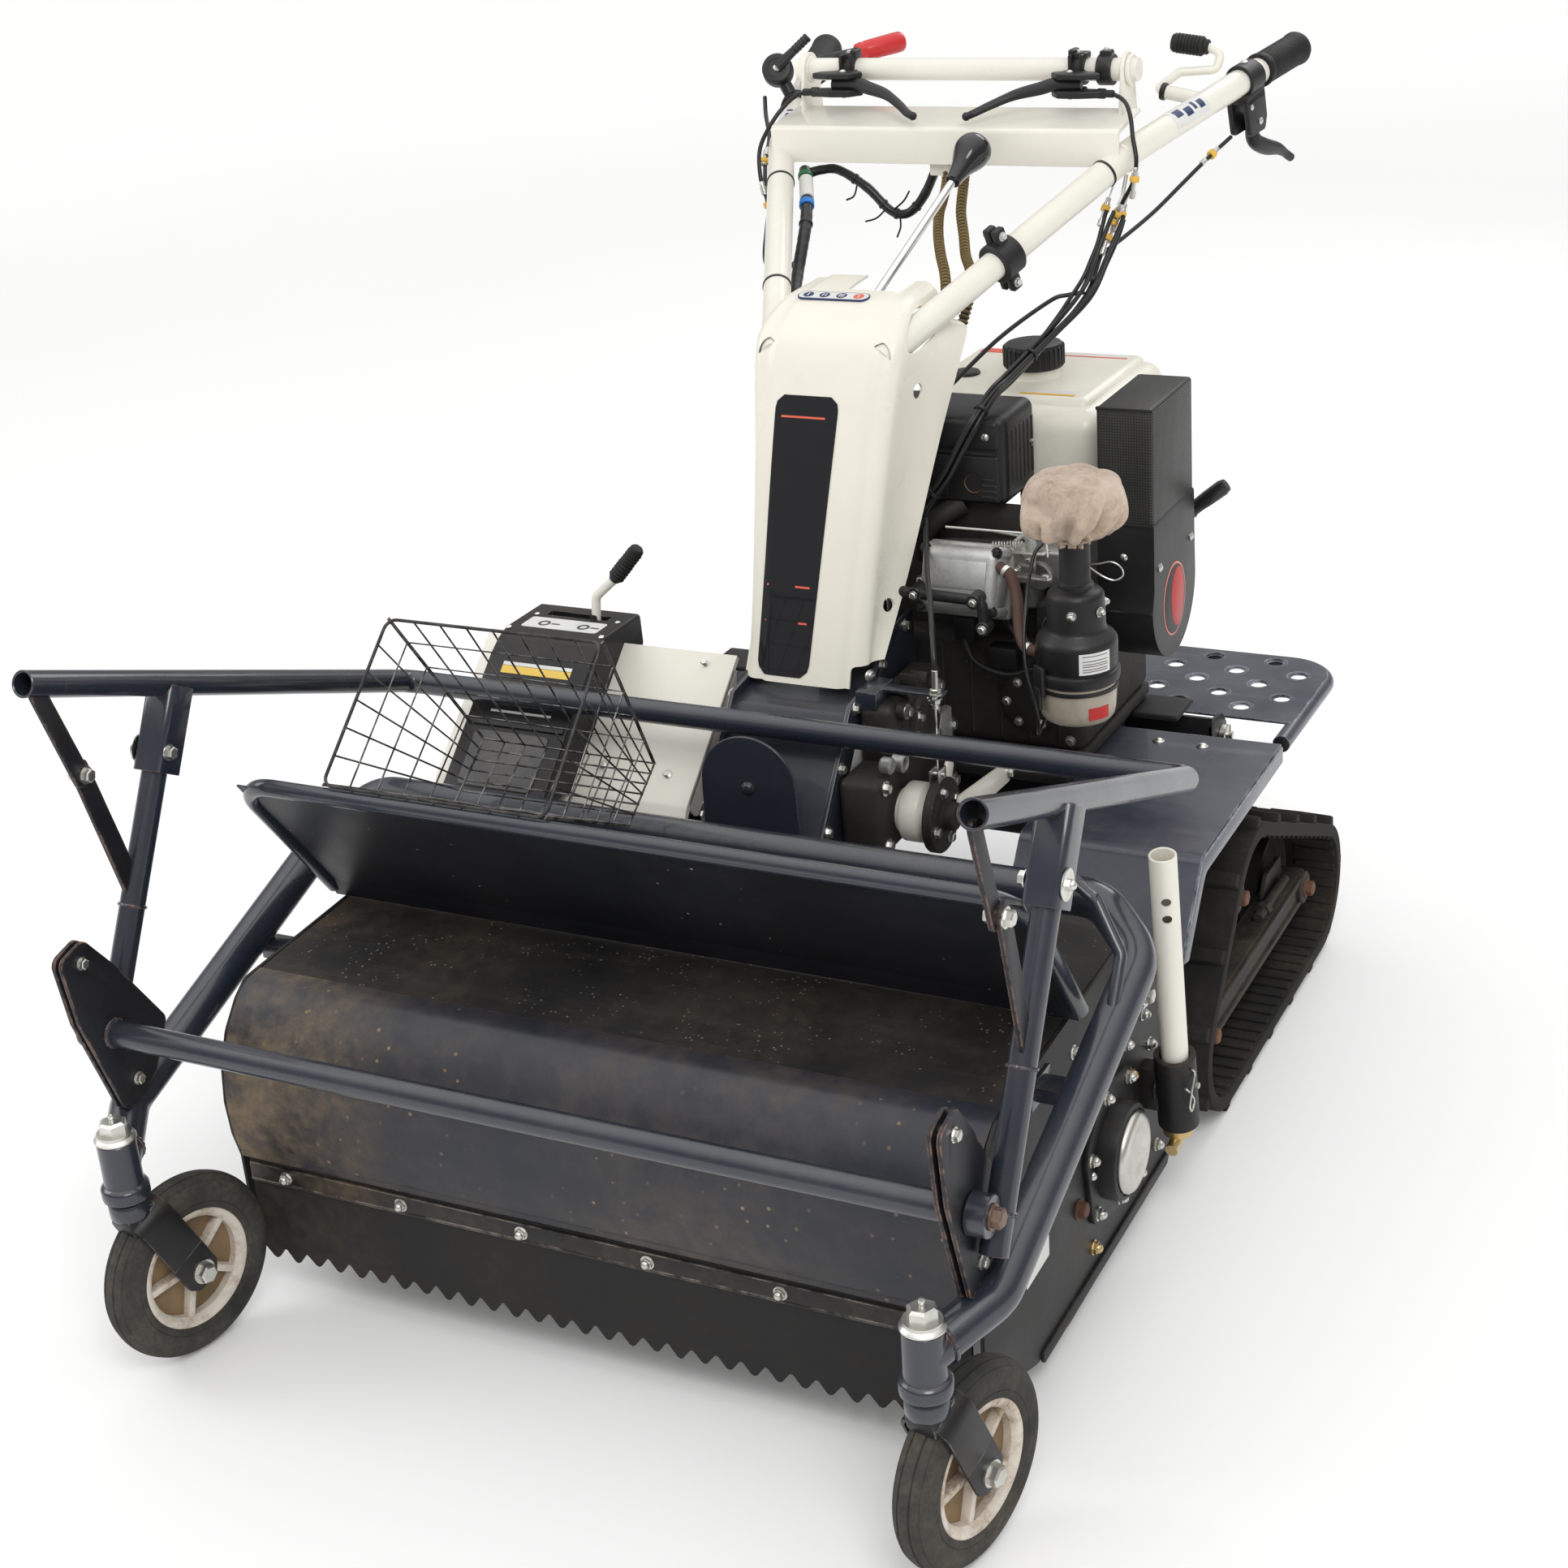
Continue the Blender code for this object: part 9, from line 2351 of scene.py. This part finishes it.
def makeSidePlates():
    sheet = sidePlate(rounded(sideOutline, sideCorners, 6), deckHalf + 0.0002, plateTop, edge=0.0012)
    flangeLine = [(-0.078, 0.03), (-0.02, 0.085), (0.06, 0.07), (0.075, -0.02), (0.02, -0.085), (-0.06, -0.06)]
    flange = sidePlate(rounded([(rotorY + y, rotorZ + z) for y, z in flangeLine], 0.02, 8), plateTop - 0.001,
                       plateTop + 0.006, edge=0.0014)
    hub = lathe([(0, 0), (0.0535, 0), (0.053, 0.0225), (0.0515, 0.0255), (0.0465, 0.027), (0.046, 0.024), (0, 0.024)],
                (plateTop, rotorY, rotorZ), (1, rotorY, rotorZ), 72)
    lip = sidePlate(rounded([(0.3, 0.03), (0.69, 0.032), (0.7, 0.046), (0.3, 0.044)], 0.004, 4), plateTop - 0.0005,
                    plateTop + 0.0035, edge=0.001)
    plain = gathered(sheet, flange, hub, lip)
    base = block((plateTop - 0.001, socketY - 0.012, 0.15), (socketX - 0.016, socketY + 0.012, 0.2), 0.0015)
    socket = pipe((socketX, socketY + 0.008, 0.13), (socketX, socketY - 0.006, 0.222), 0.0225, 0.016, 48, 0.001)
    bead = weld((socketX - 0.02, socketY, 0.175), (1, 0, 0), 0.015, 0.0022, 3.0)
    piece("sidePlateLeft", gathered(plain, base, socket, bead), soilBlack, replaces=("side_plate_left",))
    piece("sidePlateRight", flipped(plain), soilBlack, replaces=("side_plate_right",))
    cap = lathe([(0, 0), (0.044, 0), (0.0446, 0.002), (0.044, 0.005), (0.0415, 0.008), (0.037, 0.0098), (0.032, 0.01),
                 (0.027, 0.0088), (0.0225, 0.0058), (0.019, 0.0046), (0.008, 0.0044), (0, 0.0044)],
                (plateTop + 0.025, rotorY, rotorZ), (1, rotorY, rotorZ), 72)
    piece("bearingCaps", bothSides(cap), zinc)
    around = ((-0.066, 0.024), (-0.019, 0.071), (0.048, 0.06), (0.062, -0.018), (0.017, -0.071), (-0.05, -0.05))
    rows = sideRows([(rotorY + y, rotorZ + z) for y, z in around], plateTop + 0.006, 0.0066)
    rows += sideRows(((0.535, 0.268), (0.566, 0.254), (0.62, 0.262), (0.64, 0.215), (0.445, 0.165), (0.6, 0.075),
                      (0.66, 0.075), (0.41, 0.33), (0.36, 0.24)), plateTop, 0.0064)
    piece("sidePlateNuts", bothSides(heads(rows, "acorn")), zinc)
    rows = sideRows(((0.596, 0.292), (0.632, 0.278)), plateTop, 0.0088)
    rows += sideRows(((0.23, 0.3), (0.205, 0.18)), plateTop, 0.008)
    piece("sidePlateBolts", bothSides(heads(rows, "flange")), zinc)
    rows = sideRows(((0.575, 0.212), (0.455, 0.07)), plateTop, 0.007)
    piece("sidePlateBrassNuts", bothSides(heads(rows, "acorn")), brass)
    piece("sidePlateRusty", heads(sideRows(((0.415, 0.142),), plateTop, 0.009)), rustyIron)
    piece("sideLabel", sidePlate(rounded([(0.268, 0.14), (0.33, 0.142), (0.33, 0.182), (0.268, 0.18)], 0.002, 3),
                                 plateTop, plateTop + 0.0004, edge=0), bareWhite)
    piece("sideLabelBand", sidePlate([(0.2685, 0.17), (0.3295, 0.1718), (0.3295, 0.1818), (0.2685, 0.1798)],
                                     plateTop + 0.0001, plateTop + 0.0006, edge=0), bareRed)


makeSidePlates()


def makePipe():
    low, high = Vector((socketX, socketY + 0.0025, 0.1665)), Vector((socketX, socketY - 0.04, 0.474))
    tube = pipe(low, high, 0.0146, 0.012, 56, 0.0008)
    line = (high - low).normalized()
    aim = Vector((0.42, -1.0, 0.0)).normalized()
    holes = [rod(high - line * back + aim * 0.004, high - line * back + aim * 0.03, 0.0052, 24, 0)
             for back in (0.052, 0.073)]
    piece("markerPipe", cutBy(tube, *holes), creamPaint, replaces=("side_pipe",), angle=30.0)
    end = gathered(rod((socketX, socketY + 0.004, 0.13), (socketX, socketY + 0.0055, 0.118), 0.0165, 32, 0.002),
                   sweep(rounded([(socketX + 0.001, socketY + 0.008, 0.126), (socketX + 0.001, socketY + 0.006, 0.114),
                                  (socketX + 0.001, socketY - 0.022, 0.11)], 0.006, 6, False), 0.007, 20))
    piece("pipeEnd", end, brass)
    x = socketX + 0.01
    clip = rounded([(x + 0.01, socketY - 0.03, 0.196), (x + 0.012, socketY - 0.02, 0.186),
                    (x + 0.013, socketY - 0.008, 0.17), (x + 0.013, socketY - 0.018, 0.16),
                    (x + 0.013, socketY - 0.026, 0.172), (x + 0.0135, socketY - 0.02, 0.188),
                    (x + 0.0135, socketY - 0.008, 0.205), (x + 0.013, socketY - 0.016, 0.212)], 0.005, 6, False)
    pin = rod((socketX - 0.026, socketY - 0.0015, 0.185), (socketX + 0.0262, socketY - 0.0015, 0.185), 0.0035, 20)
    piece("socketClip", gathered(sweep(clip, 0.0012, 10), pin), zinc)


makePipe()


def makeRotor():
    half = deckHalf - 0.004
    step = (2 * deckHalf - 0.096) / 19
    shaft = gathered(rod((-half, rotorY, rotorZ), (half, rotorY, rotorZ), 0.038, 56, 0.002),
                     rod((-plateTop - 0.018, rotorY, rotorZ), (plateTop + 0.018, rotorY, rotorZ), 0.0145, 32, 0.001))
    blades, bolts = [], []
    for row in range(4):
        for k in range(5):
            x = -deckHalf + 0.068 + step * (4 * k + row)
            turn = turnAbout((0, rotorY, rotorZ), "X", 90 * row + 20)
            low, high = rotorZ + 0.034, rotorZ + 0.118
            outline = [(x - 0.013, low), (x + 0.013, low), (x + 0.014, low + 0.045), (x + 0.022, high - 0.02),
                       (x + 0.022, high), (x - 0.022, high), (x - 0.022, high - 0.02), (x - 0.014, low + 0.045)]
            blades.append(placed(frontPlate(rounded(outline, 0.005, 3), rotorY - 0.004, rotorY + 0.004, edge=0.001,
                                            segments=1), turn))
            lugs = gathered(block((x - 0.012, rotorY - 0.012, rotorZ + 0.03),
                                  (x + 0.012, rotorY - 0.0045, rotorZ + 0.06), 0.0015, 1),
                            block((x - 0.012, rotorY + 0.0045, rotorZ + 0.03),
                                  (x + 0.012, rotorY + 0.012, rotorZ + 0.06), 0.0015, 1))
            blades.append(placed(lugs, turn))
            bolts.append((turn @ Vector((x, rotorY - 0.012, rotorZ + 0.05)), turn.to_3x3() @ Vector((0, -1, 0)),
                          0.0055))
    piece("rotorShell", gathered(shaft, *blades), knifeSteel, "rotor", replaces=("rotor",))
    piece("rotorBolts", heads(bolts, "hex"), zinc, "rotor")


makeRotor()
print("side plates, pipe and rotor made")


# Fenders, beam and folding step

def makeFenders():
    line = rounded([(0.674, 0.302), (0.745, 0.3925), (1.05, 0.3985)], 0.018, 8, False)
    top = bentSheet(list(reversed(line)), 0.25, 0.4605, 0.003, 26, 0.0007, 4.0)
    lipLine = rounded([(0.671, 0.3), (0.742, 0.3935), (1.05, 0.3995), (1.05, 0.379), (0.75, 0.373), (0.69, 0.295)],
                      [0.001, 0.02, 0.002, 0.003, 0.02, 0.003], 6)
    lip = sidePlate(lipLine, 0.4598, 0.463, edge=0.001)
    piece("fenderSheets", bothSides(gathered(top, lip)), navyFender, replaces=("fenders",))
    base = block((-0.26, 0.8685, 0.3985), (0.26, 1.15, 0.41), 0.0015)
    beam = block((-0.235, 0.92, 0.3), (0.235, 1.15, 0.3995), 0.008, 3)
    hubY, hubZ = 0.985, 0.226
    hang = sidePlate(rounded([(hubY - 0.04, 0.31), (hubY + 0.04, 0.31), (hubY + 0.022, hubZ - 0.022),
                              (hubY - 0.022, hubZ - 0.022)], [0.002, 0.002, 0.018, 0.018], 6), 0.225, 0.235, edge=0.001)
    rows = [((x, y, 0.4102), (0, 0, 1), 0.007) for x in (-0.235, 0.235) for y in (0.895, 1.125)]
    piece("engineBase", gathered(base, beam, bothSides(hang)), soilBlack)
    piece("engineBaseBolts", heads(rows, "flange"), zinc)
    bolts = [((x, 1.02, 0.3992), (0, 0, 1), 0.0074) for x in (0.3195, 0.3735)]
    piece("fenderBolts", bothSides(heads(bolts, "round")), zinc)
    pads = bothSides(block((0.262, 1.085, 0.399), (0.322, 1.148, 0.406), 0.003, 3))
    piece("fenderRail", pads, gripRubber)


makeFenders()

stepTop, hingeY = 0.352, 1.19
barZ = stepTop - 0.008


def makeStep():
    lugX = 0.345
    outline = rounded(corners(-0.35, 1.222, 0.426, 1.44), [0.008, 0.008, 0.06, 0.06], 12)
    places = []
    for j in range(5):
        for i in range(-1, 9):
            x = 0.391 - 0.083 * i - (0.0415 if j % 2 == 0 else 0.0)
            y = 1.258 + 0.0395 * j
            if -0.318 < x < 0.395 and not (j == 4 and (x > 0.372 or x < -0.296)):
                places.append((x, y))
    holes = [ring(p, 0.0115, 20) for p in places]
    sheet = flatPlate(outline, stepTop + 0.0004, stepTop + 0.0034, holes, edge=0.0004, segments=1)
    dimples = [lathe([(0.0104, -0.0022), (0.0116, -0.0022), (0.0128, 0.0004), (0.0152, 0.0014), (0.0152, 0.0004),
                      (0.0122, -0.0006)], (x, y, stepTop + 0.0022), (x, y, 1), 20) for x, y in places]
    edge = sweep(rounded([(0.424, 1.18, barZ), (0.424, 1.438, barZ), (-0.348, 1.438, barZ),
                          (-0.348, 1.18, barZ)], 0.06, 12, False), 0.011, 28)
    hinge = rod((-0.22, hingeY, barZ), (0.3, hingeY, barZ), 0.01, 28)
    arms = [block((x - 0.011, hingeY, stepTop - 0.016), (x + 0.011, 1.3, stepTop + 0.001), 0.0015)
            for x in (-0.1, 0.25)]
    piece("stepPlate", gathered(sheet, *dimples, edge, hinge, *arms), navyFender, "rear_step", replaces=("rear_step",))
    plugs = [lathe([(0, 0), (0.0085, 0), (0.0108, 0.0012), (0.0108, 0.004), (0, 0.004)], (x, 1.1795, barZ),
                   (x, 2.1795, barZ), 28) for x in (0.424, -0.348)]
    piece("stepPlugs", gathered(*plugs), blackPlastic, "rear_step")
    lug = gathered(block((0.19, 1.1503, 0.31), (0.345, 1.156, 0.38), 0.001),
                   sidePlate(rounded([(1.1503, 0.31), (1.2, 0.31), (1.212, 0.352), (1.196, 0.37), (1.1503, 0.378)],
                                     0.008, 6), 0.34, lugX, edge=0.0008),
                   rod((0.3003, hingeY, barZ), (0.342, hingeY, barZ), 0.008, 28))
    piece("stepLug", lug, soilBlack, replaces=("step_bracket",))
    bush = gathered(lathe([(0, 0), (0.0125, 0), (0.013, 0.0006), (0.013, 0.007), (0.012, 0.008), (0, 0.008)],
                          (lugX, hingeY, barZ), (1, hingeY, barZ), 32),
                    sweep(rounded([(0.356, hingeY, stepTop + 0.006), (0.356, hingeY, stepTop - 0.022),
                                   (0.356, 1.184, stepTop - 0.03)], 0.004, 4, False), 0.0012, 10),
                    rod((lugX, hingeY, barZ), (0.36, hingeY, barZ), 0.005, 20))
    piece("stepPin", bush, zinc)
    rows = [((x, 1.156, 0.345), (0, 1, 0), 0.0062) for x in (0.205, 0.29)]
    piece("stepLugBolts", heads(rows, "hex"), zinc)


makeStep()
print("fenders and step made")


# Tracks: a belt with lugs, its frame and its wheels

track = {"x": 0.366, "half": 0.088, "belt": 0.0277, "lug": 0.0115, "gap": 0.0003,
         "wheels": [(0.985, 0.226, 0.077), (0.873, 0.098, 0.07), (1.283, 0.098, 0.07)], "pitch": 0.046}


def beltLine(extra, count=96):
    # the tight line round the three wheels, as (y, z)
    samples = []
    for y, z, radius in track["wheels"]:
        samples += ring((y, z), radius + extra, count)
    rows = sorted(set((round(a, 7), round(b, 7)) for a, b in samples))

    def chain(points):
        line = []
        for point in points:
            while len(line) > 1 and ((line[-1][0] - line[-2][0]) * (point[1] - line[-2][1])
                                     - (line[-1][1] - line[-2][1]) * (point[0] - line[-2][0])) <= 0:
                line.pop()
            line.append(point)
        return line
    return chain(rows)[:-1] + chain(list(reversed(rows)))[:-1]


def evenly(line, pitch):
    # places and outward aims at even steps round a closed line
    closed = line + [line[0]]
    total = sum(math.dist(p, q) for p, q in zip(closed, closed[1:]))
    count = 2 * round(total / pitch / 2)
    rows, walked, n = [], 0.0, 0
    for p, q in zip(closed, closed[1:]):
        step = math.dist(p, q)
        while n < count and walked + step >= total * n / count:
            t = (total * n / count - walked) / step
            ahead = ((q[0] - p[0]) / step, (q[1] - p[1]) / step)
            rows.append(((p[0] + (q[0] - p[0]) * t, p[1] + (q[1] - p[1]) * t), ahead))
            n += 1
        walked += step
    return rows


def lugShape(t):
    # one lug: a long block with sloping sides, standing on the belt
    points = []
    for x, z, half in ((-0.07, -0.002, 0.01), (0.0, -0.002, 0.0125), (0.07, -0.002, 0.01),
                       (-0.068, t["lug"] - 0.0006, 0.0066), (0.0, t["lug"], 0.009), (0.068, t["lug"] - 0.0006, 0.0066)):
        points += [(x * 0.6, -half, z), (x * 0.6, half, z)]
    faces = [(0, 1, 3, 2), (2, 3, 5, 4), (6, 8, 9, 7), (8, 10, 11, 9), (0, 2, 8, 6), (2, 4, 10, 8), (1, 7, 9, 3),
             (3, 9, 11, 5), (0, 6, 7, 1), (4, 5, 11, 10)]
    return softened(cleaned(meshFrom(points, faces)), 0.0018, 2, 25.0)


def makeBelt(t, side, name):
    outer = beltLine(t["gap"] + t["belt"] - t["lug"])
    inner = beltLine(t["gap"])
    belt = sidePlate(outer, t["x"] - t["half"], t["x"] + t["half"], holes=(inner,), edge=0.003, segments=3)
    middle = Vector((0, sum(p[0] for p in outer) / len(outer), sum(p[1] for p in outer) / len(outer)))
    rows = []
    for n, (at, ahead) in enumerate(evenly(outer, t["pitch"])):
        aim = Vector((0, ahead[1], -ahead[0]))
        if aim.dot(Vector((0, *at)) - middle) < 0:
            aim = -aim
        across = 0.0445 if n % 2 else -0.0445
        rows.append(((t["x"] + across, *at), tuple(aim), 1.0, (1, 0, 0)))
    lugs = stamps(rows, lugShape(t))
    ribs = []
    for at, ahead in evenly(inner, t["pitch"] / 2):
        turn = math.atan2(ahead[1], ahead[0])
        place = Matrix.Translation((0, *at)) @ Matrix.Rotation(turn, 4, "X")
        ribs.append(placed(block((t["x"] + 0.03, -0.0048, -0.003), (t["x"] + 0.084, 0.0048, 0.003), 0.0012, 1), place))
    mesh = forSide(gathered(belt, lugs, *ribs), side)
    piece("trackBelt" + name.title(), mesh, trackRubber, replaces=("track_" + name,))


def makeTrackFrame(t, side, name):
    x = t["x"]
    rail = block((x + 0.02, 0.865, 0.078), (x + 0.058, 1.3, 0.118), 0.004, 3)
    lips = gathered(block((x + 0.056, 0.875, 0.11), (x + 0.062, 1.29, 0.1175), 0.0012, 2),
                    block((x + 0.056, 0.875, 0.0785), (x + 0.062, 1.29, 0.086), 0.0012, 2))
    bosses, bolts = [], []
    for n, (y, z, _) in enumerate(t["wheels"]):
        start = 0.2353 if n == 0 else x - 0.06
        bosses.append(rod((x + 0.022, y, z), (x + 0.064, y, z), 0.0215, 40, 0.0015))
        bosses.append(rod((start, y, z), (x + 0.03, y, z), 0.009, 24))
        bolts.append(((x + 0.064, y, z), (1, 0, 0), 0.01))
    post = sidePlate(rounded([(0.96, 0.11), (1.03, 0.11), (1.01, 0.235), (0.965, 0.235)], [0.002, 0.002, 0.014, 0.014],
                             5), x + 0.024, x + 0.04, edge=0.0012)
    bracket = sidePlate(rounded([(1.18, 0.116), (1.27, 0.116), (1.262, 0.15), (1.2, 0.15)], 0.006, 4), x + 0.03,
                        x + 0.036, edge=0.001)
    rodX, rodZ = x + 0.045, 0.124
    adjust = gathered(rod((rodX, 1.13, rodZ), (rodX, 1.25, rodZ), 0.0065, 20),
                      rod((rodX, 1.15, rodZ), (rodX, 1.162, rodZ), 0.0105, 6, 0.0008))
    mesh = forSide(gathered(rail, lips, *bosses, post, bracket, adjust), side)
    piece("trackRail" + name.title(), mesh, railPaint, replaces=("track_frame_" + name,))
    piece("trackRailBolts" + name.title(), forSide(heads(bolts), side), rustyIron)


def wheelMesh(t, n):
    y, z, radius = t["wheels"][n]
    x, bore = t["x"], 0.0098
    if n == 0:
        outline = []
        for i in range(12):
            for shift, reach in ((-9, radius - 0.016), (-5.5, radius - 0.0014), (-2, radius - 0.0008),
                                 (2, radius - 0.0008), (5.5, radius - 0.0014), (9, radius - 0.016)):
                angle = math.radians(30.0 * i + shift)
                outline.append((y + reach * math.cos(angle), z + reach * math.sin(angle)))
        holes = [ring((y, z), bore, 24)] + [ring(at, 0.0075, 18) for at in ring((y, z), 0.043, 6, 15.0)]
        disc = sidePlate(outline, x - 0.03, x - 0.01, holes, edge=0.0014)
        hub = pipe((x - 0.058, y, z), (x + 0.0195, y, z), 0.03, bore, 40, 0.0012)
        return gathered(disc, hub)
    top = radius - 0.0008
    profile = [(bore, 0.0), (0.02, 0.0), (0.024, 0.006), (0.052, 0.01), (top - 0.004, 0.0), (top, 0.002), (top, 0.0245),
               (top - 0.014, 0.027), (top - 0.014, 0.0505), (top, 0.053), (top, 0.0755), (top - 0.004, 0.0775),
               (0.052, 0.0675), (0.024, 0.0715), (0.02, 0.0775), (bore, 0.0775)]
    return lathe(profile, (x - 0.058, y, z), (1, y, z), 64)


def makeTracks(t):
    for side, name in ((1, "left"), (-1, "right")):
        makeBelt(t, side, name)
        makeTrackFrame(t, side, name)
        for n, (node, body) in enumerate((("track_sprocket_", "sprocket_"), ("track_front_wheel_", "front_wheel_"),
                                          ("track_rear_wheel_", "rear_wheel_"))):
            piece(node + name + "Shell", forSide(wheelMesh(t, n), side), castIron, body + name, replaces=(node + name,))


makeTracks(track)
print("tracks made")
